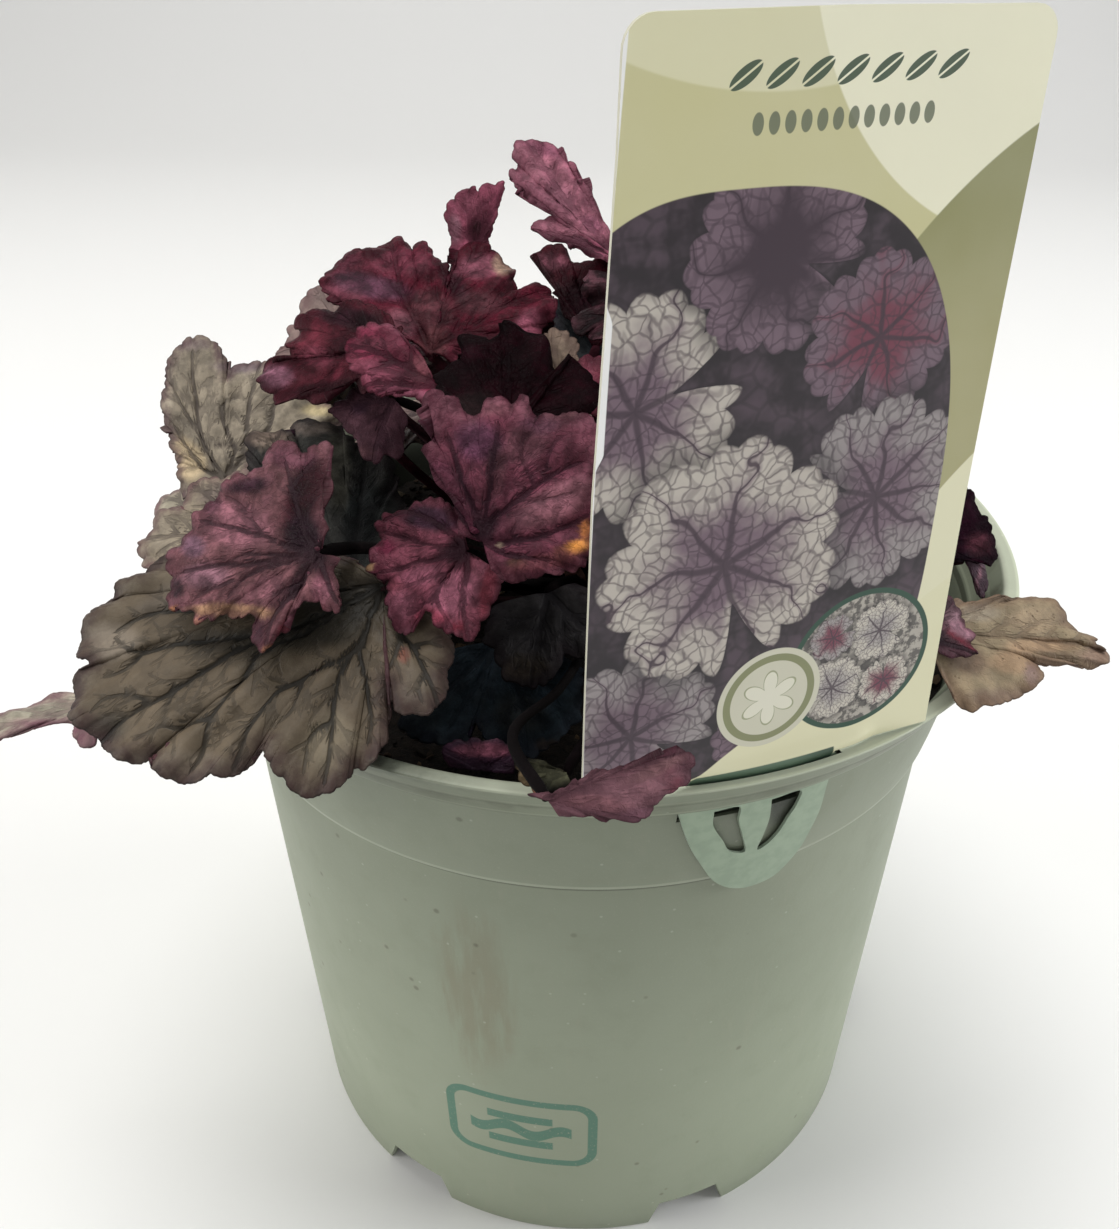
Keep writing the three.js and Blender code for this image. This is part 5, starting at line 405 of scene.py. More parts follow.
     '-52.9,7.9,160.4,0.07 -58.4,13,160.3,0.19 -62.8,18.4,160.4,0.36 -65.2,24.1,160.9,0.54 -63.2,27.6,162.1,0.58 -58.4,27.6,163.3,0.49 -53.2,25.7,164.1,0.37 -47.8,21.6,164.5,0.23 -42.8,15.7,164.3,0.11 -39.4,8.6,163.4,0.04',
     '-11,3.9,128.7 -17.9,5.3,134.8 -25,5.2,140.6 -31.9,4.3,146.7 -38.1,3.2,153.5 -43.4,2,161'),
]
# how each kind looks: upper colour, vein colour, margin colour, under colour (sRGB), vein strength, margin strength, shine
KINDS = {
    "silver": ((152, 144, 126), (44, 46, 44), (92, 70, 74), (110, 74, 84), 0.97, 0.85, 0.50),
    "silver2": ((164, 154, 130), (70, 62, 56), (104, 78, 80), (122, 84, 92), 0.85, 0.8, 0.55),
    "pale": ((162, 154, 134), (80, 72, 68), (118, 88, 92), (132, 96, 100), 0.75, 0.8, 0.55),
    "pale2": ((148, 146, 128), (100, 98, 88), (120, 100, 98), (126, 100, 100), 0.5, 0.5, 0.55),
    "palepink": ((176, 160, 146), (132, 96, 102), (140, 88, 104), (142, 98, 110), 0.5, 0.7, 0.5),
    "purple": ((124, 70, 84), (50, 26, 38), (92, 44, 58), (98, 48, 66), 0.9, 0.6, 0.45),
    "purple_top": ((120, 60, 74), (60, 28, 40), (84, 38, 52), (98, 46, 64), 0.5, 0.6, 0.45),
    "purple_back": ((126, 66, 88), (78, 38, 54), (88, 40, 58), (128, 62, 88), 0.5, 0.5, 0.45),
    "purple_lit": ((140, 78, 98), (86, 42, 58), (94, 42, 60), (110, 52, 72), 0.6, 0.6, 0.45),
    "pink": ((146, 82, 102), (58, 28, 42), (102, 46, 64), (110, 52, 70), 0.85, 0.6, 0.45),
    "rimpink": ((140, 92, 102), (92, 56, 68), (108, 62, 74), (122, 70, 84), 0.35, 0.5, 0.55),
    "maroon": ((92, 42, 54), (52, 24, 34), (66, 28, 38), (84, 36, 50), 0.5, 0.5, 0.42),
    "maroon2": ((84, 42, 54), (48, 24, 34), (60, 28, 38), (84, 38, 52), 0.5, 0.5, 0.42),
    "brown": ((88, 62, 62), (54, 36, 40), (70, 44, 46), (84, 52, 60), 0.5, 0.5, 0.5),
    "tan": ((168, 142, 116), (112, 84, 70), (140, 100, 84), (136, 104, 92), 0.5, 0.6, 0.6),
    "tan_dark": ((118, 106, 88), (80, 68, 58), (96, 78, 68), (104, 84, 76), 0.5, 0.5, 0.6),
    # dark and olive: leaves deep inside the clump, partly their own dark green and olive, partly painted shade
    "dark": ((66, 66, 56), (38, 38, 34), (56, 46, 44), (70, 48, 54), 0.6, 0.5, 0.5),
    "olive": ((90, 80, 64), (52, 44, 38), (74, 54, 48), (80, 58, 58), 0.6, 0.6, 0.5),
}
LEVEL = 1.0
PUFF = {"silver": 0.42, "silver2": 0.4, "pale": 0.4, "tan": 0.3, "purple": 0.7, "pink": 0.7, "purple_top": 0.75, "purple_lit": 0.6}
# painted places: the leaves' own marks (dry orange tips, spots, red folds) with painted shade in hollows, folds and
# under overlapping leaves, and painted highlights on lit lobes: leaf number, list of (view x, view y, radius x, radius
# y, turn in degrees, colour, strength)
PAINT = {
    1: [
        (318, 622, 85, 30, -22, (56, 56, 48), 0.75),
        (225, 640, 62, 16, -5, (64, 62, 54), 0.6),
        (100, 730, 32, 18, -20, (76, 78, 74), 0.65),
        (390, 742, 18, 38, 15, (116, 102, 90), 0.5),
        (404, 655, 7, 10, 10, (122, 70, 58), 0.75),
        (112, 640, 30, 20, 0, (146, 136, 124), 0.45),
        (330, 745, 30, 36, 10, (140, 130, 110), 0.45),
        (190, 765, 70, 16, 5, (126, 116, 104), 0.4),
        (420, 690, 24, 26, 0, (120, 110, 98), 0.4),
        (170, 600, 40, 14, -20, (104, 96, 88), 0.4),
    ],
    3: [
        (306, 494, 21, 44, 28, (58, 18, 30), 0.97),
        (303, 535, 23, 25, 0, (44, 24, 40), 0.97),
        (326, 556, 18, 22, 0, (34, 20, 28), 0.85),
        (246, 486, 29, 10, -8, (62, 36, 56), 0.85),
        (212, 506, 14, 10, -20, (48, 28, 48), 0.9),
        (192, 546, 13, 13, 0, (98, 76, 94), 0.6),
        (232, 612, 46, 8, 3, (180, 142, 106), 0.9),
        (173, 611, 9, 6, 0, (216, 148, 92), 0.95),
        (197, 627, 9, 10, 0, (202, 142, 116), 0.85),
        (270, 651, 9, 7, 0, (208, 146, 98), 0.95),
        (175, 588, 9, 13, 0, (54, 38, 50), 0.9),
        (284, 592, 22, 12, -35, (62, 32, 44), 0.7),
        (256, 632, 9, 20, 0, (66, 44, 64), 0.75),
        (312, 611, 17, 9, -15, (84, 26, 36), 0.9),
        (284, 630, 8, 16, 30, (90, 28, 40), 0.85),
        (300, 577, 9, 26, 25, (46, 24, 34), 0.85),
        (292, 456, 26, 13, 0, (92, 52, 70), 0.5),
        (235, 525, 42, 24, 10, (150, 98, 112), 0.45),
        (262, 588, 26, 11, -30, (158, 104, 116), 0.5),
        (322, 588, 13, 20, 10, (142, 88, 104), 0.6),
        (205, 575, 26, 16, 0, (146, 108, 124), 0.45),
    ],
    11: [
        (482, 528, 22, 13, -20, (34, 20, 24), 0.9),
        (478, 442, 28, 22, 0, (86, 56, 82), 0.5),
        (540, 424, 22, 12, 0, (98, 66, 86), 0.4),
        (592, 482, 7, 28, 0, (78, 36, 48), 0.85),
        (578, 547, 17, 8, -18, (236, 158, 78), 0.97),
        (586, 529, 7, 12, 0, (220, 140, 78), 0.85),
        (517, 563, 13, 6, 0, (80, 54, 42), 0.85),
        (562, 553, 9, 8, 0, (116, 70, 56), 0.7),
        (500, 545, 5, 2.6, -15, (230, 204, 176), 0.97),
        (552, 505, 46, 20, -28, (140, 96, 106), 0.5),
        (562, 410, 24, 9, 0, (106, 86, 80), 0.55),
        (440, 478, 28, 20, 30, (124, 68, 90), 0.45),
        (488, 408, 34, 9, 0, (128, 84, 92), 0.45),
        (545, 562, 46, 9, -12, (138, 80, 86), 0.55),
        (462, 505, 14, 26, -15, (112, 62, 80), 0.4),
        (496, 470, 12, 30, 0, (84, 58, 62), 0.4),
        (525, 445, 24, 20, 0, (116, 80, 88), 0.35),
    ],
    12: [
        (432, 519, 38, 14, 8, (60, 42, 62), 0.85),
        (468, 508, 22, 14, 0, (40, 16, 24), 0.95),
        (462, 549, 26, 15, -20, (36, 18, 28), 0.9),
        (385, 547, 11, 8, 0, (96, 36, 56), 0.9),
        (396, 587, 10, 9, 0, (104, 54, 64), 0.8),
        (368, 567, 7, 5, 0, (228, 192, 140), 0.97),
        (430, 617, 20, 8, 0, (140, 58, 76), 0.65),
        (458, 627, 9, 6, 0, (90, 28, 40), 0.9),
        (488, 590, 8, 32, 12, (120, 52, 64), 0.85),
        (452, 592, 30, 22, -30, (162, 98, 118), 0.6),
        (400, 606, 16, 20, 0, (136, 84, 100), 0.45),
        (420, 575, 26, 12, -10, (146, 88, 106), 0.45),
    ],
    8: [
        (342, 292, 24, 8, 10, (150, 86, 104), 0.65),
        (372, 286, 50, 13, 12, (80, 58, 74), 0.6),
        (398, 262, 44, 16, 0, (112, 60, 74), 0.5),
        (430, 312, 26, 24, 30, (88, 60, 64), 0.5),
        (452, 280, 11, 26, -35, (70, 32, 46), 0.85),
        (478, 266, 28, 14, 0, (142, 86, 102), 0.65),
        (503, 264, 12, 12, 0, (176, 150, 130), 0.85),
        (511, 282, 5, 14, 0, (56, 42, 44), 0.8),
        (480, 302, 30, 13, 0, (96, 66, 72), 0.4),
        (530, 332, 20, 24, 20, (150, 84, 104), 0.75),
        (430, 345, 18, 26, 30, (96, 66, 66), 0.5),
        (402, 322, 20, 13, 40, (136, 88, 100), 0.55),
        (345, 262, 20, 10, -20, (92, 52, 66), 0.5),
    ],
    9: [
        (352, 318, 40, 12, 10, (52, 26, 38), 0.92),
        (305, 338, 26, 18, 0, (98, 40, 52), 0.7),
        (318, 356, 18, 11, 20, (126, 62, 78), 0.55),
        (276, 376, 19, 15, 0, (140, 94, 112), 0.9),
        (322, 388, 40, 8, -10, (54, 18, 28), 0.95),
        (350, 345, 22, 12, 0, (76, 36, 48), 0.6),
    ],
    10: [
        (376, 344, 26, 9, 0, (96, 50, 62), 0.75),
        (385, 376, 40, 16, 10, (146, 82, 100), 0.6),
        (400, 393, 34, 7, 5, (166, 98, 120), 0.75),
        (352, 366, 10, 16, 0, (130, 70, 84), 0.5),
        (420, 370, 16, 20, 10, (104, 66, 70), 0.6),
    ],
    4: [
        (240, 367, 32, 8, 0, (104, 90, 96), 0.85),
        (190, 344, 26, 7, 0, (140, 124, 124), 0.6),
        (186, 460, 18, 26, -30, (202, 180, 144), 0.75),
        (322, 409, 26, 8, 0, (180, 164, 124), 0.85),
        (226, 444, 20, 2.8, 5, (56, 38, 36), 0.85),
        (166, 400, 8, 30, 0, (176, 164, 146), 0.4),
        (300, 398, 12, 12, 0, (112, 104, 92), 0.5),
    ],
    5: [
        (362, 520, 26, 52, 0, (30, 34, 34), 0.85),
        (338, 470, 13, 44, 0, (74, 72, 62), 0.6),
        (268, 438, 26, 10, 0, (110, 96, 86), 0.7),
        (312, 428, 28, 7, 0, (88, 78, 72), 0.6),
        (395, 490, 14, 34, 0, (30, 32, 32), 0.7),
    ],
    6: [
        (216, 494, 26, 12, -20, (100, 86, 84), 0.65),
        (160, 532, 20, 20, 0, (156, 146, 130), 0.4),
    ],
    26: [
        (1032, 620, 32, 15, 0, (178, 154, 128), 0.35),
        (1012, 662, 30, 14, 0, (172, 134, 104), 0.4),
        (966, 660, 26, 18, 30, (110, 88, 76), 0.7),
        (992, 696, 30, 9, 0, (128, 112, 100), 0.55),
        (1032, 675, 9, 13, 0, (140, 116, 118), 0.65),
        (1096, 655, 18, 8, 0, (176, 148, 134), 0.55),
        (978, 613, 24, 10, 0, (166, 156, 140), 0.55),
        (1040, 645, 40, 8, 0, (192, 156, 124), 0.5),
    ],
    27: [
        (953, 610, 12, 13, 0, (148, 116, 126), 0.7),
        (964, 641, 21, 4.5, 35, (136, 52, 68), 0.92),
        (962, 631, 18, 7, 35, (168, 126, 140), 0.75),
    ],
    14: [
        (454, 230, 9, 18, 0, (102, 82, 90), 0.65),
        (478, 232, 14, 16, 0, (56, 22, 32), 0.97),
        (468, 204, 20, 13, 0, (136, 80, 96), 0.45),
    ],
    15: [
        (583, 246, 36, 12, 8, (52, 20, 34), 0.98),
        (545, 149, 22, 7, 15, (100, 56, 74), 0.75),
        (552, 197, 24, 16, 20, (156, 100, 118), 0.5),
        (592, 224, 13, 8, 30, (148, 90, 114), 0.6),
        (520, 178, 12, 7, 0, (108, 60, 76), 0.5),
        (548, 238, 14, 3, 5, (52, 24, 34), 0.8),
    ],
    16: [
        (542, 262, 28, 9, 0, (108, 64, 76), 0.85),
        (585, 300, 40, 26, 0, (34, 18, 28), 0.7),
    ],
    18: [
        (588, 372, 13, 13, 0, (108, 56, 68), 0.65),
        (562, 396, 28, 9, 0, (84, 50, 56), 0.5),
    ],
    46: [
        (464, 352, 18, 10, 0, (58, 20, 34), 0.6),
        (470, 405, 26, 14, 0, (50, 40, 40), 0.5),
    ],
    21: [
        (480, 750, 32, 8, 0, (140, 80, 98), 0.85),
        (482, 767, 36, 6, 0, (48, 32, 50), 0.85),
    ],
    22: [
        (524, 782, 11, 17, -38, (190, 164, 124), 0.85),
        (538, 794, 16, 3.5, 20, (192, 128, 108), 0.75),
        (556, 770, 32, 17, 6, (92, 92, 72), 0.9),
    ],
    23: [
        (662, 743, 26, 7, 8, (46, 38, 40), 0.95),
        (676, 786, 8, 24, -30, (148, 76, 90), 0.65),
        (640, 786, 44, 18, -18, (158, 112, 122), 0.6),
        (590, 802, 50, 9, 6, (150, 100, 106), 0.45),
        (655, 770, 34, 6, -25, (170, 128, 128), 0.5),
        (640, 815, 20, 8, -10, (132, 92, 108), 0.5),
    ],
    13: [
        (360, 408, 11, 8, 0, (52, 34, 48), 0.65),
        (362, 436, 5, 4, 0, (26, 16, 20), 0.75),
        (366, 452, 14, 6, 0, (80, 54, 56), 0.5),
    ],
    24: [
        (979, 545, 15, 14, 0, (82, 46, 54), 0.55),
        (962, 560, 10, 8, 0, (30, 26, 34), 0.8),
    ],
    25: [
        (978, 580, 3, 18, 15, (150, 108, 120), 0.85),
    ],
    2: [
        (60, 728, 50, 7, 8, (120, 72, 90), 0.7),
        (88, 740, 14, 7, 0, (108, 58, 78), 0.7),
        (40, 700, 40, 6, -14, (176, 160, 146), 0.5),
    ],
    20: [
        (520, 715, 30, 22, 0, (36, 34, 28), 0.5),
        (548, 745, 16, 5, -8, (62, 48, 36), 0.6),
    ],
    19: [
        (525, 668, 26, 14, 0, (56, 48, 38), 0.6),
    ],
}
# each leaf's own darkness of colour, together with painted shade and light for where it sits in the clump (near black
# for leaves in the deep hollows), and the same for its painted places
TINTS = {
    1: ((0.40, 0.35, 0.32), 0.97),
    2: ((0.74, 0.84, 0.80), 1.03),
    3: ((0.77, 1.07, 0.85), 1.12),
    4: ((0.74, 0.72, 0.79), 1.09),
    5: ((0.66, 0.65, 0.82), 1.82),
    6: ((0.71, 0.66, 0.66), 0.96),
    7: ((1.02, 1.02, 1.06), 1.15),
    8: ((0.34, 0.12, 0.20), 0.87),
    9: ((0.53, 0.39, 0.42), 0.87),
    10: ((0.49, 0.25, 0.33), 0.97),
    11: ((0.50, 0.44, 0.49), 0.92),
    12: ((0.50, 0.47, 0.45), 1.26),
    13: ((0.73, 0.64, 0.86), 2.22),
    14: ((1.43, 1.40, 1.27), 1.71),
    15: ((1.29, 1.60, 1.40), 1.47),
    16: ((0.34, 0.20, 0.24), 1.20),
    17: ((1.80, 1.70, 1.90), 2.22),
    18: ((2.10, 2.10, 2.10), 2.22),
    19: ((0.17, 0.20, 0.33), 2.22),
    20: ((0.22, 0.33, 0.59), 2.22),
    21: ((0.15, 0.21, 0.26), 1.12),
    22: ((0.10, 0.10, 0.10), 0.87),
    23: ((0.65, 0.76, 0.74), 1.03),
    24: ((0.14, 0.10, 0.18), 0.87),
    25: ((0.54, 1.21, 0.92), 1.28),
    26: ((0.62, 0.71, 0.70), 0.87),
    27: ((0.31, 0.49, 0.40), 0.87),
    28: ((0.84, 0.61, 0.73), 1.25),
    29: ((0.69, 0.77, 1.13), 2.22),
    33: ((0.40, 0.30, 0.40), 1.40),
    41: ((0.08, 0.06, 0.07), 1.00),
    46: ((0.07, 0.03, 0.05), 1.20),
}
# veins that show, from the junction outwards: leaf number -> list of (rank, view points); rank 0 main, 1 side, 2 twig
TRACED = {
    1: [
        (0, [(383, 583), (372, 610), (362, 640), (346, 662), (336, 690), (333, 712), (331, 735), (329, 757), (325, 782)]),
        (1, [(332, 722), (318, 729), (308, 739), (306, 756), (303, 774)]),
        (2, [(331, 745), (338, 752), (342, 764)]),
        (0, [(383, 583), (368, 630), (361, 655), (366, 680), (369, 702), (372, 722), (368, 742)]),
        (2, [(372, 722), (382, 721), (390, 728)]),
        (0, [(383, 583), (360, 642), (342, 660), (318, 670), (300, 681), (280, 692), (267, 706), (247, 733), (242, 748), (233, 768)]),
        (1, [(301, 683), (298, 700), (292, 714), (282, 723)]),
        (2, [(247, 733), (238, 745), (226, 752)]),
        (2, [(242, 748), (244, 760), (242, 772)]),
        (0, [(383, 583), (340, 612), (300, 635), (258, 657), (244, 678), (228, 700), (213, 720), (205, 742), (199, 757), (188, 770)]),
        (1, [(213, 720), (192, 724), (177, 728), (165, 727), (150, 735), (136, 743)]),
        (2, [(177, 728), (175, 742), (179, 753)]),
        (1, [(172, 690), (167, 705), (166, 726)]),
        (0, [(383, 583), (300, 625), (240, 650), (215, 665), (190, 680), (170, 692), (150, 702), (130, 715), (112, 729), (98, 742)]),
        (1, [(152, 701), (136, 698), (119, 695), (106, 700), (97, 712)]),
        (2, [(130, 715), (118, 712), (108, 716)]),
        (0, [(383, 583), (290, 630), (230, 640), (200, 643), (170, 646), (142, 652), (126, 648), (117, 639)]),
        (1, [(142, 652), (132, 665), (118, 672), (104, 676)]),
        (2, [(126, 648), (106, 650), (88, 648)]),
        (2, [(170, 646), (162, 632), (155, 622)]),
        (0, [(383, 583), (250, 608), (170, 613), (145, 617), (128, 622), (115, 630)]),
        (0, [(383, 583), (394, 610), (404, 638), (415, 651), (424, 671), (433, 690), (437, 704)]),
        (1, [(413, 647), (428, 643), (441, 648)]),
        (1, [(424, 671), (419, 688), (422, 702)]),
        (1, [(398, 625), (400, 642), (394, 662), (387, 680), (386, 700), (391, 716)]),
    ],
    4: [
        (0, [(224, 478), (215, 465), (205, 448), (200, 430), (197, 414), (195, 395), (193, 378), (191, 350)]),
        (1, [(201, 438), (190, 420), (180, 403), (173, 388), (170, 374), (175, 360)]),
        (2, [(195, 392), (205, 383), (213, 377)]),
        (2, [(173, 388), (166, 376), (164, 366)]),
        (0, [(224, 478), (240, 462), (246, 440), (248, 420), (251, 402), (256, 385), (259, 368)]),
        (2, [(251, 402), (244, 398), (240, 390)]),
        (0, [(224, 478), (236, 452), (231, 440), (224, 423), (222, 410), (228, 402), (238, 398)]),
        (0, [(224, 478), (262, 440), (272, 420), (274, 407), (281, 398)]),
        (0, [(224, 478), (203, 468), (190, 452), (181, 438), (175, 426)]),
        (2, [(197, 414), (208, 400), (212, 388)]),
    ],
    3: [
        (0, [(317, 552), (295, 558), (272, 562), (245, 566), (222, 566), (200, 570), (184, 572)]),
        (0, [(317, 552), (290, 561), (262, 570), (247, 578), (239, 586), (231, 598)]),
        (1, [(236, 580), (222, 587), (209, 591), (196, 599)]),
        (0, [(317, 552), (307, 574), (297, 591), (281, 607), (272, 624), (267, 646)]),
        (1, [(301, 584), (286, 590), (271, 595), (262, 604)]),
        (0, [(317, 552), (290, 556), (268, 556), (250, 554), (240, 559), (222, 568)]),
        (0, [(317, 552), (303, 530), (297, 508), (292, 486), (286, 464)]),
        (1, [(293, 490), (301, 474), (312, 460)]),
        (0, [(317, 552), (285, 545), (265, 537), (240, 530), (220, 526), (204, 522)]),
        (1, [(265, 537), (250, 518), (240, 505), (228, 498)]),
        (0, [(317, 552), (325, 575), (330, 590), (336, 601)]),
        (2, [(240, 530), (222, 540), (205, 545), (190, 550)]),
    ],
    11: [
        (0, [(482, 540), (489, 525), (499, 514), (513, 504), (526, 494), (536, 486), (546, 479), (562, 471), (580, 462)]),
        (1, [(547, 478), (547, 465), (551, 452), (558, 440)]),
        (1, [(520, 499), (536, 501), (553, 499), (569, 496)]),
        (0, [(482, 540), (484, 518), (488, 500), (490, 480), (492, 464), (495, 447), (498, 428)]),
        (2, [(490, 480), (500, 466), (508, 458)]),
        (0, [(482, 540), (476, 515), (468, 495), (462, 480), (458, 466), (453, 452), (449, 438)]),
        (2, [(462, 480), (450, 474), (440, 466)]),
        (0, [(482, 540), (498, 542), (515, 541), (540, 538), (556, 530), (571, 524), (586, 514)]),
        (2, [(498, 512), (504, 496), (507, 482)]),
        (0, [(482, 540), (500, 551), (522, 558), (550, 560)]),
        (0, [(482, 540), (470, 528), (460, 512), (448, 500)]),
        (1, [(536, 486), (526, 470), (520, 452), (524, 436)]),
    ],
    12: [
        (0, [(466, 551), (450, 556), (435, 560), (420, 563), (405, 568), (382, 573)]),
        (0, [(466, 551), (458, 565), (450, 575), (442, 586), (436, 597), (424, 604), (410, 614)]),
        (1, [(436, 597), (441, 611), (452, 626)]),
        (0, [(466, 551), (458, 539), (440, 526), (424, 517), (405, 513), (386, 520)]),
        (0, [(466, 551), (445, 549), (430, 545), (415, 541), (398, 536), (384, 532)]),
        (0, [(466, 551), (468, 575), (463, 596), (466, 616), (470, 638)]),
        (1, [(450, 575), (432, 578), (415, 584), (398, 590)]),
        (2, [(436, 597), (420, 596), (404, 600)]),
    ],
    20: [
        (0, [(500, 640), (514, 680), (522, 702), (524, 730), (526, 752)]),
        (0, [(500, 640), (470, 670), (446, 690), (420, 700)]),
        (0, [(500, 640), (480, 680), (462, 705), (450, 728)]),
        (0, [(500, 640), (540, 680), (556, 700), (566, 728)]),
        (1, [(522, 702), (508, 712), (498, 730)]),
        (1, [(522, 702), (536, 712), (544, 734)]),
    ],
}
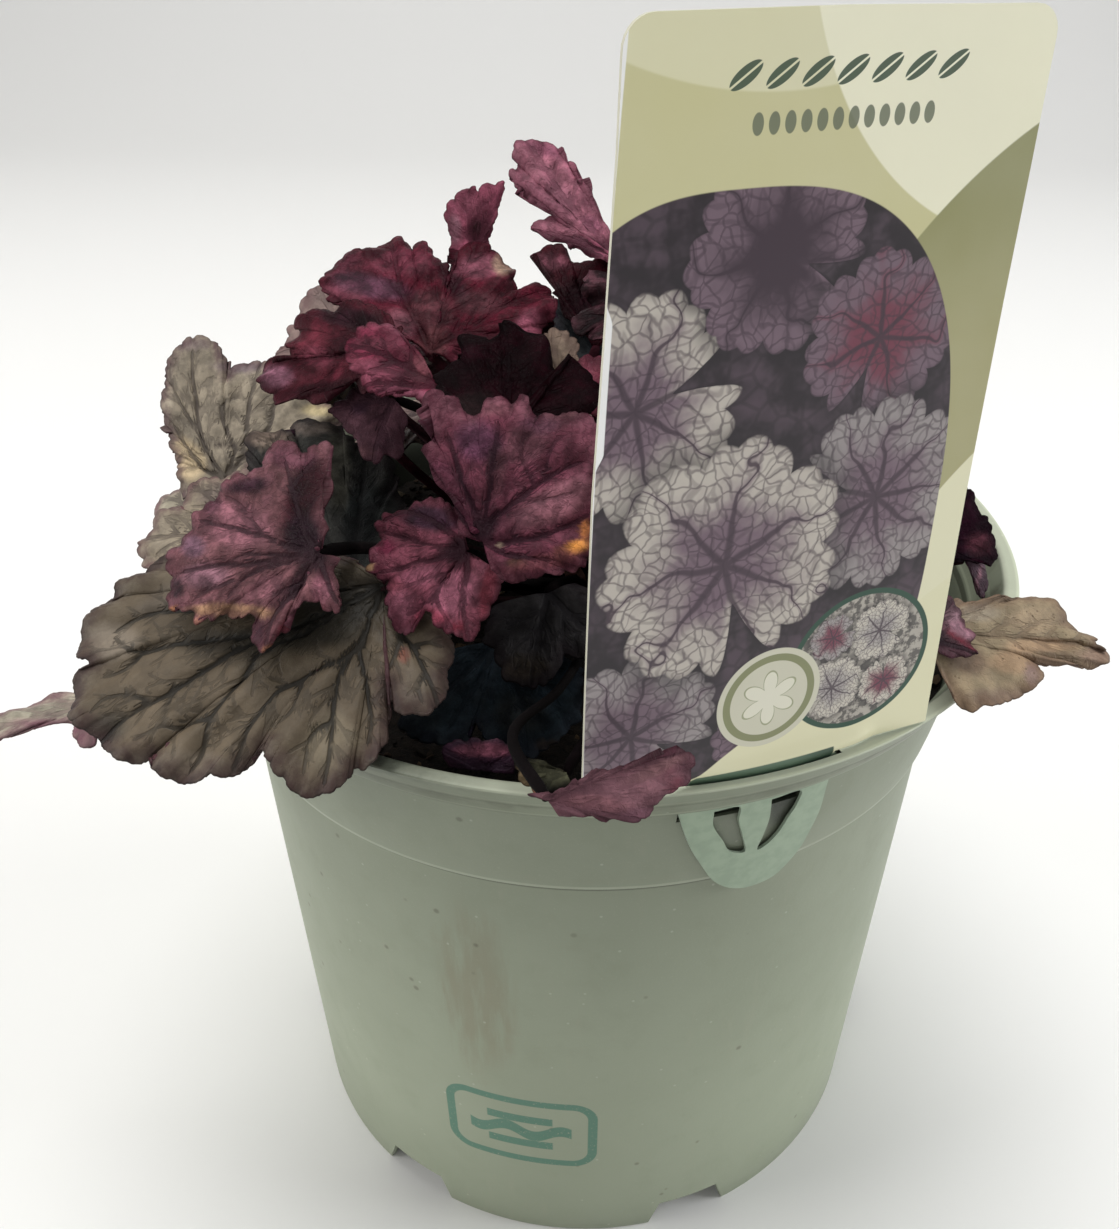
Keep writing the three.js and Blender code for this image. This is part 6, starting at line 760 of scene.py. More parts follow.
# how far the margin runs outside (+) or inside (-) the smooth line through the table's points, in tenths of a
# millimetre every 0.6 mm; a dot where the margin is hidden and regular teeth are made
EDGES = {
    1: ('-6 -4 -1 0 1 2 2 2 2 . . . . . . . . . . . . . . . . . . . . . . . . . . . . . . . . . . . . . . . . . . . 6 6 6 5 3 3 1 -1 -5 -4 '
        '-2 -2 -2 -2 -3 -3 -3 -2 -1 -1 -1 2 4 5 5 3 3 3 1 1 1 1 1 1 0 0 0 0 0 0 0 0 -1 0 0 0 1 3 5 4 5 7 7 6 6 6 3 1 -1 -2 -1 0 4 6 8 9 9 8 '
        '7 6 6 5 4 4 4 4 4 4 5 6 5 3 2 2 2 2 3 4 4 4 5 6 6 4 3 11 11 9 8 5 3 2 1 1 1 0 0 0 0 0 0 1 3 5 7 6 3 3 3 1 0 0 0 0 0 0 -1 -3 0 0 0 '
        '0 -3 4 5 5 2 1 2 4 6 7 5 3 3 2 -1 -2 -2 -1 0 0 -1 -1 -3 -7 -5 -3 0 0 1 1 1 2 2 2 2 5 7 8 1 0 1 0 0 -1 1 2 2 2 1 0 -3 -2 1 2 2 1 -3 '
        '-5 -7 -8 -8 -3 4 11 12 11 10 9 9 8 5 4 1 -5 -7 -5 -2 -1 1 3 3 3 2 3 5 6 5 5 2 -1 -4 -5 -5 -4 -3 -2 0 0 -1 -1 -1 . . . . . . . . . '
        '. . . . . . . . . . . . . . '),
    2: ('. . . . . . 5 0 -4 -2 0 1 3 4 4 4 4 4 4 4 2 2 2 4 7 7 6 . . . . . . . . . . . . . . . . . . . . . . . . . . . 0 0 0 -4 -10 -9 -7 '
        '-6 -5 -3 -2 -2 -2 -2 -2 -5 -9 -4 1 2 2 1 0 0 0 0 0 0 -1 -2 -1 0 0 . . . . . . . . . '),
    3: ('-3 -3 -3 -4 -6 -4 -1 1 2 4 4 3 3 3 3 3 3 2 2 2 2 3 5 5 5 4 3 1 0 -1 1 4 6 8 8 3 2 1 0 0 0 1 2 0 -1 -1 -1 1 0 0 1 2 5 4 2 4 1 1 1 3 '
        '3 2 -3 -2 -1 3 6 6 4 2 3 2 0 -1 -1 -3 2 2 -2 -5 -7 -5 -1 0 0 -4 -3 0 1 2 3 3 4 3 0 -2 -2 -2 0 3 5 5 2 3 3 3 3 2 2 1 -1 -3 -3 -2 0 '
        '1 0 -2 -6 -8 -8 -4 -2 -1 -1 0 1 2 3 2 0 -5 -8 -6 -3 -1 -1 0 1 1 -2 -4 -3 -2 1 3 -1 -4 -4 -3 -2 -1 -1 -2 -2 -1 0 -1 2 2 1 -1 -1 1 3 '
        '2 2 0 -3 -3 0 2 1 -1 -3 -4 0 2 0 -4 -8 -11 -10 -7 -6 -4 '),
    4: ('19 17 15 13 10 5 4 4 4 4 5 5 5 5 5 5 4 4 4 4 4 3 -2 -2 -2 -2 -1 -1 0 1 0 1 1 2 2 2 2 1 2 2 1 1 1 0 2 3 3 3 4 5 5 4 2 2 2 2 2 2 2 2 '
        '4 7 8 6 2 2 1 0 0 0 0 -2 -2 -1 0 0 0 0 0 0 0 0 0 1 2 0 -2 -2 6 9 6 3 2 2 1 1 0 0 0 0 0 0 0 0 0 0 0 0 . . . . . . . . . . . . . . . '
        '. . . . . . . . -1 -1 1 1 . . . . . . . . 7 2 -1 . . . . . . . . . . . . . . . . . . . . . . . . . . . . . . . '),
    5: ('. . . . . . . . . . . . . . . . . . . . . . . . . . . . . . . . . . . . . . . . . . . . . . . . -1 -3 -4 -5 -6 -6 -5 -5 -5 -6 -7 '
        '-7 -6 -3 -1 0 1 -2 -5 -7 -3 -1 -1 -1 0 0 2 4 6 6 6 5 6 11 11 7 6 5 5 6 6 7 7 5 0 1 -1 -2 2 1 2 3 5 5 8 10 11 8 4 1 1 1 1 0 -1 -1 2 '
        '. . . . . . . . . . . . . . 1 2 2 1 0 -1 -3 -4 -3 -3 -4 -5 -8 -10 -12 -14 -15 -13 -9 -6 -4 -3 -2 0 . . . . . . . . . . . . . . . . '
        '. . . . . . . . . . . . . '),
    6: ('. . . . . . . . . . . . . . . . . . -1 -1 -1 1 1 4 8 11 11 10 5 3 4 4 2 1 1 1 1 1 4 4 4 3 3 8 12 13 15 19 19 14 10 6 1 0 1 1 3 4 3 '
        '0 0 -4 -7 -2 0 0 0 0 0 2 0 0 0 0 0 0 3 4 4 4 5 5 5 4 2 -1 -3 -1 . . . . . . . . . . . . . . . . . . . . . . . . . . . . . . . '),
    7: ('. . . . . . . . . 1 1 0 -1 -2 -3 -2 -2 -2 -2 -2 -2 -2 -2 -2 -2 -2 -2 -2 -1 -2 -5 . . . . . . . . . . . . . . . . . . . . . '),
    8: ('. . . . . . . . . . . . . . . . -4 0 2 0 1 3 4 4 2 4 5 3 2 3 1 0 0 0 0 0 0 0 0 -2 -2 -1 -1 -1 -1 -1 0 0 0 0 0 1 1 2 3 3 3 3 3 4 4 '
        '5 2 0 0 0 0 0 0 1 1 1 1 2 3 7 11 11 7 5 3 1 1 1 1 1 1 1 2 2 2 2 2 4 4 4 4 4 4 3 0 -1 -1 0 2 4 10 14 13 12 11 12 9 7 6 4 4 5 1 -1 0 '
        '4 -1 0 0 0 0 0 0 0 0 1 1 1 3 4 5 4 3 3 3 3 3 3 3 3 4 4 1 0 0 -1 0 0 0 2 3 4 3 1 -1 -2 -1 1 1 1 3 6 8 9 8 4 3 3 1 -3 -5 -9 -10 -11 '
        '-11 -10 -6 -4 -4 -4 -4 -3 -1 2 6 4 1 1 1 0 -2 -5 -8 . . . . . 1 0 -1 . . . . '),
    9: ('. . . . . . . . . . . . . . . . -8 -17 -11 -2 3 4 6 9 8 8 10 9 9 8 7 5 3 -4 -8 -8 -7 -6 -5 -4 -3 0 3 5 5 4 2 1 -1 -2 -1 0 1 2 2 2 '
        '1 -1 -2 -3 -1 3 13 14 7 2 2 6 4 1 1 1 2 5 5 3 1 0 0 1 2 3 4 5 1 1 2 5 13 11 8 -2 -3 -4 -4 -3 -2 1 1 1 0 -2 -1 2 8 10 11 10 8 5 3 2 '
        '2 0 1 1 1 1 2 1 0 0 1 1 0 1 2 1 0 -1 -2 -4 -6 -8 -9 '),
    10: ('-10 -9 -8 -9 -9 -9 -8 -6 -2 0 3 4 2 5 5 3 2 1 1 1 1 3 4 5 5 5 1 0 3 3 2 2 2 1 0 0 1 2 2 2 1 -1 -4 -6 -7 -4 -1 2 3 3 2 2 2 0 -2 -4 '
        '-6 -4 -1 1 0 -1 -4 -5 . . . . . -3 -3 '),
    11: ('7 6 3 3 1 -1 -2 -2 -2 -2 -3 0 5 7 7 6 9 13 15 15 15 15 14 13 11 3 -2 -5 -3 1 2 5 8 7 6 2 0 0 2 3 6 13 11 7 4 4 4 4 7 9 6 2 2 -1 -3 '
        '-5 -5 -4 -2 1 2 3 3 1 0 -3 -4 -2 0 5 2 1 0 2 2 2 2 5 6 6 5 4 2 1 1 1 -3 -2 -1 -1 -1 0 0 0 -1 0 5 12 10 5 2 0 0 0 0 0 0 0 0 0 0 0 0 '
        '1 1 2 2 2 0 0 -1 -1 . . . . . . . . . 0 -2 -1 3 2 2 2 2 2 2 1 0 -1 -2 -1 0 -1 0 0 -2 -2 -1 0 2 2 -1 -3 -4 '),
    12: ('. . . . . . . . . 3 3 5 7 5 3 3 5 7 4 0 -2 -4 -3 -3 -2 2 3 2 0 1 3 1 2 2 2 5 8 7 7 6 4 -2 -4 -5 -4 -1 -1 -2 -1 0 0 0 0 0 4 5 3 2 2 '
        '2 1 -2 -3 -1 0 2 1 -1 0 -1 -2 0 1 -2 -3 -4 -5 -5 -5 -4 -4 -1 1 3 3 3 3 3 3 1 1 1 2 3 2 -1 -5 -8 -7 -5 -4 -2 -1 1 3 3 3 3 4 5 5 3 1 '
        '-2 -2 1 3 3 . . . '),
    13: ('10 13 15 10 4 1 2 1 1 -1 -2 0 -1 -4 -6 -5 1 3 1 2 3 3 3 2 0 2 5 7 4 2 1 1 0 1 2 1 -2 -5 -6 -2 3 5 2 0 -2 -1 1 2 3 3 4 7 8 7 6 '),
    14: ('9 3 1 1 1 1 1 1 1 1 1 1 1 1 1 2 3 2 1 0 0 0 0 0 0 -2 2 8 7 5 3 1 -1 -2 -2 -2 0 0 0 0 0 0 0 0 0 0 1 1 0 0 0 0 -1 -1 -1 -1 -1 . . . '),
    15: ('2 0 0 0 0 0 0 0 0 0 -1 -1 -1 -1 -1 -1 0 0 0 1 3 5 5 2 1 1 0 0 2 4 7 8 9 10 2 -1 -2 0 0 0 1 4 6 9 13 15 18 19 18 17 18 18 17 15 12 '
        '12 10 4 1 8 14 12 11 9 7 5 4 1 1 1 3 2 2 2 2 4 5 7 9 11 11 10 8 7 7 7 8 9 9 10 10 9 8 4 -1 -2 -3 -5 -6 -8 -8 -8 -6 -5 -5 -5 -5 -5 '
        '-5 -3 -1 0 1 0 -2 -6 -8 '),
    16: ('8 8 8 8 7 . . . . . . . . . . . . 6 4 4 6 8 11 14 16 17 15 12 8 4 2 0 0 0 0 0 0 0 0 0 5 7 5 2 0 0 -2 -4 2 0 0 -2 -4 -4 -3 -3 -1 . '
        '. . . . . . . . . . . . . . . . . . . . . . . . . . . . . . . . . . . . . . . . . . . . . '),
    17: ('. . . . . . . . . . . . -2 1 8 10 10 10 7 1 -4 -8 -9 -6 -4 -3 -5 -5 -4 . . . -1 -1 -1 0 -2 -3 -3 0 0 -4 -2 1 4 2 1 -2 -7 -7 -5 . . '
        '. . . . '),
    18: ('. . . . . . . . . . . . . . 8 9 9 6 2 1 -1 -3 -3 -3 -1 0 0 0 0 -1 0 2 1 -1 -1 1 . . . . . . . . . . . . . . . . . . . . . . . . . '
        '. '),
    19: ('13 13 13 14 13 12 12 12 14 14 15 11 5 1 -2 -2 -2 -1 -1 -3 -4 -2 0 1 2 -2 -6 -7 -3 -2 -2 -2 -2 -3 -3 -1 -1 -1 -1 -2 0 3 4 4 3 1 -1 '
        '-2 1 2 5 6 5 5 4 . . . . . . . . . . . . . . . . . . . . . . . . . . . . . . 0 1 3 3 4 4 '),
    20: ('. . . . . . . . . . . . . . . . . . 10 8 5 3 4 7 11 11 11 9 3 2 2 2 3 3 1 0 0 0 2 3 6 5 5 7 10 16 16 10 3 -1 -3 -3 0 2 3 2 . . . . '
        '. . . . . . -1 1 4 4 2 -1 -3 -6 -9 -8 -7 -8 -6 -4 -3 -3 -3 -3 -2 1 5 12 17 17 16 15 13 10 8 6 4 3 3 4 5 7 8 10 13 12 8 5 3 2 . . . '
        '. . . . . . . '),
    21: ('-4 -4 -4 -2 0 1 1 0 0 1 0 -2 0 1 2 2 2 1 -1 1 3 3 3 3 2 1 2 0 . . . 2 3 '),
    22: ('-7 -7 -8 -7 -4 0 0 -2 -3 -2 -1 -1 2 3 3 4 4 2 1 . . . . . . . . . . . . . '),
    23: ('2 -1 -6 -7 -7 -5 -5 -3 -3 -3 0 3 5 6 6 5 4 5 6 4 2 2 2 1 -1 -1 -1 0 -1 -1 0 1 1 3 2 3 0 -2 -1 -1 0 0 1 1 2 3 5 5 4 3 1 2 1 -1 -1 '
        '-1 -1 -3 -4 -4 -2 -1 -1 -1 0 1 1 1 1 1 1 3 4 5 7 8 10 11 12 14 '),
    24: ('-7 -6 -4 -3 -1 1 3 5 7 9 13 17 15 10 7 4 2 1 1 1 1 0 0 0 0 0 0 0 0 0 0 0 -1 -1 -1 -1 -1 -1 -1 -1 -1 -1 -1 -1 -1 -1 -1 -2 0 0 0 2 1 '
        '0 0 3 8 8 5 3 1 -1 -1 -3 -7 -10 -6 -4 -2 1 3 5 7 '),
    25: ('0 0 0 0 0 0 0 -2 -4 -5 -5 -5 -1 1 1 0 -1 -1 -6 -9 -10 '),
    26: ('. . . . . . . 0 2 3 3 3 1 1 2 2 1 1 1 0 2 3 3 3 2 2 1 1 1 1 1 1 1 1 2 2 2 1 1 1 1 1 3 2 4 4 5 4 0 -1 -1 -1 -1 -2 -1 1 3 4 2 -2 -2 '
        '1 8 8 9 9 8 8 3 -1 -2 -4 -4 -2 0 1 0 0 0 0 -1 -2 1 1 1 1 1 2 3 3 3 3 3 3 3 3 3 6 6 6 7 6 4 2 0 -1 -1 -1 -1 -1 -1 -1 -1 -1 -1 -1 -1 '
        '-1 0 0 0 0 0 0 0 0 0 0 1 1 2 1 0 0 0 0 0 0 0 0 -1 -1 -2 -2 -3 -4 -5 '),
    27: ('1 1 1 1 1 1 3 5 5 2 -1 -1 0 0 -2 0 -4 -4 -1 1 3 -3 -12 -12 -9 -5 -5 -6 -7 -5 -2 0 0 0 1 4 4 3 3 3 '),
    28: ('. . . . . . . . . . . . . . . . . . . . . 0 0 0 0 0 1 1 0 0 -2 -2 -4 1 9 12 12 6 . . 1 0 2 2 2 1 0 0 -2 -2 -1 -1 -1 -1 -1 -1 . . . '
        '. . . . . . . . '),
    29: ('. . . . . . . . . . . . . . . . . . . . -5 -6 -4 -2 -1 . . . . . . . . . . . . . . . . . . . . . . . . . . . . . . . . . . . . . . '
        '. . . . . . . . . '),
}
FINE = {1: 1.0, 3: 1.0, 11: 1.0, 8: 1.0, 12: 1.0, 4: 1.0}


# a leaf that looks different from the rest of its kind
RECAST = {23: "rimpink"}
# blades that reach further out on a stretch of their margin: number, (from, to, mm)
REACH = {46: (0.5, 0.9, 7.5)}


def pick_veins(phi, rho, s, number):
    total = phi[-1] - phi[0]
    w = max(2, int(2.6 / max((s[-1] - s[0]) / len(s), 1e-6)))
    k = np.exp(-np.linspace(-2, 2, 2 * w + 1) ** 2)
    pad = np.r_[rho[w:0:-1], rho, rho[-2:-w - 2:-1]]
    sm = np.convolve(pad, k / k.sum(), "valid")[:len(rho)]
    order = np.argsort(-sm)
    edge = math.radians(9)
    chosen = []
    for i in order:
        if phi[i] - phi[0] < edge or phi[-1] - phi[i] < edge:
            continue
        if all(abs(phi[i] - phi[j]) > math.radians(27) and abs(s[i] - s[j]) > 4.0 for j in chosen):
            lo, hi = max(0, i - 3 * w), min(len(sm), i + 3 * w + 1)
            if sm[i] >= sm[lo:hi].max() - 1e-9 or len(chosen) < 2:
                chosen.append(i)
        if len(chosen) >= number:
            break
    if len(chosen) < 2:
        for f in (0.3, 0.7):
            chosen.append(int(np.argmin(abs(phi - phi[0] - f * total))))
    return sorted(set(chosen))


def leaf_shape(row, seed):
    number = int(row[0][5:7])
    J, n = np.array(row[2], float), np.array(row[3], float)
    n /= np.linalg.norm(n)
    rim = np.array([[float(x) for x in t.split(",")] for t in row[4].split()])
    made = number >= 30
    r = np.random.default_rng(100 + number)
    dense = spline(rim, 0.3)
    # local frame: e1, e2 in the blade's plane
    e1 = dense[0, :3] - J
    e1 -= n * (e1 @ n)
    e1 /= np.linalg.norm(e1)
    e2 = np.cross(n, e1)
    d = dense[:, :3] - J
    # scalloped teeth, square to the margin
    tan = np.gradient(dense[:, :3], axis=0)
    tan /= np.maximum(np.linalg.norm(tan, axis=1, keepdims=True), 1e-9)
    out = np.cross(tan, n)
    if (out * d).sum() < 0:
        out = -out
    out /= np.maximum(np.linalg.norm(out, axis=1, keepdims=True), 1e-9)
    s = np.r_[0, np.cumsum(np.linalg.norm(np.diff(dense[:, :3], axis=0), axis=1))]
    line = EDGES.get(number)
    if line:
        tok = line.split()
        off = np.array([0.0 if t == "." else int(t) / 10.0 for t in tok])
        hid = np.array([1.0 if t == "." else 0.0 for t in tok])
        at = np.arange(len(tok)) * 0.6
        off, hid = np.interp(s, at, off), np.interp(s, at, hid)
    else:
        off, hid = 0 * s, 0 * s + 1.0
    wave = (4.8 if made else 3.9) * (1 + 0.25 * np.sin(s * 0.21 + r.uniform(0, 6)) + 0.15 * np.sin(s * 0.53 + r.uniform(0, 6)))
    phase = np.r_[0, np.cumsum(np.diff(s) / wave[1:])]
    amp = (1.35 if made else 0.8) * (1 + 0.3 * np.sin(s * 0.37 + r.uniform(0, 6)))
    tooth = amp * (np.abs(np.sin(np.pi * phase)) ** 0.6 - 0.7)
    tooth = tooth * hid + 0.05 * np.sin(s * 6.7 + r.uniform(0, 6))
    # small scallops: round bumps with sharp notches between them
    short = 2.9 * (1 + 0.22 * np.sin(s * 0.31 + r.uniform(0, 6)) + 0.15 * np.sin(s * 0.83 + r.uniform(0, 6)))
    beat = np.r_[0, np.cumsum(np.diff(s) / short[1:])]
    crest = np.abs(np.sin(np.pi * beat)) ** 0.6
    size = (0.42 if made else (0.3 if number in (1, 2, 26) else 0.62)) * (1 + 0.35 * np.sin(s * 0.57 + r.uniform(0, 6)))
    tooth = tooth + size * (crest - 0.72)
    notch = (1 - crest) ** 1.5
    if made:
        notch = np.maximum(notch, (1 - np.abs(np.sin(np.pi * phase)) ** 0.6) ** 1.5)
    ends = np.minimum(smoothstep(s, 0, 4), smoothstep(s[-1] - s, 0, 4))
    if number in REACH:
        at0, at1, far = REACH[number]
        f = s / s[-1]
        off = off + far * smoothstep(f, at0 - 0.08, at0 + 0.08) * (1 - smoothstep(f, at1 - 0.08, at1 + 0.08))
    dense[:, :3] += out * (tooth * ends + off)[:, None]
    # keep the margin turning one way about the junction
    d = dense[:, :3] - J
    x, y, h = d @ e1, d @ e2, d @ n
    ang = np.unwrap(np.arctan2(y, x))
    ang -= ang[0]
    sign = 1.0 if ang[-1] > 0 else -1.0
    a = np.maximum.accumulate(sign * ang + np.linspace(0, 1e-4, len(ang)))
    rad = np.hypot(x, y)
    x, y = rad * np.cos(a), rad * np.sin(a) * sign
    P = J + x[:, None] * e1 + y[:, None] * e2 + h[:, None] * n
    bow = dense[:, 3]
    dist = np.linalg.norm(P - J, axis=1)
    u = (P - J) / np.maximum(dist, 1e-6)[:, None]
    turn = np.arccos(np.clip((u[1:] * u[:-1]).sum(1), -1, 1))
    phi = np.r_[0, np.cumsum(turn)]
    # over-counted small zigzags: scale so that the unrolled angle follows the smooth angle
    phi *= max(a[-1], 0.3) / max(phi[-1], 1e-6) if phi[-1] > a[-1] * 1.05 else 1.0
    s = np.r_[0, np.cumsum(np.linalg.norm(np.diff(P, axis=0), axis=1))]
    idx = pick_veins(phi, dist, s, 7 if made or number == 1 else 6)
    return J, n, P, bow, dist, phi, s, idx, sign, made, number, notch


def leaf_grid(row, seed):
    J, n, P, bow, dist, phi, s, idx, sign, made, number, notch = leaf_shape(row, seed)
    mean = float(np.mean(dist))
    h = 0.62 if mean < 18 else (0.72 if mean < 24 else 0.85)
    if number in (13, 16, 17, 19, 20, 28, 29, 5):
        h *= 1.3
    h = {1: 0.42, 3: 0.55, 11: 0.55, 12: 0.55, 4: 0.6, 8: 0.6}.get(number, h)
    stops = [0.0] + [s[i] for i in idx] + [s[-1]]
    cols, vein_col = [0.0], []
    for k, (p, q) in enumerate(zip(stops[:-1], stops[1:])):
        m = max(16, int(round((q - p) / h / 8)) * 16)
        cols += list(p + (q - p) * np.arange(1, m + 1) / m)
        vein_col.append(len(cols) - 1)
    vein_col = vein_col[:-1]
    cols = np.array(cols)
    Pc = np.stack([np.interp(cols, s, P[:, c]) for c in range(3)], -1)
    bc, fc = np.interp(cols, s, bow), np.interp(cols, s, phi)
    dc = np.linalg.norm(Pc - J, axis=1)
    vphi = fc[vein_col]
    # rings
    close = {1: 0.72, 3: 0.72, 11: 0.75, 12: 0.7, 4: 0.85, 8: 0.85}.get(number, 1.05 if mean < 26 else 1.2)
    rings_n = int(np.clip(round(mean / close), 9, 56))
    rs = list(np.arange(1, rings_n + 1) / rings_n)
    rs.insert(-1, 1 - 0.4 / mean)
    rs = np.array(rs)
    N = len(cols)
    base, ring_cols, ring_start = [J[None]], [], []
    uv, rr, cc = [[0.0, 0.0]], [0.0], [0]
    count = 1
    for r in rs:
        stride = 1 if r > 0.9 else (2 if r > 0.62 else (4 if r > 0.3 else (8 if r > 0.14 else 16)))
        c = np.arange(0, N, stride)
        M = (J + Pc[c]) / 2 + n * bc[c, None]
        base.append((1 - r) ** 2 * J + 2 * r * (1 - r) * M + r * r * Pc[c])
        rho = r * dc[c]
        uv += np.stack([rho * np.cos(fc[c]), rho * np.sin(fc[c])], -1).tolist()
        rr += [r] * len(c)
        cc += c.tolist()
        ring_cols.append(c)
        ring_start.append(count)
        count += len(c)
    base = np.vstack(base)
    uv, rr, cc = np.array(uv), np.array(rr), np.array(cc)
    tris = []
    c0 = ring_cols[0]
    a = ring_start[0] + np.arange(len(c0) - 1)
    tris.append(np.stack([np.zeros_like(a), a, a + 1], -1))
    for j in range(len(rs) - 1):
        ni, no = len(ring_cols[j]), len(ring_cols[j + 1])
        si, so = ring_start[j], ring_start[j + 1]
        if ni == no:
            k = np.arange(ni - 1)
            tris.append(np.stack([si + k, so + k, so + k + 1], -1))
            tris.append(np.stack([si + k, so + k + 1, si + k + 1], -1))
        else:
            k = np.arange(ni - 1)
            tris.append(np.stack([si + k, so + 2 * k, so + 2 * k + 1], -1))
            tris.append(np.stack([si + k, so + 2 * k + 1, si + k + 1], -1))
            tris.append(np.stack([si + k + 1, so + 2 * k + 1, so + 2 * k + 2], -1))
    tris = np.vstack(tris)
    # boundary loop: out along the first column, round the rim, back along the last column
    first = [ring_start[j] for j in range(len(rs))]
    last = [ring_start[j] + len(ring_cols[j]) - 1 for j in range(len(rs))]
    rim_loop = list(range(ring_start[-1], ring_start[-1] + len(ring_cols[-1])))
    loop = [0] + first[:-1] + rim_loop + last[:-1][::-1]
    # vein coordinates
    fi = fc[cc]
    k = np.argmin(np.abs(fi[:, None] - vphi[None]), axis=1)
    df = fi - vphi[k]
    rho = np.hypot(uv[:, 0], uv[:, 1])
    va = rho * np.cos(np.clip(df, -1.5, 1.5))
    vv = np.where(np.abs(df) < 1.5, rho * np.abs(np.sin(df)), rho)
    # distance to the margin, in the unrolled plane
    ruv = uv[ring_start[-1]:]
    em = np.empty(len(uv))
    for i in range(0, len(uv), 2000):
        q = uv[i:i + 2000]
        em[i:i + 2000] = np.sqrt(((q[:, None] - ruv[None]) ** 2).sum(-1)).min(1)
    nick = np.interp(cols, s, notch)[cc] * (1 - smoothstep(em, 0.3, 1.7))
    return dict(nick=nick, J=J, n=n, base=base, uv=uv, rr=rr, cc=cc, tris=tris, loop=np.array(loop), va=va, vv=vv, em=em, arc=cols[cc],
                mean=mean, made=made, number=number, sign=sign, rim0=ring_start[-1], rim_phi=fc, vphi=vphi, vrad=dc[np.array(vein_col)])


def curve(p0, a0, length, bend, n):
    """A bent twig in the unrolled plane: start, heading, length, total turn, points."""
    out, p, a = [np.array(p0, float)], np.array(p0, float), a0
    for _ in range(n):
        p = p + np.array([math.cos(a), math.sin(a)]) * length / n
        a += bend / n
        out.append(p)
    return np.array(out)


def vein_net(g, view, r):
    """Polylines with a rank, in the unrolled plane (mm): (rank, points)."""
    uv, rr, num = g["uv"], g["rr"], g["number"]
    lines = []
    rim = uv[g["rim0"]:]
    rang, rrad = np.arctan2(rim[:, 1], rim[:, 0]), np.hypot(rim[:, 0], rim[:, 1])
    rphi = g["rim_phi"]

    def reach(phi):
        return float(np.interp(phi, rphi, rrad))

    def inside(p):
        a = math.atan2(p[1], p[0])
        if a < rphi[0] - 0.5:
            a += 2 * math.pi
        return math.hypot(p[0], p[1]) < reach(a) - 0.7 and rphi[0] < a < rphi[-1]

    def clip(P):
        keep = [P[0]]
        for p in P[1:]:
            if not inside(p):
                break
            keep.append(p)
        return np.array(keep)

    if num in TRACED:
        for rank, pts in TRACED[num]:
            q = []
            for pt in pts:
                d = ((view - np.array(pt, float)) ** 2).sum(1)
                k = np.argsort(d)[:4]
                w = 1 / (d[k] + 0.5)
                q.append((uv[k] * w[:, None]).sum(0) / w.sum())
            q = np.array(q)
            if rank == 0:
                q[0] = (0, 0)
            q = spline(np.c_[q, np.zeros(len(q))], 0.5)[:, :2]
            lines.append((rank, q))
    else:
        for k, f in enumerate(g["vphi"]):
            L = g["vrad"][k] * 0.95
            t = np.linspace(0, 1, max(8, int(L / 0.7)))
            side = 0.035 * np.sin(t * math.pi * r.uniform(0.8, 1.6)) * r.choice([-1, 1])
            lines.append((0, np.stack([L * t * np.cos(f + side), L * t * np.sin(f + side)], -1)))
    # side veins and twigs
    grown = []
    for rank, P in lines:
        if len(P) < 4:
            continue
        s = np.r_[0, np.cumsum(np.linalg.norm(np.diff(P, axis=0), axis=1))]
        L = s[-1]
        if num in TRACED:
            at, gap = 2.5 + r.uniform(0, 1.5), 4.8
        else:
            at, gap = 0.16 * L + r.uniform(0, 1.5), (4.4 if rank == 0 else 3.6)
        hand = r.choice([-1, 1])
        while at < L * 0.94:
            i = int(np.clip(np.searchsorted(s, at), 1, len(s) - 2))
            d = P[i + 1] - P[i - 1]
            a = math.atan2(d[1], d[0]) + hand * math.radians(r.uniform(38, 56))
            room = (0.42 + 0.25 * r.random()) * max(3.0, min(13.0, (L - at) * 0.85 + 2.0))
            if num in TRACED:
                room *= 0.82
            nrank = 1 if rank == 0 and num not in TRACED else 2
            T = clip(curve(P[i], a, room, -hand * math.radians(r.uniform(8, 34)), max(4, int(room / 0.6))))
            if len(T) > 3:
                grown.append((nrank, T))
                if room > 4.5:
                    m = len(T) // 2
                    d = T[m + 1 if m + 1 < len(T) else m] - T[m - 1]
                    T2 = clip(curve(T[m], math.atan2(d[1], d[0]) + hand * math.radians(r.uniform(24, 44)), room * 0.45, 0.2 * hand, 6))
                    if len(T2) > 2:
                        grown.append((2, T2))
            at += gap * r.uniform(0.55, 1.15) * 0.62
            hand = -hand if r.random() < 0.85 else hand
    return lines + grown


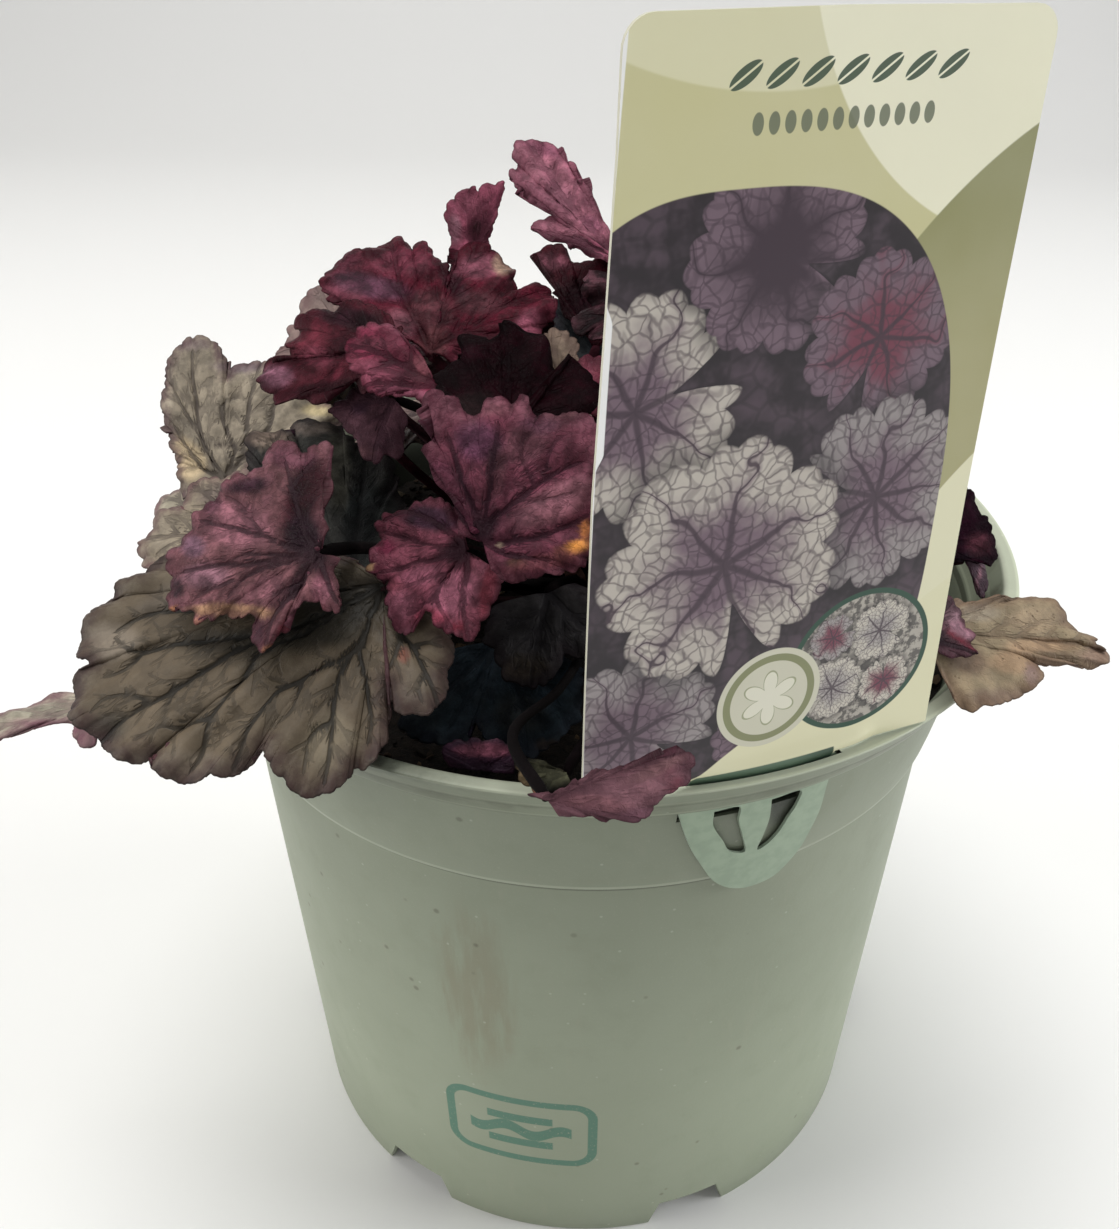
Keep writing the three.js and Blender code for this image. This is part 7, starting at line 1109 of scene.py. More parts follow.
def vein_distance(uv, lines):
    """For each place: signed and plain distance to the nearest vein, that vein's weight there (1 main to 0.2 twig)."""
    A, B, W0, W1 = [], [], [], []
    for rank, P in lines:
        A.append(P[:-1]); B.append(P[1:])
        t = np.linspace(0, 1, len(P))
        w = (1.0, 0.55, 0.30)[rank] * (1 - (0.62, 0.5, 0.45)[rank] * t)
        W0.append(w[:-1]); W1.append(w[1:])
    A, B, W0, W1 = np.vstack(A), np.vstack(B), np.concatenate(W0), np.concatenate(W1)
    AB = B - A
    L2 = np.maximum((AB ** 2).sum(1), 1e-9)
    sd, ud, wt, md = (np.empty(len(uv)) for _ in range(4))
    main = W0 > 0.36
    for i in range(0, len(uv), 600):
        q = uv[i:i + 600]
        d = q[:, None] - A[None]
        t = np.clip((d * AB[None]).sum(-1) / L2, 0, 1)
        e = d - t[..., None] * AB[None]
        D = np.sqrt((e ** 2).sum(-1))
        w = W0 + (W1 - W0) * t
        k = np.argmin(D - 0.25 * w, axis=1)
        j = np.arange(len(q))
        ud[i:i + 600] = D[j, k]
        wt[i:i + 600] = w[j, k]
        sd[i:i + 600] = D[j, k] * np.sign(AB[k, 0] * d[j, k, 1] - AB[k, 1] * d[j, k, 0] + 1e-12)
        md[i:i + 600] = (D[:, main] + 3.0 * (1 - w[:, main])).min(1)
    return sd, ud, wt, md


def build_leaf(row, mats):
    name = row[0]
    g = leaf_grid(row, 0)
    kind = RECAST.get(g["number"], row[1])
    upper, vein, margin, under, vs, ms, shine = KINDS[kind]
    r = np.random.default_rng(500 + g["number"])
    base, tris, rr = g["base"], g["tris"], g["rr"]
    n = g["n"]
    N = vertex_normals(base, tris)
    if (N @ n).sum() < 0:
        tris = tris[:, ::-1]
        N = -N
    scale = min(1.0, g["mean"] / 22)
    lines = vein_net(g, to_view(base), r)
    sd, ud, wt, md = vein_distance(g["uv"], lines)
    inner = smoothstep(rr, 0.02, 0.12)
    valley = {"tan": 0.22, "palepink": 0.4, "rimpink": 0.45}.get(kind, 0.8) * wt ** 1.5 * np.exp(-(ud / (0.85 + 0.5 * wt)) ** 2) * (1 - 0.35 * rr)
    puff = PUFF.get(kind, 0.5) * (0.6 * smoothstep(md, 0.3, 3.6) + 0.4 * smoothstep(ud, 0.0, 2.6)) * inner
    rise = (puff - valley) * scale * smoothstep(g["em"], 0.0, 2.2)
    rise += (0.75 if "p" in kind[:1] or "m" in kind[:1] else 0.42) * wobble(g["uv"], g["number"], 0.40) * scale * inner + 0.16 * wobble(g["uv"], g["number"] + 50, 1.3) * inner
    amp = (1.0 if g["made"] else 0.75) * scale
    wave = 9.0 + 3 * r.random()
    ruffle = np.sin(2 * np.pi * g["arc"] / wave + r.uniform(0, 6) + 1.3 * np.sin(g["arc"] * 0.13))
    rise += amp * ruffle * rr ** 3 - 0.35 * rr ** 8
    mid = base + N * rise[:, None]
    N = vertex_normals(mid, tris)
    th = 0.44 - 0.2 * rr ** 6
    top = mid + N * (th / 2)[:, None]
    rib = 0.5 * wt * np.exp(-(ud / 0.45) ** 2) * (1 - 0.5 * rr)
    bottom = mid - N * (th / 2 + rib * scale)[:, None]
    m = len(mid)
    verts = np.vstack([top, bottom])
    faces = [tris, tris[:, ::-1] + m]
    lo = g["loop"]
    a, b = lo, np.roll(lo, -1)
    # the wall's direction follows the upper face's own edges
    edges = {(int(p), int(q)) for t in tris for p, q in ((t[0], t[1]), (t[1], t[2]), (t[2], t[0]))}
    if (int(a[5]), int(b[5])) in edges:
        wall = [np.stack([b, a, a + m], -1), np.stack([b, a + m, b + m], -1)]
    else:
        wall = [np.stack([a, b, a + m], -1), np.stack([b, b + m, a + m], -1)]
    faces += wall
    side = np.r_[np.ones(m), np.zeros(m)]
    v1 = np.tile(np.stack([sd, ud, wt], -1), (2, 1))
    bloom_highlight_share = np.ones(2 * m)
    v2 = np.tile(np.stack([g["uv"][:, 0], g["uv"][:, 1], rr], -1), (2, 1))
    v3 = np.stack([side, np.zeros(2 * m), np.full(2 * m, float(g["number"]))], -1)
    view = to_view(verts)
    gain, share = TINTS.get(g["number"], ((0.58, 0.52, 0.54), 1.2))
    tint = np.where(side[:, None] > 0.5, lin(upper), lin(under)) * LEVEL
    tone = 1 + 0.10 * wobble(view, 40 + g["number"], 0.02)
    tint = tint * tone[:, None]
    # the painted places lay in the leaves' own marks, and also painted shade in hollows and under overlapping leaves
    # and painted highlights on lit lobes
    for (px, py, rx, ry, turn, col, k, *where) in PAINT.get(g["number"], ()):
        c, q = math.cos(math.radians(turn)), math.sin(math.radians(turn))
        dx, dy = view[:, 0] - px, view[:, 1] - py
        e = np.hypot((dx * c + dy * q) / rx, (-dx * q + dy * c) / ry) + 0.16 * wobble(view, int(px + py), 0.09)
        w = k * (1 - smoothstep(e, 0.55, 1.15))
        if not where:
            w = w * side
        deep = 0.42 if max(col) < 80 else 1.0
        tint = tint * (1 - w[:, None]) + lin(col) * deep * share / np.array(gain) * w[:, None]
        bloom_highlight_share = bloom_highlight_share * (1 - w * (0.95 if max(col) < 105 else 0.5))
    v4 = np.c_[np.tile(np.stack([g["em"], md], -1), (2, 1)), bloom_highlight_share]
    # stalk
    path = spline(np.array([[float(x) for x in t.split(",")] for t in row[5].split()]), 2.2)
    path[-1] = path[-1] - n * 1.0
    L = np.r_[0, np.cumsum(np.linalg.norm(np.diff(path, axis=0), axis=1))]
    f = L / L[-1]
    rad = (1.12 - 0.2 * np.sin(np.pi * np.clip(f, 0, 1)) - 0.3 * smoothstep(f, 0.96, 1.0) + 0.3 * (1 - smoothstep(f, 0, 0.07)))
    if g["mean"] < 12:
        rad *= 0.85
    T = np.gradient(path, axis=0)
    T /= np.linalg.norm(T, axis=1, keepdims=True)
    ref = np.array([0.3, 0.9, 0.2])
    A = []
    for t in T:
        ref = ref - t * (ref @ t)
        ref = ref / np.linalg.norm(ref)
        A.append(ref)
    A = np.array(A)
    B = np.cross(T, A)
    K = 8
    th_ = np.arange(K) * 2 * np.pi / K
    flute = 1 + 0.06 * np.cos(3 * th_)
    ring = path[:, None] + rad[:, None, None] * flute[None, :, None] * (A[:, None] * np.cos(th_)[None, :, None] + B[:, None] * np.sin(th_)[None, :, None])
    sv = ring.reshape(-1, 3)
    rows_n = len(path)
    i, k2 = np.meshgrid(np.arange(rows_n - 1), np.arange(K), indexing="ij")
    i, k2 = i.ravel(), k2.ravel()
    q0, q1 = i * K + k2, i * K + (k2 + 1) % K
    q2, q3 = q1 + K, q0 + K
    st = [np.stack([q0, q1, q2], -1), np.stack([q0, q2, q3], -1)]
    start, end = len(sv), len(sv) + 1
    sv = np.vstack([sv, path[:1], path[-1:]])
    kk = np.arange(K)
    st.append(np.stack([np.full(K, start), (kk + 1) % K, kk], -1))
    st.append(np.stack([np.full(K, end), (rows_n - 1) * K + kk, (rows_n - 1) * K + (kk + 1) % K], -1))
    st = np.vstack(st)
    ns = len(sv)
    fs = np.r_[np.repeat(f, K), 0.0, 1.0]
    stalk_low, stalk_high = lin((30, 15, 17)), lin((54, 22, 30))
    # painted shade: these stalks run through the dark inside of the clump and are made near black
    if g["number"] in (3, 5, 9, 11, 12, 13, 18, 19, 20, 21, 22, 23, 38, 39, 40, 46):
        stalk_low, stalk_high = lin((6, 4, 4)), lin((9, 5, 6))
    st_t = (stalk_low[None] * (1 - fs[:, None]) + stalk_high[None] * fs[:, None]) * LEVEL
    verts = np.vstack([verts, sv])
    faces.append(st + 2 * m)
    s1 = np.stack([np.full(ns, 30.0), np.full(ns, 30.0), np.zeros(ns)], -1)
    s4 = np.stack([np.full(ns, 30.0), np.full(ns, 30.0), np.zeros(ns)], -1)
    s2 = np.stack([np.r_[np.tile(th_, rows_n), 0, 0], np.r_[np.repeat(L, K), 0, L[-1]], np.full(ns, 0.5)], -1)
    s3 = np.stack([np.full(ns, 0.5), np.ones(ns), np.full(ns, float(g["number"]))], -1)
    tint = np.vstack([tint, st_t])
    gains = np.tile(np.array(gain), (2 * m, 1)) * (1 - 0.6 * np.tile(g["nick"], 2))[:, None]
    gains = np.vstack([gains, np.ones((ns, 3))])
    ob = make_mesh("heuchera_" + name, verts, np.vstack(faces), [mats[kind]], {
        "tint": np.c_[tint, np.ones(len(tint))], "veins": np.vstack([v1, s1]), "plane": np.vstack([v2, s2]), "sort": np.vstack([v3, s3]), "edge": np.vstack([v4, s4]), "depth": gains})
    return ob


def leaf_material(kind):
    upper, vein, margin, under, vs, ms, shine = KINDS[kind]
    s = Shade("leaf_" + kind)
    s.dims = "2D"
    sd, ud, wt = s.parts(s.attr("veins"))
    x, y, rr = s.parts(s.attr("plane"))
    side, stalk, num = s.parts(s.attr("sort"))
    em, md, bloom_highlight_share = s.parts(s.attr("edge"))
    tint = s.attr("tint", "Color")
    p = s.vec(s.add(x, s.mul(num, 83.7)), s.add(y, s.mul(num, 41.9)))
    n0 = s.noise(p, 0.11, 3, 0.55)
    n1 = s.noise(p, 0.36, 4, 0.6)
    n2 = s.noise(p, 1.5, 4, 0.6)
    calm = CALM.get(kind, 0.8)
    grain = s.noise(p, 7.0, 2, 0.6)
    blade = s.sub(1.0, stalk)
    up_side = s.step(side, 0.4, 0.6)
    # the drawn veins: thin line inside a soft dark band
    width = s.add(0.06, s.mul(wt, 0.42))
    wav = s.mul(s.sub(n2, 0.5), s.add(0.10, s.mul(wt, 0.35 * calm)))
    near = s.most(s.size(s.add(sd, wav)), s.sub(ud, NEAR.get(kind, 0.42)))
    line = s.mul(s.step(near, width, s.add(s.mul(width, 1.6), 0.12), (1.0, 0.0)), s.step(ud, 0.9, 1.4, (1.0, 0.0)))
    line = s.mul(line, s.step(wt, 0.10, 0.60, (TWIG.get(kind, 0.35), 1.0)))
    # the soft dark band along the main veins and the dark heart are partly the leaf's own dark veining, partly painted
    # shade in the vein valleys and the hollow at the junction
    band = s.step(s.add(md, s.mul(s.sub(n1, 0.5), 0.7)), 0.0, BAND.get(kind, 2.4), (1.0, 0.0))
    band = s.mul(band, s.step(rr, 0.25, 1.0, (1.0, 0.35)))
    side_band = s.step(ud, 0.0, s.add(0.25, s.mul(wt, 1.3)), (1.0, 0.0))
    band = s.most(band, s.mul(side_band, SIDE.get(kind, 0.3)))
    heart = s.step(s.add(rr, s.mul(s.sub(n1, 0.5), 0.25)), 0.02, HEART.get(kind, 0.42), (1.0, 0.0))
    warp = s.vmath("ADD", p, s.vmath("SCALE", s.noise(p, 0.8, 2, 0.5, out="Color"), None, scale=1.6))
    third = s.step(s.voronoi(warp, 0.62, "DISTANCE_TO_EDGE"), 0.02, 0.10, (1.0, 0.0))
    net = s.mul(s.mul(third, 0.34 * calm), s.step(n1, 0.35, 0.6, (0.35, 1.0)))
    lines = s.most(s.mul(line, 0.92), s.most(s.mul(band, 0.62), net))
    lines = s.most(lines, s.mul(heart, HEARTK.get(kind, 0.6)))
    lines = s.mul(s.mul(lines, blade), s.blend(up_side, 0.55, 1.0))
    vein_c = s.mix(up_side, lin(under) * 0.6, lin(vein))
    va, vb = VARY.get(kind, (0.40, 0.34))
    vary = s.mul(s.step(n0, 0.32, 0.68, (1 - va, 1 + va)), s.step(n1, 0.32, 0.68, (1 - vb, 1 + vb)))
    c = s.mix(1.0, tint, s.vec(vary, vary, vary), "MULTIPLY")
    fine = s.add(1.0 - 0.28 * calm, s.mul(n2, 0.56 * calm))
    c = s.mix(1.0, c, s.vec(fine, fine, fine), "MULTIPLY")
    # the colour deepens towards the margin
    mg = s.step(s.add(em, s.mul(s.sub(n1, 0.5), 3.0)), 0.0, MARGIN.get(kind, 3.4), (1.0, 0.0))
    mg = s.mul(s.mul(mg, ms), s.mul(blade, up_side))
    c = s.mix(mg, c, lin(margin))
    c = s.mix(s.mul(lines, vs), c, vein_c)
    lip = s.mul(s.mul(s.step(em, 0.05, 0.35, (1.0, 0.0)), 0.55), blade)
    c = s.mix(lip, c, lin(margin) * 0.45)
    if kind == "tan":
        dot = s.mul(s.step(s.voronoi(p, 0.42), 0.045, 0.11, (1.0, 0.0)), s.step(n0, 0.48, 0.56))
        c = s.mix(s.mul(dot, 0.6), c, lin((92, 66, 50)))
    fleck = s.mul(s.mul(s.step(grain, 0.60, 0.74), 0.07), blade)
    c = s.mix(fleck, c, (0.66, 0.58, 0.55, 1))
    # the per-leaf gain carries painted shade and light as well as the leaf's own colour
    c = s.mix(1.0, c, s.attr("depth"), "MULTIPLY")
    # raised cushions between the veins carry a paler bloom, partly the leaf's own silvering, partly a painted highlight
    # on the raised cushions
    cushion_bloom_highlight = s.mul(s.mul(s.step(ud, 0.6, 3.2), s.step(n1, 0.36, 0.68)), s.mul(s.sub(1.0, lines), BLOOM_HIGHLIGHT.get(kind, 0.10)))
    c = s.mix(s.mul(s.mul(s.mul(cushion_bloom_highlight, bloom_highlight_share), up_side), blade), c, lin(PALE.get(kind, (112, 84, 92))))
    height = s.sub(s.mul(n2, 0.5 * calm), s.add(s.mul(line, 0.75), s.mul(net, 0.8)))
    height = s.add(height, s.add(s.mul(grain, 0.06), s.mul(n1, 0.9 * calm)))
    height = s.mul(height, s.sub(s.mul(up_side, 1.6), 0.6))
    normal = s.bump(height, 0.6, 0.0006)
    rough = s.blend(stalk, s.add(shine - 0.05, s.mul(n2, 0.16)), 0.95)
    return s.surface(c, rough, normal, GLOSS.get(kind, 0.12))


NEAR = {"silver": 0.36, "pink": 0.40}
TWIG = {"silver": 0.26, "silver2": 0.3, "pale": 0.3, "pale2": 0.3, "purple": 0.3, "pink": 0.3, "purple_top": 0.06, "purple_lit": 0.15, "purple_back": 0.2, "maroon": 0.1, "maroon2": 0.1}
SIDE = {"silver": 0.24, "purple_top": 0.12, "purple": 0.28, "pink": 0.28}
CALM = {"silver": 0.22, "silver2": 0.25, "pale": 0.3, "pale2": 0.3, "palepink": 0.5, "tan": 0.5, "tan_dark": 0.4, "dark": 0.4, "olive": 0.4}
GLOSS = {"silver": 0.2, "silver2": 0.2, "pale": 0.2, "pale2": 0.2, "palepink": 0.2, "tan": 0.2, "purple": 0.07, "pink": 0.07, "purple_lit": 0.1, "purple_top": 0.06, "rimpink": 0.1,
         "purple_back": 0.08, "maroon": 0.05, "maroon2": 0.02, "dark": 0.04, "olive": 0.04, "brown": 0.05}
VARY = {"rimpink": (0.16, 0.16), "silver": (0.15, 0.05), "silver2": (0.14, 0.20), "pale": (0.14, 0.2), "pale2": (0.14, 0.2), "palepink": (0.2, 0.24), "tan": (0.10, 0.12), "tan_dark": (0.25, 0.3),
        "dark": (0.34, 0.3), "olive": (0.34, 0.3), "purple": (0.36, 0.34), "pink": (0.34, 0.34), "purple_top": (0.42, 0.40)}
BAND = {"rimpink": 0.8, "silver": 3.0, "silver2": 1.6, "pale": 1.2, "pale2": 1.0, "purple": 2.4, "pink": 2.2, "purple_lit": 1.6, "tan": 0.5, "palepink": 1.0}
HEART = {"silver": 0.5, "silver2": 0.2, "pale": 0.25, "purple": 0.36, "pink": 0.34, "tan": 0.2, "palepink": 0.2, "dark": 0.5}
HEARTK = {"silver": 0.75, "silver2": 0.3, "pale": 0.3, "pale2": 0.3, "purple": 0.95, "pink": 0.9, "purple_top": 0.8, "tan": 0.3, "palepink": 0.3}
BLOOM_HIGHLIGHT = {"silver": 0.14, "silver2": 0.2, "pale": 0.2, "pale2": 0.2, "purple": 0.42, "purple_lit": 0.40, "pink": 0.40, "purple_top": 0.34, "purple_back": 0.3, "maroon": 0.2, "maroon2": 0.0, "dark": 0.1, "olive": 0.05}
PALE = {"silver": (146, 140, 124), "silver2": (186, 176, 152), "pale": (184, 174, 156), "pale2": (160, 150, 138), "purple": (128, 84, 96),
        "pink": (134, 86, 100), "purple_lit": (164, 116, 130), "maroon": (96, 58, 66), "dark": (70, 70, 62), "olive": (60, 54, 46),
        "brown": (84, 62, 64), "tan": (190, 160, 128), "tan_dark": (112, 98, 84), "purple_top": (120, 60, 74), "purple_back": (132, 86, 102), "palepink": (196, 176, 166)}
MARGIN = {"silver": 4.2, "silver2": 2.6, "pale": 3.0, "purple": 2.6, "pink": 2.2}


# ------------------------------------------------------------------------ pot
POT_H, RIM_R = 141.5, 85.0
LABEL_DIR = math.radians(-66.1)
LN = np.array([math.cos(LABEL_DIR), math.sin(LABEL_DIR), 0.0])
LT = np.array([-LN[1], LN[0], 0.0])
NOTCHES = [-124, -69.5, 0, 45, 90, 135, 180]


def wall_r(z):
    return 66.9 + (72.2 - 66.9) * z / 110.8


def slot_r(z):
    return 82.6 + 0.467 * (z - POT_H)


def on_label(s, n, z):
    s, n, z = np.broadcast_arrays(np.asarray(s, float), n, z)
    return s[..., None] * LT + n[..., None] * LN + z[..., None] * np.array([0, 0, 1.0])


def pot_profile(th):
    """Profile rows for each angle: arrays (rows, angles) of r and z, from the pad's middle out, up the outside, over the rim and down inside."""
    one = np.ones_like(th)
    dn = np.min([np.abs((th - math.radians(a) + np.pi) % (2 * np.pi) - np.pi) for a in NOTCHES], axis=0)
    zb = np.clip((math.radians(7.75) - dn) / math.radians(1.9), 0, 1) * 6.8
    ld = np.degrees((th - math.radians(-71.4) + np.pi) % (2 * np.pi) - np.pi)
    boss = 1 - smoothstep(np.abs(ld), 10.6, 12.6)
    rows = []

    def row(r, z):
        rows.append((r * one, z * one))

    row(0.0, 0.0); row(8.0, 0.0); row(14.4, 0.0); row(15.0, 0.25); row(17.6, 7.4); row(18.4, 8.0)
    row(30.0, 8.0); row(45.0, 8.0); row(58.0, 8.0); row(64.2, 8.0); row(65.4, 7.6)
    row(65.45, 0 + np.minimum(zb + 0.5, 7.4)); row(65.75, zb); row(66.6, zb)
    row(wall_r(zb + 0.5), zb + 0.5)
    for z in (7.9, 9.2, 12, 20, 35, 50, 65, 80, 95, 104, 108.5):
        row(wall_r(z), z)
    row(72.15, 109.9); row(72.28, 110.5); row(72.6, 110.85); row(73.2, 111.0); row(73.55, 111.3); row(73.72, 111.9)
    for z in (115, 119, 123, 127, 130.3):
        row(73.6 + 4.0 * (z - 110.8) / 21.5, z)
    row(77.45, 131.9); row(77.75, 132.25); row(78.6, 132.3); row(79.25, 132.38); row(79.65, 132.8)
    row(82.2, 137.0); row(84.35, 140.5); row(84.85, 141.2); row(84.7, 141.45); row(84.35, 141.5)
    for f in np.linspace(0, 1, 4):
        row(84.0 + f * (82.45 - 84.0) - 1.5 * boss * f, 141.5)
    row(82.05 - 1.75 * boss, 141.3); row(81.75 - 1.75 * boss, 140.9); row(79.5 - 1.3 * boss, 137.0); row(77.2 - 0.95 * boss, 133.2)
    row(76.35 - 0.8 * boss, 131.6); row(76.1 - 0.5 * boss, 130.5)
    for z in (127, 121, 115):
        row(72.35 + 3.8 * (z - 111.4) / 20.0, z)
    row(72.4, 111.6); row(71.2, 110.6); row(70.7, 109.2)
    for z in (90, 60, 30, 14):
        row(wall_r(z) - 1.4, z)
    row(wall_r(9.6) - 1.5, 10.2); row(wall_r(9.6) - 2.4, 9.4); row(48.0, 9.4); row(24.0, 9.4); row(0.0, 9.4)
    return np.array([r for r, z in rows]), np.array([z for r, z in rows])


def pot_mesh(mat):
    th = set(np.round(np.arange(240) * 1.5 - 180, 3))
    for a in NOTCHES:
        for d in (-7.75, -5.85, 5.85, 7.75, -9.0, 9.0, -3, 0, 3):
            th.add(round((a + d + 180) % 360 - 180, 3))
    th = sorted(th)
    keep = [th[0]]
    for t in th[1:]:
        if t - keep[-1] > 0.25:
            keep.append(t)
    th = np.radians(np.array(keep))
    R, Z = pot_profile(th)
    nr, nt = R.shape
    # the two ends are single points on the axis
    verts = [np.array([[0, 0, Z[0, 0]]])]
    for i in range(1, nr - 1):
        verts.append(np.stack([R[i] * np.cos(th), R[i] * np.sin(th), Z[i]], -1))
    verts.append(np.array([[0, 0, Z[-1, 0]]]))
    verts = np.vstack(verts)
    idx = lambda i, k: 1 + (i - 1) * nt + k
    quads, tris = [], []
    k = np.arange(nt)
    k1 = (k + 1) % nt
    for i in range(1, nr - 2):
        quads.append(np.stack([idx(i, k), idx(i + 1, k), idx(i + 1, k1), idx(i, k1)], -1)[:, ::-1])
    tris.append(np.stack([np.zeros_like(k), idx(1, k1), idx(1, k)], -1))
    last = len(verts) - 1
    tris.append(np.stack([np.full_like(k, last), idx(nr - 2, k), idx(nr - 2, k1)], -1))
    ob = make_mesh("pot_shell", verts, np.vstack(tris), [mat], quads=np.vstack(quads))
    return ob


def curved_slab(name, s_vals, z_vals, place):
    ns, nz = len(s_vals), len(z_vals)
    v = []
    for side in (0, 1):
        for z in z_vals:
            for s in s_vals:
                v.append(place(s, z, side))
    idn = lambda side, j, i: side * ns * nz + j * ns + i
    q = []
    for j in range(nz - 1):
        for i in range(ns - 1):
            q.append((idn(1, j, i), idn(1, j, i + 1), idn(1, j + 1, i + 1), idn(1, j + 1, i)))
            q.append((idn(0, j, i), idn(0, j + 1, i), idn(0, j + 1, i + 1), idn(0, j, i + 1)))
    for i in range(ns - 1):
        q.append((idn(0, 0, i), idn(0, 0, i + 1), idn(1, 0, i + 1), idn(1, 0, i)))
        q.append((idn(0, nz - 1, i), idn(1, nz - 1, i), idn(1, nz - 1, i + 1), idn(0, nz - 1, i + 1)))
    for j in range(nz - 1):
        q.append((idn(0, j, 0), idn(1, j, 0), idn(1, j + 1, 0), idn(0, j + 1, 0)))
        q.append((idn(0, j, ns - 1), idn(0, j + 1, ns - 1), idn(1, j + 1, ns - 1), idn(1, j, ns - 1)))
    return make_mesh(name, np.array(v), None, [], quads=np.array(q))


def cut(ob, cutters):
    for c in cutters:
        m = ob.modifiers.new("cut", "BOOLEAN")
        m.operation, m.solver, m.object = "DIFFERENCE", "EXACT", c
        c.hide_render = True
    bpy.context.view_layer.update()
    dg = bpy.context.evaluated_depsgraph_get()
    me = bpy.data.meshes.new_from_object(ob.evaluated_get(dg), depsgraph=dg)
    ob.modifiers.clear()
    old = ob.data
    ob.data = me
    bpy.data.meshes.remove(old)
    for c in cutters:
        d = c.data
        bpy.data.objects.remove(c)
        bpy.data.meshes.remove(d)
    return ob


def build_pot(mat):
    ob = pot_mesh(mat)
    cone = lambda s, r, z: on_label(s, np.sqrt(r * r - s * s), z)

    def slot_s(s, z):
        # the slot's ends follow the label's neck
        if s > 0:
            return s * float(np.interp(z, [137.0, 139.5, POT_H + 1], [1.0, 0.86, 0.58]))
        return -15 + (s + 15) * 0.56 if s < -15 and z <= 136 else s

    slot = curved_slab("slot_cutter", np.linspace(-20.0, 9.3, 20), np.array([128.5, 132.0, 137, 139.5, POT_H + 1]),
                       lambda s, z, side: cone(slot_s(s, z), slot_r(z) + (0.66 if side else -0.66), z))
    cutters = [slot]
    for a in NOTCHES:
        t = np.radians(a)
        k = np.arange(20) * 2 * np.pi / 20
        v = np.vstack([np.stack([56 * math.cos(t) + 4 * np.cos(k), 56 * math.sin(t) + 4 * np.sin(k), np.full(20, z)], -1) for z in (6.5, 11.0)])
        q = [(i, (i + 1) % 20, 20 + (i + 1) % 20, 20 + i) for i in range(20)]
        tr = [(0, i + 1, i) for i in range(1, 19)] + [(20, 20 + i, 20 + i + 1) for i in range(1, 19)]
        cutters.append(make_mesh("drain_cutter_%d" % a, v, np.array(tr), [], quads=np.array(q)))
    cut(ob, cutters)
    me = ob.data
    me.polygons.foreach_set("use_smooth", np.ones(len(me.polygons), bool))
    me.set_sharp_from_angle(angle=math.radians(38))
    return ob


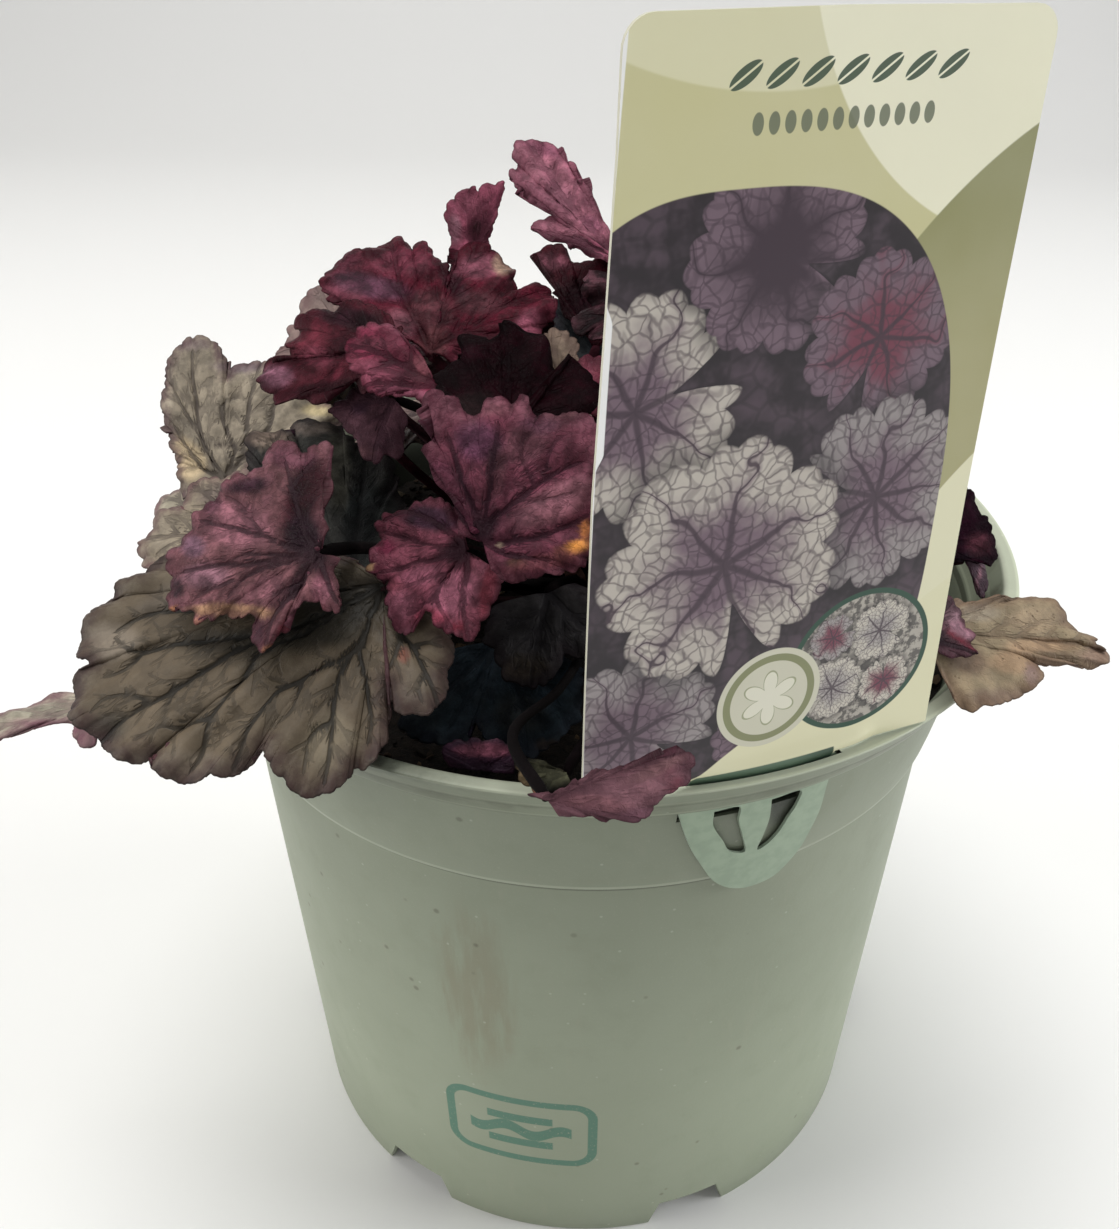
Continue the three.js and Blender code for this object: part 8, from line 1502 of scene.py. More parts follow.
def pot_material():
    s = Shade("pot_plastic")
    co = s.node("ShaderNodeTexCoord").outputs["Object"]
    mm = s.vmath("SCALE", co, None, scale=1000.0)
    x, y, z = s.parts(mm)
    ang = s.mul(s.math("ARCTAN2", y, x), 180 / math.pi)
    big = s.noise(mm, 0.022, 3, 0.5)
    mid = s.noise(mm, 0.12, 4, 0.6)
    fine = s.noise(mm, 1.7, 3, 0.6)
    stretch = s.noise(s.vmath("MULTIPLY", mm, (1.0, 1.0, 0.12)), 0.35, 4, 0.65)
    c = s.mix(s.step(big, 0.35, 0.65), lin((146, 154, 133)), lin((152, 160, 139)))
    c = s.mix(s.mul(s.step(mid, 0.5, 0.75), 0.25), c, lin((138, 146, 124)))
    # rubbed and dusty streaks down the side
    c = s.mix(s.mul(s.step(stretch, 0.56, 0.78), 0.20), c, lin((162, 162, 142)))
    # brown stain left of the middle, runs down
    sx = s.div(s.sub(ang, -107.0), 6.5)
    sz = s.div(s.sub(z, 78.0), 25.0)
    e = s.add(s.add(s.mul(sx, sx), s.mul(sz, sz)), s.mul(s.sub(mid, 0.5), 1.5))
    st = s.mul(s.step(e, 0.2, 1.5, (1.0, 0.0)), 0.42)
    c = s.mix(s.mul(st, s.step(stretch, 0.3, 0.6)), c, lin((132, 122, 98)))
    # specks of soil and pale dust
    cell = s.voronoi(mm, 0.16)
    pick = s.voronoi(mm, 0.16, out="Color")
    pr, pg, pb = s.parts(pick)
    dark = s.mul(s.step(cell, 0.05, 0.13, (1.0, 0.0)), s.step(pr, 0.62, 0.66))
    c = s.mix(s.mul(dark, 0.5), c, lin((84, 78, 62)))
    cell2 = s.voronoi(mm, 0.32)
    pr2, _, _ = s.parts(s.voronoi(mm, 0.32, out="Color"))
    pale = s.mul(s.step(cell2, 0.05, 0.12, (1.0, 0.0)), s.step(pr2, 0.7, 0.74))
    c = s.mix(s.mul(pale, 0.4), c, lin((196, 200, 184)))
    # darker and soil-brown on the rim and in the step under it: partly soil dust, partly painted shade in these
    # recesses
    inner = s.step(s.math("SQRT", s.add(s.mul(x, x), s.mul(y, y))), 81.5, 83.2, (1.0, 0.0))
    up = s.mul(s.step(z, 131.0, 139.0), inner)
    c = s.mix(s.mul(up, s.step(mid, 0.4, 0.62, (0.15, 0.6))), c, lin((70, 66, 50)))
    # painted shade: the pot's inner wall below the rim is made dark, most on the left and least near the top
    wall = s.mul(s.step(s.math("SQRT", s.add(s.mul(x, x), s.mul(y, y))), s.add(72.9, s.mul(s.sub(z, 111.0), 0.186)), s.add(73.1, s.mul(s.sub(z, 111.0), 0.186)), (1.0, 0.0)), s.step(z, 113.0, 115.0))
    wall = s.mul(s.mul(wall, s.step(x, 15.0, 45.0, (1.0, 0.25))), s.step(z, 127.0, 139.0, (0.9, 0.15)))
    c = s.mix(wall, c, lin((34, 36, 29)))
    # painted shade on the pot behind the label tongue's two windows, darkest at the top of the right one
    ls, ln = s.add(s.mul(x, LT[0]), s.mul(y, LT[1])), s.add(s.mul(x, LN[0]), s.mul(y, LN[1]))
    window_shade = s.mul(s.mul(s.step(s.size(s.add(ls, 4.6)), 8.0, 9.0, (1.0, 0.0)), s.step(z, 116.5, 119.0)), s.mul(s.step(z, 131.6, 132.0, (1.0, 0.0)), s.step(ln, 60.0, 61.0)))
    deep_s, deep_z = s.div(s.sub(ls, 1.8), 4.2), s.div(s.sub(z, 128.0), 7.5)
    deep = s.step(s.math("SQRT", s.add(s.mul(deep_s, deep_s), s.mul(deep_z, deep_z))), 0.5, 1.25, (1.0, 0.0))
    top_d = s.step(z, 126.0, 131.0)
    c = s.mix(s.mul(window_shade, s.least(0.88, s.add(0.22, s.add(s.mul(deep, 0.6), s.mul(top_d, 0.3))))), c, lin((34, 38, 33)))

    # thin painted lines at the steps of the collar and rim: the dark ones are painted shadow under a step, the pale
    # ones painted highlights along an edge
    def painted_edge_line(z0, half, k, rgb, cc):
        return s.mix(s.mul(s.step(s.size(s.sub(z, z0)), half * 0.5, half, (1.0, 0.0)), k), cc, rgb)

    c = painted_edge_line(110.2, 0.8, 0.7, lin((84, 90, 72)), c)
    c = painted_edge_line(111.7, 0.5, 0.55, lin((186, 192, 172)), c)
    c = painted_edge_line(131.9, 0.9, 0.8, lin((66, 70, 56)), c)
    c = painted_edge_line(133.3, 0.35, 0.45, lin((176, 184, 160)), c)
    c = painted_edge_line(136.6, 0.35, 0.4, lin((92, 98, 78)), c)
    c = painted_edge_line(137.6, 0.4, 0.3, lin((176, 184, 160)), c)
    c = painted_edge_line(141.3, 0.4, 0.4, lin((196, 200, 182)), c)
    # a plain teal mark: a rounded frame round two bars and a wavy band, printed low on the side
    u = s.mul(s.sub(ang, -101.0), 1.04)
    v = s.mul(s.sub(z, 36.2), 0.86)
    cu, cv = s.size(u), s.size(v)
    qx, qy = s.most(s.sub(cu, 9.4), 0.0), s.most(s.sub(cv, 4.9), 0.0)
    box = s.sub(s.math("SQRT", s.add(s.mul(qx, qx), s.mul(qy, qy))), 4.6)
    frame_l = s.step(s.size(s.add(box, 0.9)), 0.75, 0.95, (1.0, 0.0))
    bar = s.step(s.size(s.sub(s.size(s.sub(v, 0.0)), 3.6)), 0.95, 1.15, (1.0, 0.0))
    wav = s.add(v, s.mul(s.math("SINE", s.mul(u, 0.62)), 1.1))
    ribbon = s.mul(s.step(s.size(wav), 1.35, 1.6, (1.0, 0.0)), s.step(cu, 9.2, 9.5, (1.0, 0.0)))
    bar = s.mul(bar, s.step(cu, 5.8, 6.1, (1.0, 0.0)))
    mark = s.most(frame_l, s.most(bar, ribbon))
    mark = s.mul(mark, s.mul(s.step(s.size(s.sub(ang, -101.0)), 14.0, 14.5, (1.0, 0.0)), s.step(fine, 0.26, 0.40)))
    outside = s.step(s.math("SQRT", s.add(s.mul(x, x), s.mul(y, y))), 66.6, 67.0)
    mark = s.mul(mark, outside)
    c = s.mix(s.mul(mark, 0.85), c, lin((66, 118, 100)))
    # painted light: paler low down and darker under the rim, for light off the floor below and shade from the rim and
    # leaves above; the lip and rim are darker at the left in painted shade
    right = s.step(ang, -112.0, -90.0)
    painted_light = s.mul(s.step(z, 10.0, 146.0, (1.12, 0.71)), s.blend(s.step(z, 132.0, 132.8), 1.0, s.blend(right, 0.79, 1.0)))
    # painted light: the flat rim top is paler at the front right, with a painted highlight along its outer edge
    flat = s.mul(s.step(z, 141.15, 141.4), right)
    edge = s.mul(s.mul(s.step(z, 140.7, 141.2), s.step(s.math("SQRT", s.add(s.mul(x, x), s.mul(y, y))), 84.0, 84.5)), right)
    painted_light = s.mul(painted_light, s.add(s.add(1.0, s.mul(flat, 0.56)), s.mul(edge, 0.34)))
    soil = s.mul(s.mul(s.step(s.size(s.add(ang, 118.0)), 6.0, 20.0, (1.0, 0.0)), s.step(z, 138.5, 140.5)), s.step(mid, 0.36, 0.58, (0.25, 0.85)))
    c = s.mix(soil, c, lin((66, 76, 60)))
    # painted shade on the collar at the front left, under the low leaf
    painted_light = s.mul(painted_light, s.blend(s.mul(s.step(s.size(s.add(ang, 128.0)), 4.0, 22.0, (1.0, 0.0)), s.step(z, 112.0, 130.0)), 1.0, 0.86))
    c = s.mix(1.0, c, s.vec(painted_light, painted_light, painted_light), "MULTIPLY")
    speck = s.step(s.noise(mm, 3.2, 2, 0.5), 0.62, 0.72)
    c = s.mix(s.mul(speck, 0.10), c, lin((182, 188, 168)))
    h = s.add(s.mul(fine, 0.5), s.mul(s.noise(mm, 0.25, 2, 0.5), 1.2))
    scratch = s.noise(s.vmath("MULTIPLY", mm, (1.0, 1.0, 6.0)), 0.6, 3, 0.7)
    h = s.add(h, s.mul(scratch, 0.25))
    rough = s.add(0.42, s.mul(s.add(mid, st), 0.16))
    return s.surface(c, rough, s.bump(h, 0.35, 0.00012), 0.42)


# -------------------------------------------------------------------- compost
def compost_material():
    s = Shade("compost")
    co = s.node("ShaderNodeTexCoord").outputs["Object"]
    mm = s.vmath("SCALE", co, None, scale=1000.0)
    n1 = s.noise(mm, 0.5, 5, 0.65)
    n2 = s.noise(mm, 2.4, 4, 0.6)
    # very dark: the compost's own dark wet colour, darkened further as painted shade from the leaves over it
    c = s.mix(s.step(n1, 0.35, 0.65), lin((15, 12, 10)), lin((32, 26, 21)))
    c = s.mix(s.mul(s.step(n2, 0.58, 0.72), 0.5), c, lin((54, 43, 34)))
    fib = s.noise(s.vmath("MULTIPLY", mm, (0.4, 2.2, 1.0)), 1.3, 4, 0.7)
    c = s.mix(s.mul(s.step(fib, 0.62, 0.70), 0.35), c, lin((70, 56, 43)))
    h = s.add(s.mul(n1, 1.0), s.mul(n2, 0.5))
    return s.surface(c, 0.95, s.bump(h, 1.0, 0.0012), 0.25)


def bits_material():
    s = Shade("compost_bits")
    tint = s.attr("tint", "Color")
    co = s.node("ShaderNodeTexCoord").outputs["Object"]
    mm = s.vmath("SCALE", co, None, scale=1000.0)
    n = s.noise(mm, 2.5, 4, 0.65)
    v = s.add(0.5, n)
    c = s.mix(1.0, tint, s.vec(v, v, v), "MULTIPLY")
    return s.surface(c, 0.92, s.bump(n, 0.8, 0.0006), 0.25)


def build_compost(mat):
    nt, nr = 200, 58
    th = np.arange(nt) * 2 * np.pi / nt
    rad = 73.9 * (np.arange(1, nr + 1) / nr) ** 0.9
    X, Y = rad[:, None] * np.cos(th)[None], rad[:, None] * np.sin(th)[None]
    p = np.stack([X.ravel(), Y.ravel()], -1)
    z = 123.3 + 0.9 * wobble(p, 3, 0.16) + 0.55 * wobble(p, 4, 0.55) + 0.4 * wobble(p, 5, 1.4)
    z = z - 0.8 * smoothstep(np.hypot(p[:, 0], p[:, 1]), 60, 74)
    z = np.minimum(z, 124.3)
    verts = [np.array([[0, 0, 123.4]]), np.c_[p, z]]
    side = [(73.9, 121.5), (72.2, 112.0), (71.9, 111.4), (70.3, 109.4), (70.2, 108), (65.2, 9.95)]
    for r, zz in side:
        verts.append(np.stack([r * np.cos(th), r * np.sin(th), np.full(nt, zz)], -1))
    verts.append(np.array([[0, 0, 9.85]]))
    verts = np.vstack(verts)
    rows = nr + len(side)
    k = np.arange(nt)
    k1 = (k + 1) % nt
    quads = [np.stack([1 + i * nt + k, 1 + (i + 1) * nt + k, 1 + (i + 1) * nt + k1, 1 + i * nt + k1], -1) for i in range(rows - 1)]
    tris = [np.stack([np.zeros_like(k), 1 + k, 1 + k1], -1), np.stack([np.full_like(k, len(verts) - 1), 1 + (rows - 1) * nt + k1, 1 + (rows - 1) * nt + k], -1)]
    return make_mesh("compost_fill", verts, np.vstack(tris), [mat], quads=np.vstack(quads))


def ico():
    t = (1 + 5 ** 0.5) / 2
    v = np.array([(-1, t, 0), (1, t, 0), (-1, -t, 0), (1, -t, 0), (0, -1, t), (0, 1, t), (0, -1, -t), (0, 1, -t), (t, 0, -1), (t, 0, 1), (-t, 0, -1), (-t, 0, 1)], float)
    v /= np.linalg.norm(v[0])
    f = np.array([(0, 11, 5), (0, 5, 1), (0, 1, 7), (0, 7, 10), (0, 10, 11), (1, 5, 9), (5, 11, 4), (11, 10, 2), (10, 7, 6), (7, 1, 8),
                  (3, 9, 4), (3, 4, 2), (3, 2, 6), (3, 6, 8), (3, 8, 9), (4, 9, 5), (2, 4, 11), (6, 2, 10), (8, 6, 7), (9, 8, 1)])
    return v, f


def build_bits(mat):
    """Bits of bark, peat and grit lying in the surface."""
    v0, f0 = ico()
    r = np.random.default_rng(77)
    V, F, C = [], [], []
    n = 0
    cols = [lin(c) for c in ((24, 19, 15), (36, 28, 22), (50, 38, 29), (18, 15, 13), (72, 58, 43), (112, 102, 84))]
    wts = [0.32, 0.26, 0.16, 0.16, 0.07, 0.03]
    for i in range(1500):
        rad, a = 73.0 * math.sqrt(r.random()), r.random() * 2 * np.pi
        if rad < 12.5:
            continue
        k = r.choice(6, p=wts)
        size = (0.35 + 1.1 * r.random() ** 2) * np.array([1.0, 0.5 + 0.5 * r.random(), 0.35 + 0.4 * r.random()])
        if r.random() < 0.25:
            size *= np.array([2.0, 0.55, 0.6])
        z = 123.4 + 0.4 * r.random() - 0.8 * float(smoothstep(rad, 60, 74))
        v = v0 * size * (1 + 0.25 * r.normal(size=(12, 1)))
        e = r.random(3) * np.array([0.7, 0.7, 6.28]) - np.array([0.35, 0.35, 0])
        cx, sx, cy, sy, cz, sz = math.cos(e[0]), math.sin(e[0]), math.cos(e[1]), math.sin(e[1]), math.cos(e[2]), math.sin(e[2])
        Rm = np.array([[cz, -sz, 0], [sz, cz, 0], [0, 0, 1]]) @ np.array([[cy, 0, sy], [0, 1, 0], [-sy, 0, cy]]) @ np.array([[1, 0, 0], [0, cx, -sx], [0, sx, cx]])
        v = v @ Rm.T + np.array([rad * math.cos(a), rad * math.sin(a), z])
        V.append(v); F.append(f0 + n); n += 12
        C.append(np.tile(np.r_[cols[k] * (0.8 + 0.4 * r.random()), 1.0], (12, 1)))
    return make_mesh("compost_bits", np.vstack(V), np.vstack(F), [mat], {"tint": np.vstack(C)}, smooth=False)


# ---------------------------------------------------------------------- crown
def build_crown(mat):
    nt, nr = 72, 26
    th = np.arange(nt) * 2 * np.pi / nt
    V = [np.array([[0, 0, 124.5 + 11.9]])]
    for i in range(1, nr + 1):
        a = np.pi / 2 * (1 - i / nr)
        r0, z0 = 11.9 * math.cos(a), 124.5 + 11.9 * math.sin(a)
        # overlapping scale bases in spirals
        k = np.sin(th * 8 + i * 0.9) * 0.5 + 0.5
        d = -0.9 * (1 - k ** 0.7) * math.sin(np.pi * min(1, i / nr)) ** 0.3
        V.append(np.stack([(r0 + d * math.cos(a)) * np.cos(th), (r0 + d * math.cos(a)) * np.sin(th), z0 + d * math.sin(a) * np.ones(nt)], -1))
    V.append(np.stack([11.9 * np.cos(th), 11.9 * np.sin(th), np.full(nt, 123.95)], -1))
    V.append(np.array([[0, 0, 123.95]]))
    V = np.vstack(V)
    rows = nr + 1
    k = np.arange(nt)
    k1 = (k + 1) % nt
    quads = [np.stack([1 + i * nt + k, 1 + (i + 1) * nt + k, 1 + (i + 1) * nt + k1, 1 + i * nt + k1], -1) for i in range(rows - 1)]
    tris = [np.stack([np.zeros_like(k), 1 + k, 1 + k1], -1), np.stack([np.full_like(k, len(V) - 1), 1 + (rows - 1) * nt + k1, 1 + (rows - 1) * nt + k], -1)]
    return make_mesh("crown_scales", V, np.vstack(tris), [mat], quads=np.vstack(quads))


def crown_material():
    s = Shade("crown")
    co = s.node("ShaderNodeTexCoord").outputs["Object"]
    mm = s.vmath("SCALE", co, None, scale=1000.0)
    n1 = s.noise(mm, 0.45, 5, 0.6)
    n2 = s.noise(s.vmath("MULTIPLY", mm, (1.0, 1.0, 0.2)), 1.6, 4, 0.6)
    c = s.mix(s.step(n1, 0.35, 0.65), lin((62, 40, 34)), lin((96, 62, 50)))
    c = s.mix(s.mul(s.step(n2, 0.55, 0.7), 0.5), c, lin((120, 60, 62)))
    return s.surface(c, 0.8, s.bump(n2, 0.8, 0.0006), 0.3)


# ---------------------------------------------------------------------- label
def tongue_r(z):
    d = np.asarray(z, float) - POT_H
    return np.where(d > -9.2, 82.6 + 0.467 * d, 78.304 + 0.186 * (d + 9.2))


def label_place(s, z):
    """Middle surface of the sheet."""
    d = z - POT_H
    wz = 1 - smoothstep(d, 0.3, 4.0)
    ws = np.where(d < 0.3, 1.0, 1 - smoothstep(np.abs(s + 5), 14.5, 18.5))
    w = wz * ws
    arc = np.sqrt(np.maximum(tongue_r(z) ** 2 - s * s, 1.0))
    return on_label(s, 81.6 * (1 - w) + arc * w, z)


def rounded(points, step=0.5):
    P = np.array(points, float)
    P = np.vstack([P, P[:1]])
    return spline(np.c_[P, np.zeros(len(P))], step)[:-1, :2]


LABEL_TONGUE = [(-19.2, -2.0), (-19.05, -6), (-18, -10.6), (-15, -19.2), (-12.2, -24.8), (-9.6, -29.4), (-6.6, -32.4),
                (-3.7, -33.8), (-0.9, -34.1), (2.7, -33.3), (5.0, -30.9), (7.1, -27.2), (8.1, -22.9), (8.8, -18.4), (8.55, -12), (8.2, -6), (7.0, -2.0)]
CUT_LEFT = [(-12.4, -10.5), (-8.1, -10.5), (-7.6, -14), (-6.3, -18), (-4.9, -23.2), (-6.6, -22.8), (-7.9, -21.9), (-9.6, -18.6), (-12.0, -14)]
CUT_RIGHT = [(-2.4, -10.5), (3.1, -10.5), (3, -14.3), (2.1, -16.8), (1.1, -20), (-0.5, -22.5), (-2.4, -23.6), (-2.1, -20), (-1.8, -15.7)]


def arc_pts(cx, cy, r, a0, a1, n=8):
    a = np.radians(np.linspace(a0, a1, n))
    return [(cx + r * math.cos(t), cy + r * math.sin(t)) for t in a]


def build_label(mats):
    right = arc_pts(18.4, 101.0, 3.5, 0, 88)
    left = arc_pts(-30.2, 101.4, 3.6, 91, 182)
    outline = [(-37.3, 1.2), (-19.4, 1.2)]
    tongue = spline(np.c_[np.array(LABEL_TONGUE), np.zeros(len(LABEL_TONGUE))], 0.6)[:, :2]
    outline += [tuple(p) for p in tongue]
    outline += [(4.7, 0.75), (22.8, 0.45), (22.3, 22), (21.9, 43), (21.8, 69), (21.9, 87)]
    outline += right + [(13, 104.6), (-7, 105.0)] + left + [(-34.1, 91), (-35.2, 70.3), (-36.3, 51.4), (-36.9, 24.6)]
    O = np.array(outline)
    # add points along long edges
    dense = []
    for i in range(len(O)):
        a, b = O[i], O[(i + 1) % len(O)]
        m = max(1, int(np.linalg.norm(b - a) / 2.0))
        dense += [a + (b - a) * t / m for t in range(m)]
    O = np.array(dense)
    holes = [rounded(CUT_LEFT, 0.5), rounded(CUT_RIGHT, 0.5)]
    pts, edges, loops = [tuple(p) for p in O], [], []
    m = len(O)
    edges += [(i, (i + 1) % m) for i in range(m)]
    for h in holes:
        k = len(pts)
        pts += [tuple(p) for p in h]
        edges += [(k + i, k + (i + 1) % len(h)) for i in range(len(h))]

    def inside(q, poly):
        x, y = q[:, 0][:, None], q[:, 1][:, None]
        a, b = poly[None], np.roll(poly, -1, 0)[None]
        c = ((a[..., 1] > y) != (b[..., 1] > y)) & (x < (b[..., 0] - a[..., 0]) * (y - a[..., 1]) / (b[..., 1] - a[..., 1] + 1e-12) + a[..., 0])
        return c.sum(1) % 2 == 1

    def near(q, poly, d):
        a, b = poly, np.roll(poly, -1, 0)
        ab = b - a
        t = np.clip(((q[:, None] - a[None]) * ab[None]).sum(-1) / np.maximum((ab ** 2).sum(-1), 1e-9), 0, 1)
        return (np.linalg.norm(q[:, None] - (a[None] + t[..., None] * ab[None]), axis=-1).min(1) < d)

    grid = []
    for z in np.arange(-34, 6, 1.0):
        for x in np.arange(-37, 23, 1.2):
            grid.append((x + (0.3 if int(z) % 2 else 0), z + 0.35))
    for z in np.arange(6.5, 102, 3.5):
        for x in np.arange(-37, 23, 3.5):
            grid.append((x, z))
    G = np.array(grid)
    ok = inside(G, O) & ~near(G, O, 0.45)
    for h in holes:
        ok &= ~inside(G, h) & ~near(G, h, 0.3)
    pts += [tuple(p) for p in G[ok]]
    out = delaunay_2d_cdt([Vector(p) for p in pts], edges, [], 0, 1e-5)
    V2 = np.array([tuple(v) for v in out[0]])
    T = np.array([f for f in out[2]])
    cen = V2[T].mean(1)
    keep = inside(cen, O)
    for h in holes:
        keep &= ~inside(cen, h)
    T = T[keep]
    used = np.unique(T)
    remap = -np.ones(len(V2), int)
    remap[used] = np.arange(len(used))
    V2, T = V2[used], remap[T]
    a = V2[T]
    area = (a[:, 1, 0] - a[:, 0, 0]) * (a[:, 2, 1] - a[:, 0, 1]) - (a[:, 2, 0] - a[:, 0, 0]) * (a[:, 1, 1] - a[:, 0, 1])
    T[area < 0] = T[area < 0][:, ::-1]
    T = T[np.abs(area) > 0.02]
    z = V2[:, 1] + POT_H
    P = label_place(V2[:, 0], z)
    half = 0.28
    # s runs to the right seen from outside, z up: the counter-clockwise side faces along +LN x ... check the sign
    front = P + LN * half
    back = P - LN * half
    n = len(V2)
    fn = np.cross(P[T[:, 1]] - P[T[:, 0]], P[T[:, 2]] - P[T[:, 0]])
    if (fn @ LN).sum() < 0:
        T = T[:, ::-1]
    edge_count = {}
    for t in T:
        for p, q in ((t[0], t[1]), (t[1], t[2]), (t[2], t[0])):
            edge_count[(int(p), int(q))] = 1
    rim = [(p, q) for (p, q) in edge_count if (q, p) not in edge_count]
    # separate vertices for the cut edge, so that it stays crisp
    ev = sorted({p for e in rim for p in e})
    em = {p: i for i, p in enumerate(ev)}
    V = np.vstack([front, back, front[ev], back[ev]])
    e0, e1 = 2 * n, 2 * n + len(ev)
    walls = []
    for p, q in rim:
        walls.append((e0 + em[q], e0 + em[p], e1 + em[p]))
        walls.append((e0 + em[q], e1 + em[p], e1 + em[q]))
    F = np.vstack([T, T[:, ::-1] + n, np.array(walls)])
    fm = np.r_[np.zeros(len(T)), np.ones(len(T)), np.full(len(walls), 1)]
    sz = np.c_[V2, np.ones(n)]
    szb = np.c_[V2, np.zeros(n)]
    A = np.vstack([sz, szb, szb[ev], szb[ev]])
    ob = make_mesh("label_sheet", V, F, mats, {"sheet": A}, face_mat=fm)
    return ob


def label_back_material():
    s = Shade("label_back")
    s.dims = "2D"
    x, y, f = s.parts(s.attr("sheet"))
    p = s.vec(x, y)
    low = s.step(y, 0.2, 1.2, (1.0, 0.0))
    n = s.noise(p, 0.3, 3, 0.5)
    c = s.mix(low, lin((206, 204, 186)), lin((150, 166, 148)))
    c = s.mix(s.mul(n, 0.12), c, lin((170, 168, 150)))
    return s.surface(c, 0.4, None, 0.45)


def print_leaf(s, x, y, cx, cy, R, turn, lobes, pale, deep, vein, under, field):
    """One printed leaf: a scalloped round leaf with radiating veins, laid over the colour under."""
    c, q = math.cos(math.radians(turn)), math.sin(math.radians(turn))
    dx, dy = s.sub(x, cx), s.sub(y, cy)
    u = s.div(s.add(s.mul(dx, c), s.mul(dy, q)), R)
    v = s.div(s.sub(s.mul(dy, c), s.mul(dx, q)), R)
    rad = s.math("SQRT", s.add(s.mul(u, u), s.mul(v, v)))
    a = s.math("ARCTAN2", v, u)
    wob, sway, net = field
    big = s.math("POWER", s.size(s.math("SINE", s.mul(a, lobes / 2.0))), 0.7)
    small = s.size(s.math("SINE", s.mul(a, lobes * 1.5)))
    notch = s.step(s.size(s.sub(s.size(a), math.pi)), 0.0, 0.28)
    edge = s.mul(s.add(s.add(0.80, s.mul(big, 0.13)), s.add(s.mul(small, 0.06), s.mul(wob, 0.06))), s.blend(notch, 0.35, 1.0))
    t = s.div(rad, edge)
    mask = s.step(t, 0.97, 1.0, (1.0, 0.0))
    # radiating veins
    bend = s.mul(s.sub(sway, 0.5), s.mul(rad, 1.5))
    k = s.div(s.mul(s.add(a, bend), lobes), 2 * math.pi)
    k = s.add(k, 0.5)
    df = s.mul(s.size(s.sub(k, s.math("ROUND", k))), 2 * math.pi / lobes)
    across = s.mul(rad, s.math("SINE", s.least(df, 1.5)))
    along = s.mul(rad, s.math("COSINE", s.least(df, 1.5)))
    thin = s.step(rad, 0.1, 0.85, (1.0, 0.3))
    main = s.step(s.div(across, thin), 0.012, 0.05, (1.0, 0.0))
    halo = s.step(s.div(across, thin), 0.0, 0.2, (1.0, 0.0))
    sq = s.div(s.sub(along, s.mul(across, 0.9)), 0.17)
    sec = s.mul(s.size(s.sub(sq, s.math("ROUND", sq))), 0.12)
    sec = s.mul(s.step(sec, 0.006, 0.022, (1.0, 0.0)), s.step(across, 0.01, 0.05))
    col = s.mix(s.step(s.add(s.mul(t, 0.8), s.mul(wob, 0.5)), 0.45, 0.95), deep, pale)
    col = s.mix(s.mul(halo, 0.6), col, deep)
    col = s.mix(s.mul(net, 0.55), col, vein)
    col = s.mix(s.most(s.mul(main, 0.85), s.mul(sec, 0.32)), col, vein)
    shade = s.step(t, 0.9, 1.0)
    col = s.mix(s.mul(shade, 0.35), col, vein)
    # soft shadow round the leaf
    sh = s.mul(s.step(t, 0.98, 1.25, (1.0, 0.0)), 0.55)
    base = s.mix(sh, under, (0.012, 0.008, 0.012, 1))
    return s.mix(mask, base, col)


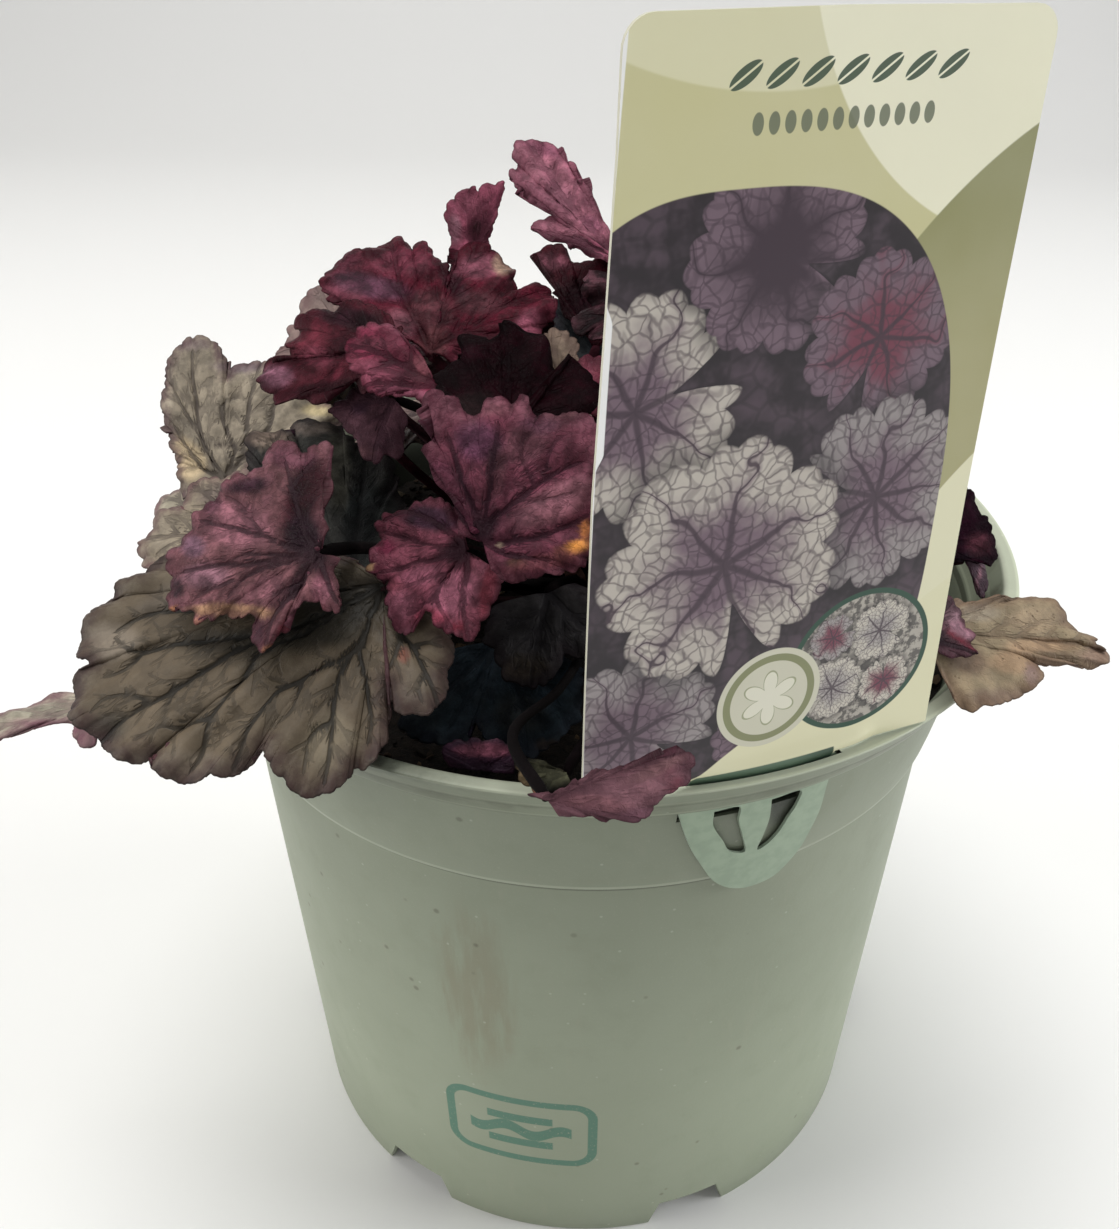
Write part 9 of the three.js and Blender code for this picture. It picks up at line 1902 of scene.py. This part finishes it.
def label_front_material():
    s = Shade("label_print")
    s.dims = "2D"
    x, y, f = s.parts(s.attr("sheet"))
    p = s.vec(x, y)

    def print_field(k):
        q = s.vmath("SCALE", p, None, scale=k)
        bent = s.vmath("ADD", q, s.vmath("SCALE", s.noise(q, 0.5, 2, 0.5, out="Color"), None, scale=1.3))
        return (s.noise(q, 0.4, 3, 0.6), s.noise(q, 0.19, 2, 0.5), s.step(s.voronoi(bent, 1.0, "DISTANCE_TO_EDGE"), 0.02, 0.14, (1.0, 0.0)))

    large, small = print_field(0.5), print_field(1.35)
    # sheet in two creams and olives with large curves
    cream, pale, olive, olive2 = lin((205, 201, 154)), lin((243, 241, 214)), lin((168, 164, 120)), lin((142, 142, 96))
    def ring(cx, cy):
        return s.math("SQRT", s.add(s.math("POWER", s.sub(x, cx), 2.0), s.math("POWER", s.sub(y, cy), 2.0)))

    soft = s.mul(s.sub(s.noise(p, 0.06, 2, 0.5), 0.5), 0.25)
    c = s.mix(s.step(ring(-14.0, 150.0), 53.0, 53.4), s.mix(0.45, cream, pale), cream)
    c = s.mix(s.step(ring(28.0, 118.0), 41.0, 41.3, (1.0, 0.0)), c, pale)
    side_c = s.mix(s.step(y, 58.0, 92.0), olive, olive2)
    side_c = s.mix(s.step(ring(60.0, 4.0), 58.0, 58.3, (1.0, 0.0)), side_c, s.mix(0.6, cream, pale))
    c = s.mix(s.step(ring(52.0, 38.0), 61.2, 61.5, (1.0, 0.0)), c, side_c)
    c = s.mix(s.add(0.06, soft), c, (0.72, 0.70, 0.58, 1))
    low_c = s.mul(s.step(s.sub(y, s.add(1.5, s.mul(s.add(x, 20.5), 0.62))), -0.2, 0.2, (1.0, 0.0)), s.step(y, 26.0, 30.0, (1.0, 0.0)))
    c = s.mix(low_c, c, s.mix(0.5, cream, pale))
    # header: a row of plain leaflets and a row of dots
    hx = s.add(s.math("FRACT", s.div(s.add(x, 21.55), 4.5)), -0.5)
    hx = s.mul(hx, 4.5)
    hy = s.sub(y, 98.6)
    ca, sa = math.cos(0.6), math.sin(0.6)
    lu = s.div(s.add(s.mul(hx, ca), s.mul(hy, sa)), 2.35)
    lv = s.div(s.sub(s.mul(hy, ca), s.mul(hx, sa)), 0.95)
    leaflet = s.step(s.add(s.mul(lu, lu), s.mul(lv, lv)), 0.9, 1.0, (1.0, 0.0))
    leaflet = s.mul(leaflet, s.step(s.size(s.sub(x, -5.8)), 15.7, 15.8, (1.0, 0.0)))
    mid = s.step(s.size(lv), 0.10, 0.16)
    leaflet = s.mul(leaflet, mid)
    c = s.mix(s.mul(leaflet, 0.95), c, lin((58, 80, 62)))
    dx = s.mul(s.add(s.math("FRACT", s.div(s.add(x, 18.4), 2.06)), -0.5), 2.06)
    dy = s.sub(y, 93.6)
    dot = s.step(s.math("SQRT", s.add(s.mul(s.mul(dx, dx), 2.9), s.mul(dy, dy))), 1.15, 1.28, (1.0, 0.0))
    dot = s.mul(dot, s.step(s.size(s.sub(x, -6.04)), 12.2, 12.3, (1.0, 0.0)))
    c = s.mix(s.mul(dot, 0.9), c, lin((104, 112, 92)))
    # picture panel: bounded by a big leaf-like outline, cut by the sheet's left edge
    px_, py_ = s.add(x, 19.0), s.sub(y, 36.0)
    ex = s.most(s.div(px_, 36.0), s.div(s.mul(px_, -1.0), 29.0))
    ey = s.most(s.div(py_, 51.0), s.div(s.mul(py_, -1.0), 43.0))
    pw = s.add(s.math("POWER", ex, 2.8), s.math("POWER", ey, 2.8))
    panel = s.mul(s.step(pw, 0.988, 1.0, (1.0, 0.0)), s.step(s.sub(y, s.add(1.0, s.mul(s.add(x, 20.5), 0.62))), -0.15, 0.15))
    dark = s.mix(s.step(s.noise(p, 0.16, 3, 0.6), 0.35, 0.65), lin((38, 29, 36)), lin((80, 66, 76)))
    net = s.step(s.voronoi(p, 0.33, "DISTANCE_TO_EDGE"), 0.03, 0.14, (1.0, 0.0))
    pic = s.mix(s.mul(net, 0.4), dark, lin((34, 26, 32)))
    silver, mauve, plum, wine = lin((202, 196, 184)), lin((122, 102, 114)), lin((62, 46, 58)), lin((120, 58, 76))
    grey = lin((160, 154, 152))
    pic = print_leaf(s, x, y, -31.0, 62.0, 15.0, 200, 7, silver, mauve, plum, pic, large)
    pic = print_leaf(s, x, y, -13.0, 79.0, 12.5, 160, 7, mauve, plum, plum, pic, large)
    pic = print_leaf(s, x, y, 3.0, 67.0, 11.5, 70, 7, mauve, wine, plum, pic, large)
    pic = print_leaf(s, x, y, 6.0, 44.0, 15.0, -20, 9, grey, mauve, plum, pic, large)
    pic = print_leaf(s, x, y, -30.0, 13.0, 14.0, 150, 7, grey, mauve, plum, pic, large)
    pic = print_leaf(s, x, y, -5.0, 7.0, 12.0, 250, 7, mauve, plum, lin((48, 32, 46)), pic, large)
    pic = print_leaf(s, x, y, -17.0, 38.0, 18.5, 105, 7, silver, mauve, plum, pic, large)
    pic = s.mix(1.0, pic, (0.88, 0.86, 0.88, 1), "MULTIPLY")
    c = s.mix(panel, c, pic)
    # a round inset with a green ring
    rx, ry = s.sub(x, 7.6), s.sub(y, 16.4)
    rr = s.math("SQRT", s.add(s.mul(rx, rx), s.mul(ry, ry)))
    inset = s.mix(s.step(s.noise(p, 0.7, 3, 0.6), 0.42, 0.58), lin((96, 92, 88)), lin((176, 170, 160)))
    inset = print_leaf(s, x, y, 3.4, 12.4, 5.6, 40, 7, silver, grey, plum, inset, small)
    inset = print_leaf(s, x, y, 10.6, 21.0, 5.4, 160, 7, silver, grey, plum, inset, small)
    inset = print_leaf(s, x, y, 12.8, 11.4, 4.6, 280, 7, silver, wine, plum, inset, small)
    inset = print_leaf(s, x, y, 2.4, 21.6, 4.0, 200, 7, grey, wine, plum, inset, small)
    c = s.mix(s.step(rr, 12.3, 12.45, (1.0, 0.0)), c, lin((38, 74, 58)))
    c = s.mix(s.step(rr, 11.4, 11.55, (1.0, 0.0)), c, inset)
    # a plain cream disc with an olive ring beside it
    qx, qy = s.add(x, 7.6), s.sub(y, 13.6)
    qr = s.math("SQRT", s.add(s.mul(qx, qx), s.mul(qy, qy)))
    c = s.mix(s.step(qr, 8.6, 8.75, (1.0, 0.0)), c, lin((206, 204, 184)))
    c = s.mix(s.mul(s.step(s.size(s.sub(qr, 7.1)), 0.55, 0.65, (1.0, 0.0)), 0.95), c, lin((128, 132, 92)))
    qa = s.math("ARCTAN2", qy, qx)
    petal = s.add(1.9, s.mul(s.size(s.math("SINE", s.mul(qa, 3.0))), 2.9))
    c = s.mix(s.mul(s.step(s.sub(qr, petal), -0.1, 0.1, (1.0, 0.0)), 0.9), c, lin((226, 224, 206)))
    c = s.mix(s.mul(s.step(s.size(s.sub(qr, petal)), 0.12, 0.2, (1.0, 0.0)), 0.8), c, lin((140, 146, 106)))
    # the sheet's white cut edge on the left
    xl = s.add(-37.25, s.mul(s.mul(y, y), 0.00037))
    wide = s.mul(s.mul(s.step(y, 55.0, 57.5), s.step(y, 73.0, 76.0, (1.0, 0.0))), 0.9)
    c = s.mix(s.mul(s.step(s.sub(x, xl), s.add(wide, 0.05), s.add(wide, 0.2), (1.0, 0.0)), s.step(y, 1.0, 3.0)), c, (0.93, 0.93, 0.92, 1))
    # the sheet is unprinted below the rim: pale green plastic
    low = s.step(y, 0.1, 0.7, (1.0, 0.0))
    tongue = s.mix(s.step(s.noise(p, 0.35, 3, 0.5), 0.3, 0.7), lin((136, 154, 132)), lin((147, 165, 142)))
    c = s.mix(low, c, tongue)
    # painted shade: a dark green strip where the sheet goes down into the slot in the rim, darker to the right
    band = s.mul(s.mul(s.step(s.sub(y, s.least(1.7, s.mul(s.add(x, 20.6), 0.9))), -0.08, 0.08, (1.0, 0.0)), s.step(y, -3.2, -3.0)), s.mul(s.step(x, -20.2, -19.8), s.step(x, 4.4, 4.7, (1.0, 0.0))))
    c = s.mix(band, c, s.mix(s.step(x, -4.0, 4.0), lin((92, 116, 96)), lin((62, 84, 68))))
    rough = s.add(0.36, s.mul(s.noise(p, 0.4, 2, 0.5), 0.1))
    return s.surface(c, rough, None, 0.45)


# ------------------------------------------------------------------- assemble
def replace(ob, node):
    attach(ob, "root")
    if node:
        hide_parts(node)


pot = build_pot(pot_material())
replace(pot, "pot")
comp = build_compost(compost_material())
replace(comp, "compost")
bits = build_bits(bits_material())
replace(bits, "compost")
crown = build_crown(crown_material())
replace(crown, "crown")
label = build_label([label_front_material(), label_back_material()])
replace(label, "plant_label")
leaf_mats = {k: leaf_material(k) for k in sorted({row[1] for row in LEAVES} | set(RECAST.values()))}
for row in LEAVES:
    ob = build_leaf(row, leaf_mats)
    replace(ob, row[0])

# ---------------------------------------------------------------- stage, light
fs = Shade("floor_paint")
floor_mat = fs.surface((0.86, 0.86, 0.85, 1), 0.7, None, 0.2)
# a sheet that lies flat under the pot and curves up far behind it
sweep = [(-3000.0, 0.0)] + [(1000 + 700 * math.sin(t), 700 - 700 * math.cos(t)) for t in np.linspace(0, math.pi / 2, 17)] + [(1700.0, 3000.0)]
fv = [(x, y, z) for y, z in sweep for x in (-3000, 3000)]
floor = make_mesh("floor", fv, None, [floor_mat], quads=[(2 * i, 2 * i + 1, 2 * i + 3, 2 * i + 2) for i in range(len(sweep) - 1)], smooth=True)

world = bpy.data.worlds.new("studio")
bpy.context.scene.world = world
world.use_nodes = True
bg = world.node_tree.nodes["Background"]
bg.inputs[0].default_value = (1.0, 1.0, 1.0, 1.0)
bg.inputs[1].default_value = 0.20


def area(name, place, aim, size, power, color=(1, 1, 1)):
    d = bpy.data.lights.new(name, "AREA")
    d.shape, d.size, d.energy, d.color = "DISK", size, power, color
    o = bpy.data.objects.new(name, d)
    bpy.context.scene.collection.objects.link(o)
    v = Vector(aim) - Vector(place)
    o.matrix_world = Matrix.Translation(Vector(place)) @ v.to_track_quat("-Z", "Y").to_matrix().to_4x4()
    return o


area("top", (-0.15, 0.25, 1.5), (0, 0, 0.12), 1.1, 16.0, (1.0, 0.99, 0.97))
area("left", (-1.3, -0.2, 0.62), (0, 0, 0.05), 0.8, 8.2, (1.0, 0.985, 0.96))
area("right", (1.3, -0.05, 0.62), (0, 0, 0.05), 0.8, 11.5, (0.98, 0.99, 1.0))
area("front", (-0.35, -1.2, 1.1), (0, 0, 0.06), 0.7, 2.2, (1.0, 0.99, 0.97))

cam_data = bpy.data.cameras.new("camera")
cam_data.sensor_width = 36.0
cam_data.lens = 35.741
cam_data.shift_x, cam_data.shift_y = -0.0329, 0.0005
cam_data.clip_start, cam_data.clip_end = 0.02, 30.0
cam = bpy.data.objects.new("camera", cam_data)
bpy.context.scene.collection.objects.link(cam)
back = -FWD
cam.matrix_world = Matrix(((RIGHT[0], UP[0], back[0], CAM[0] * MM), (RIGHT[1], UP[1], back[1], CAM[1] * MM), (RIGHT[2], UP[2], back[2], CAM[2] * MM), (0, 0, 0, 1)))
bpy.context.scene.camera = cam
bpy.context.scene.view_settings.view_transform = "Standard"
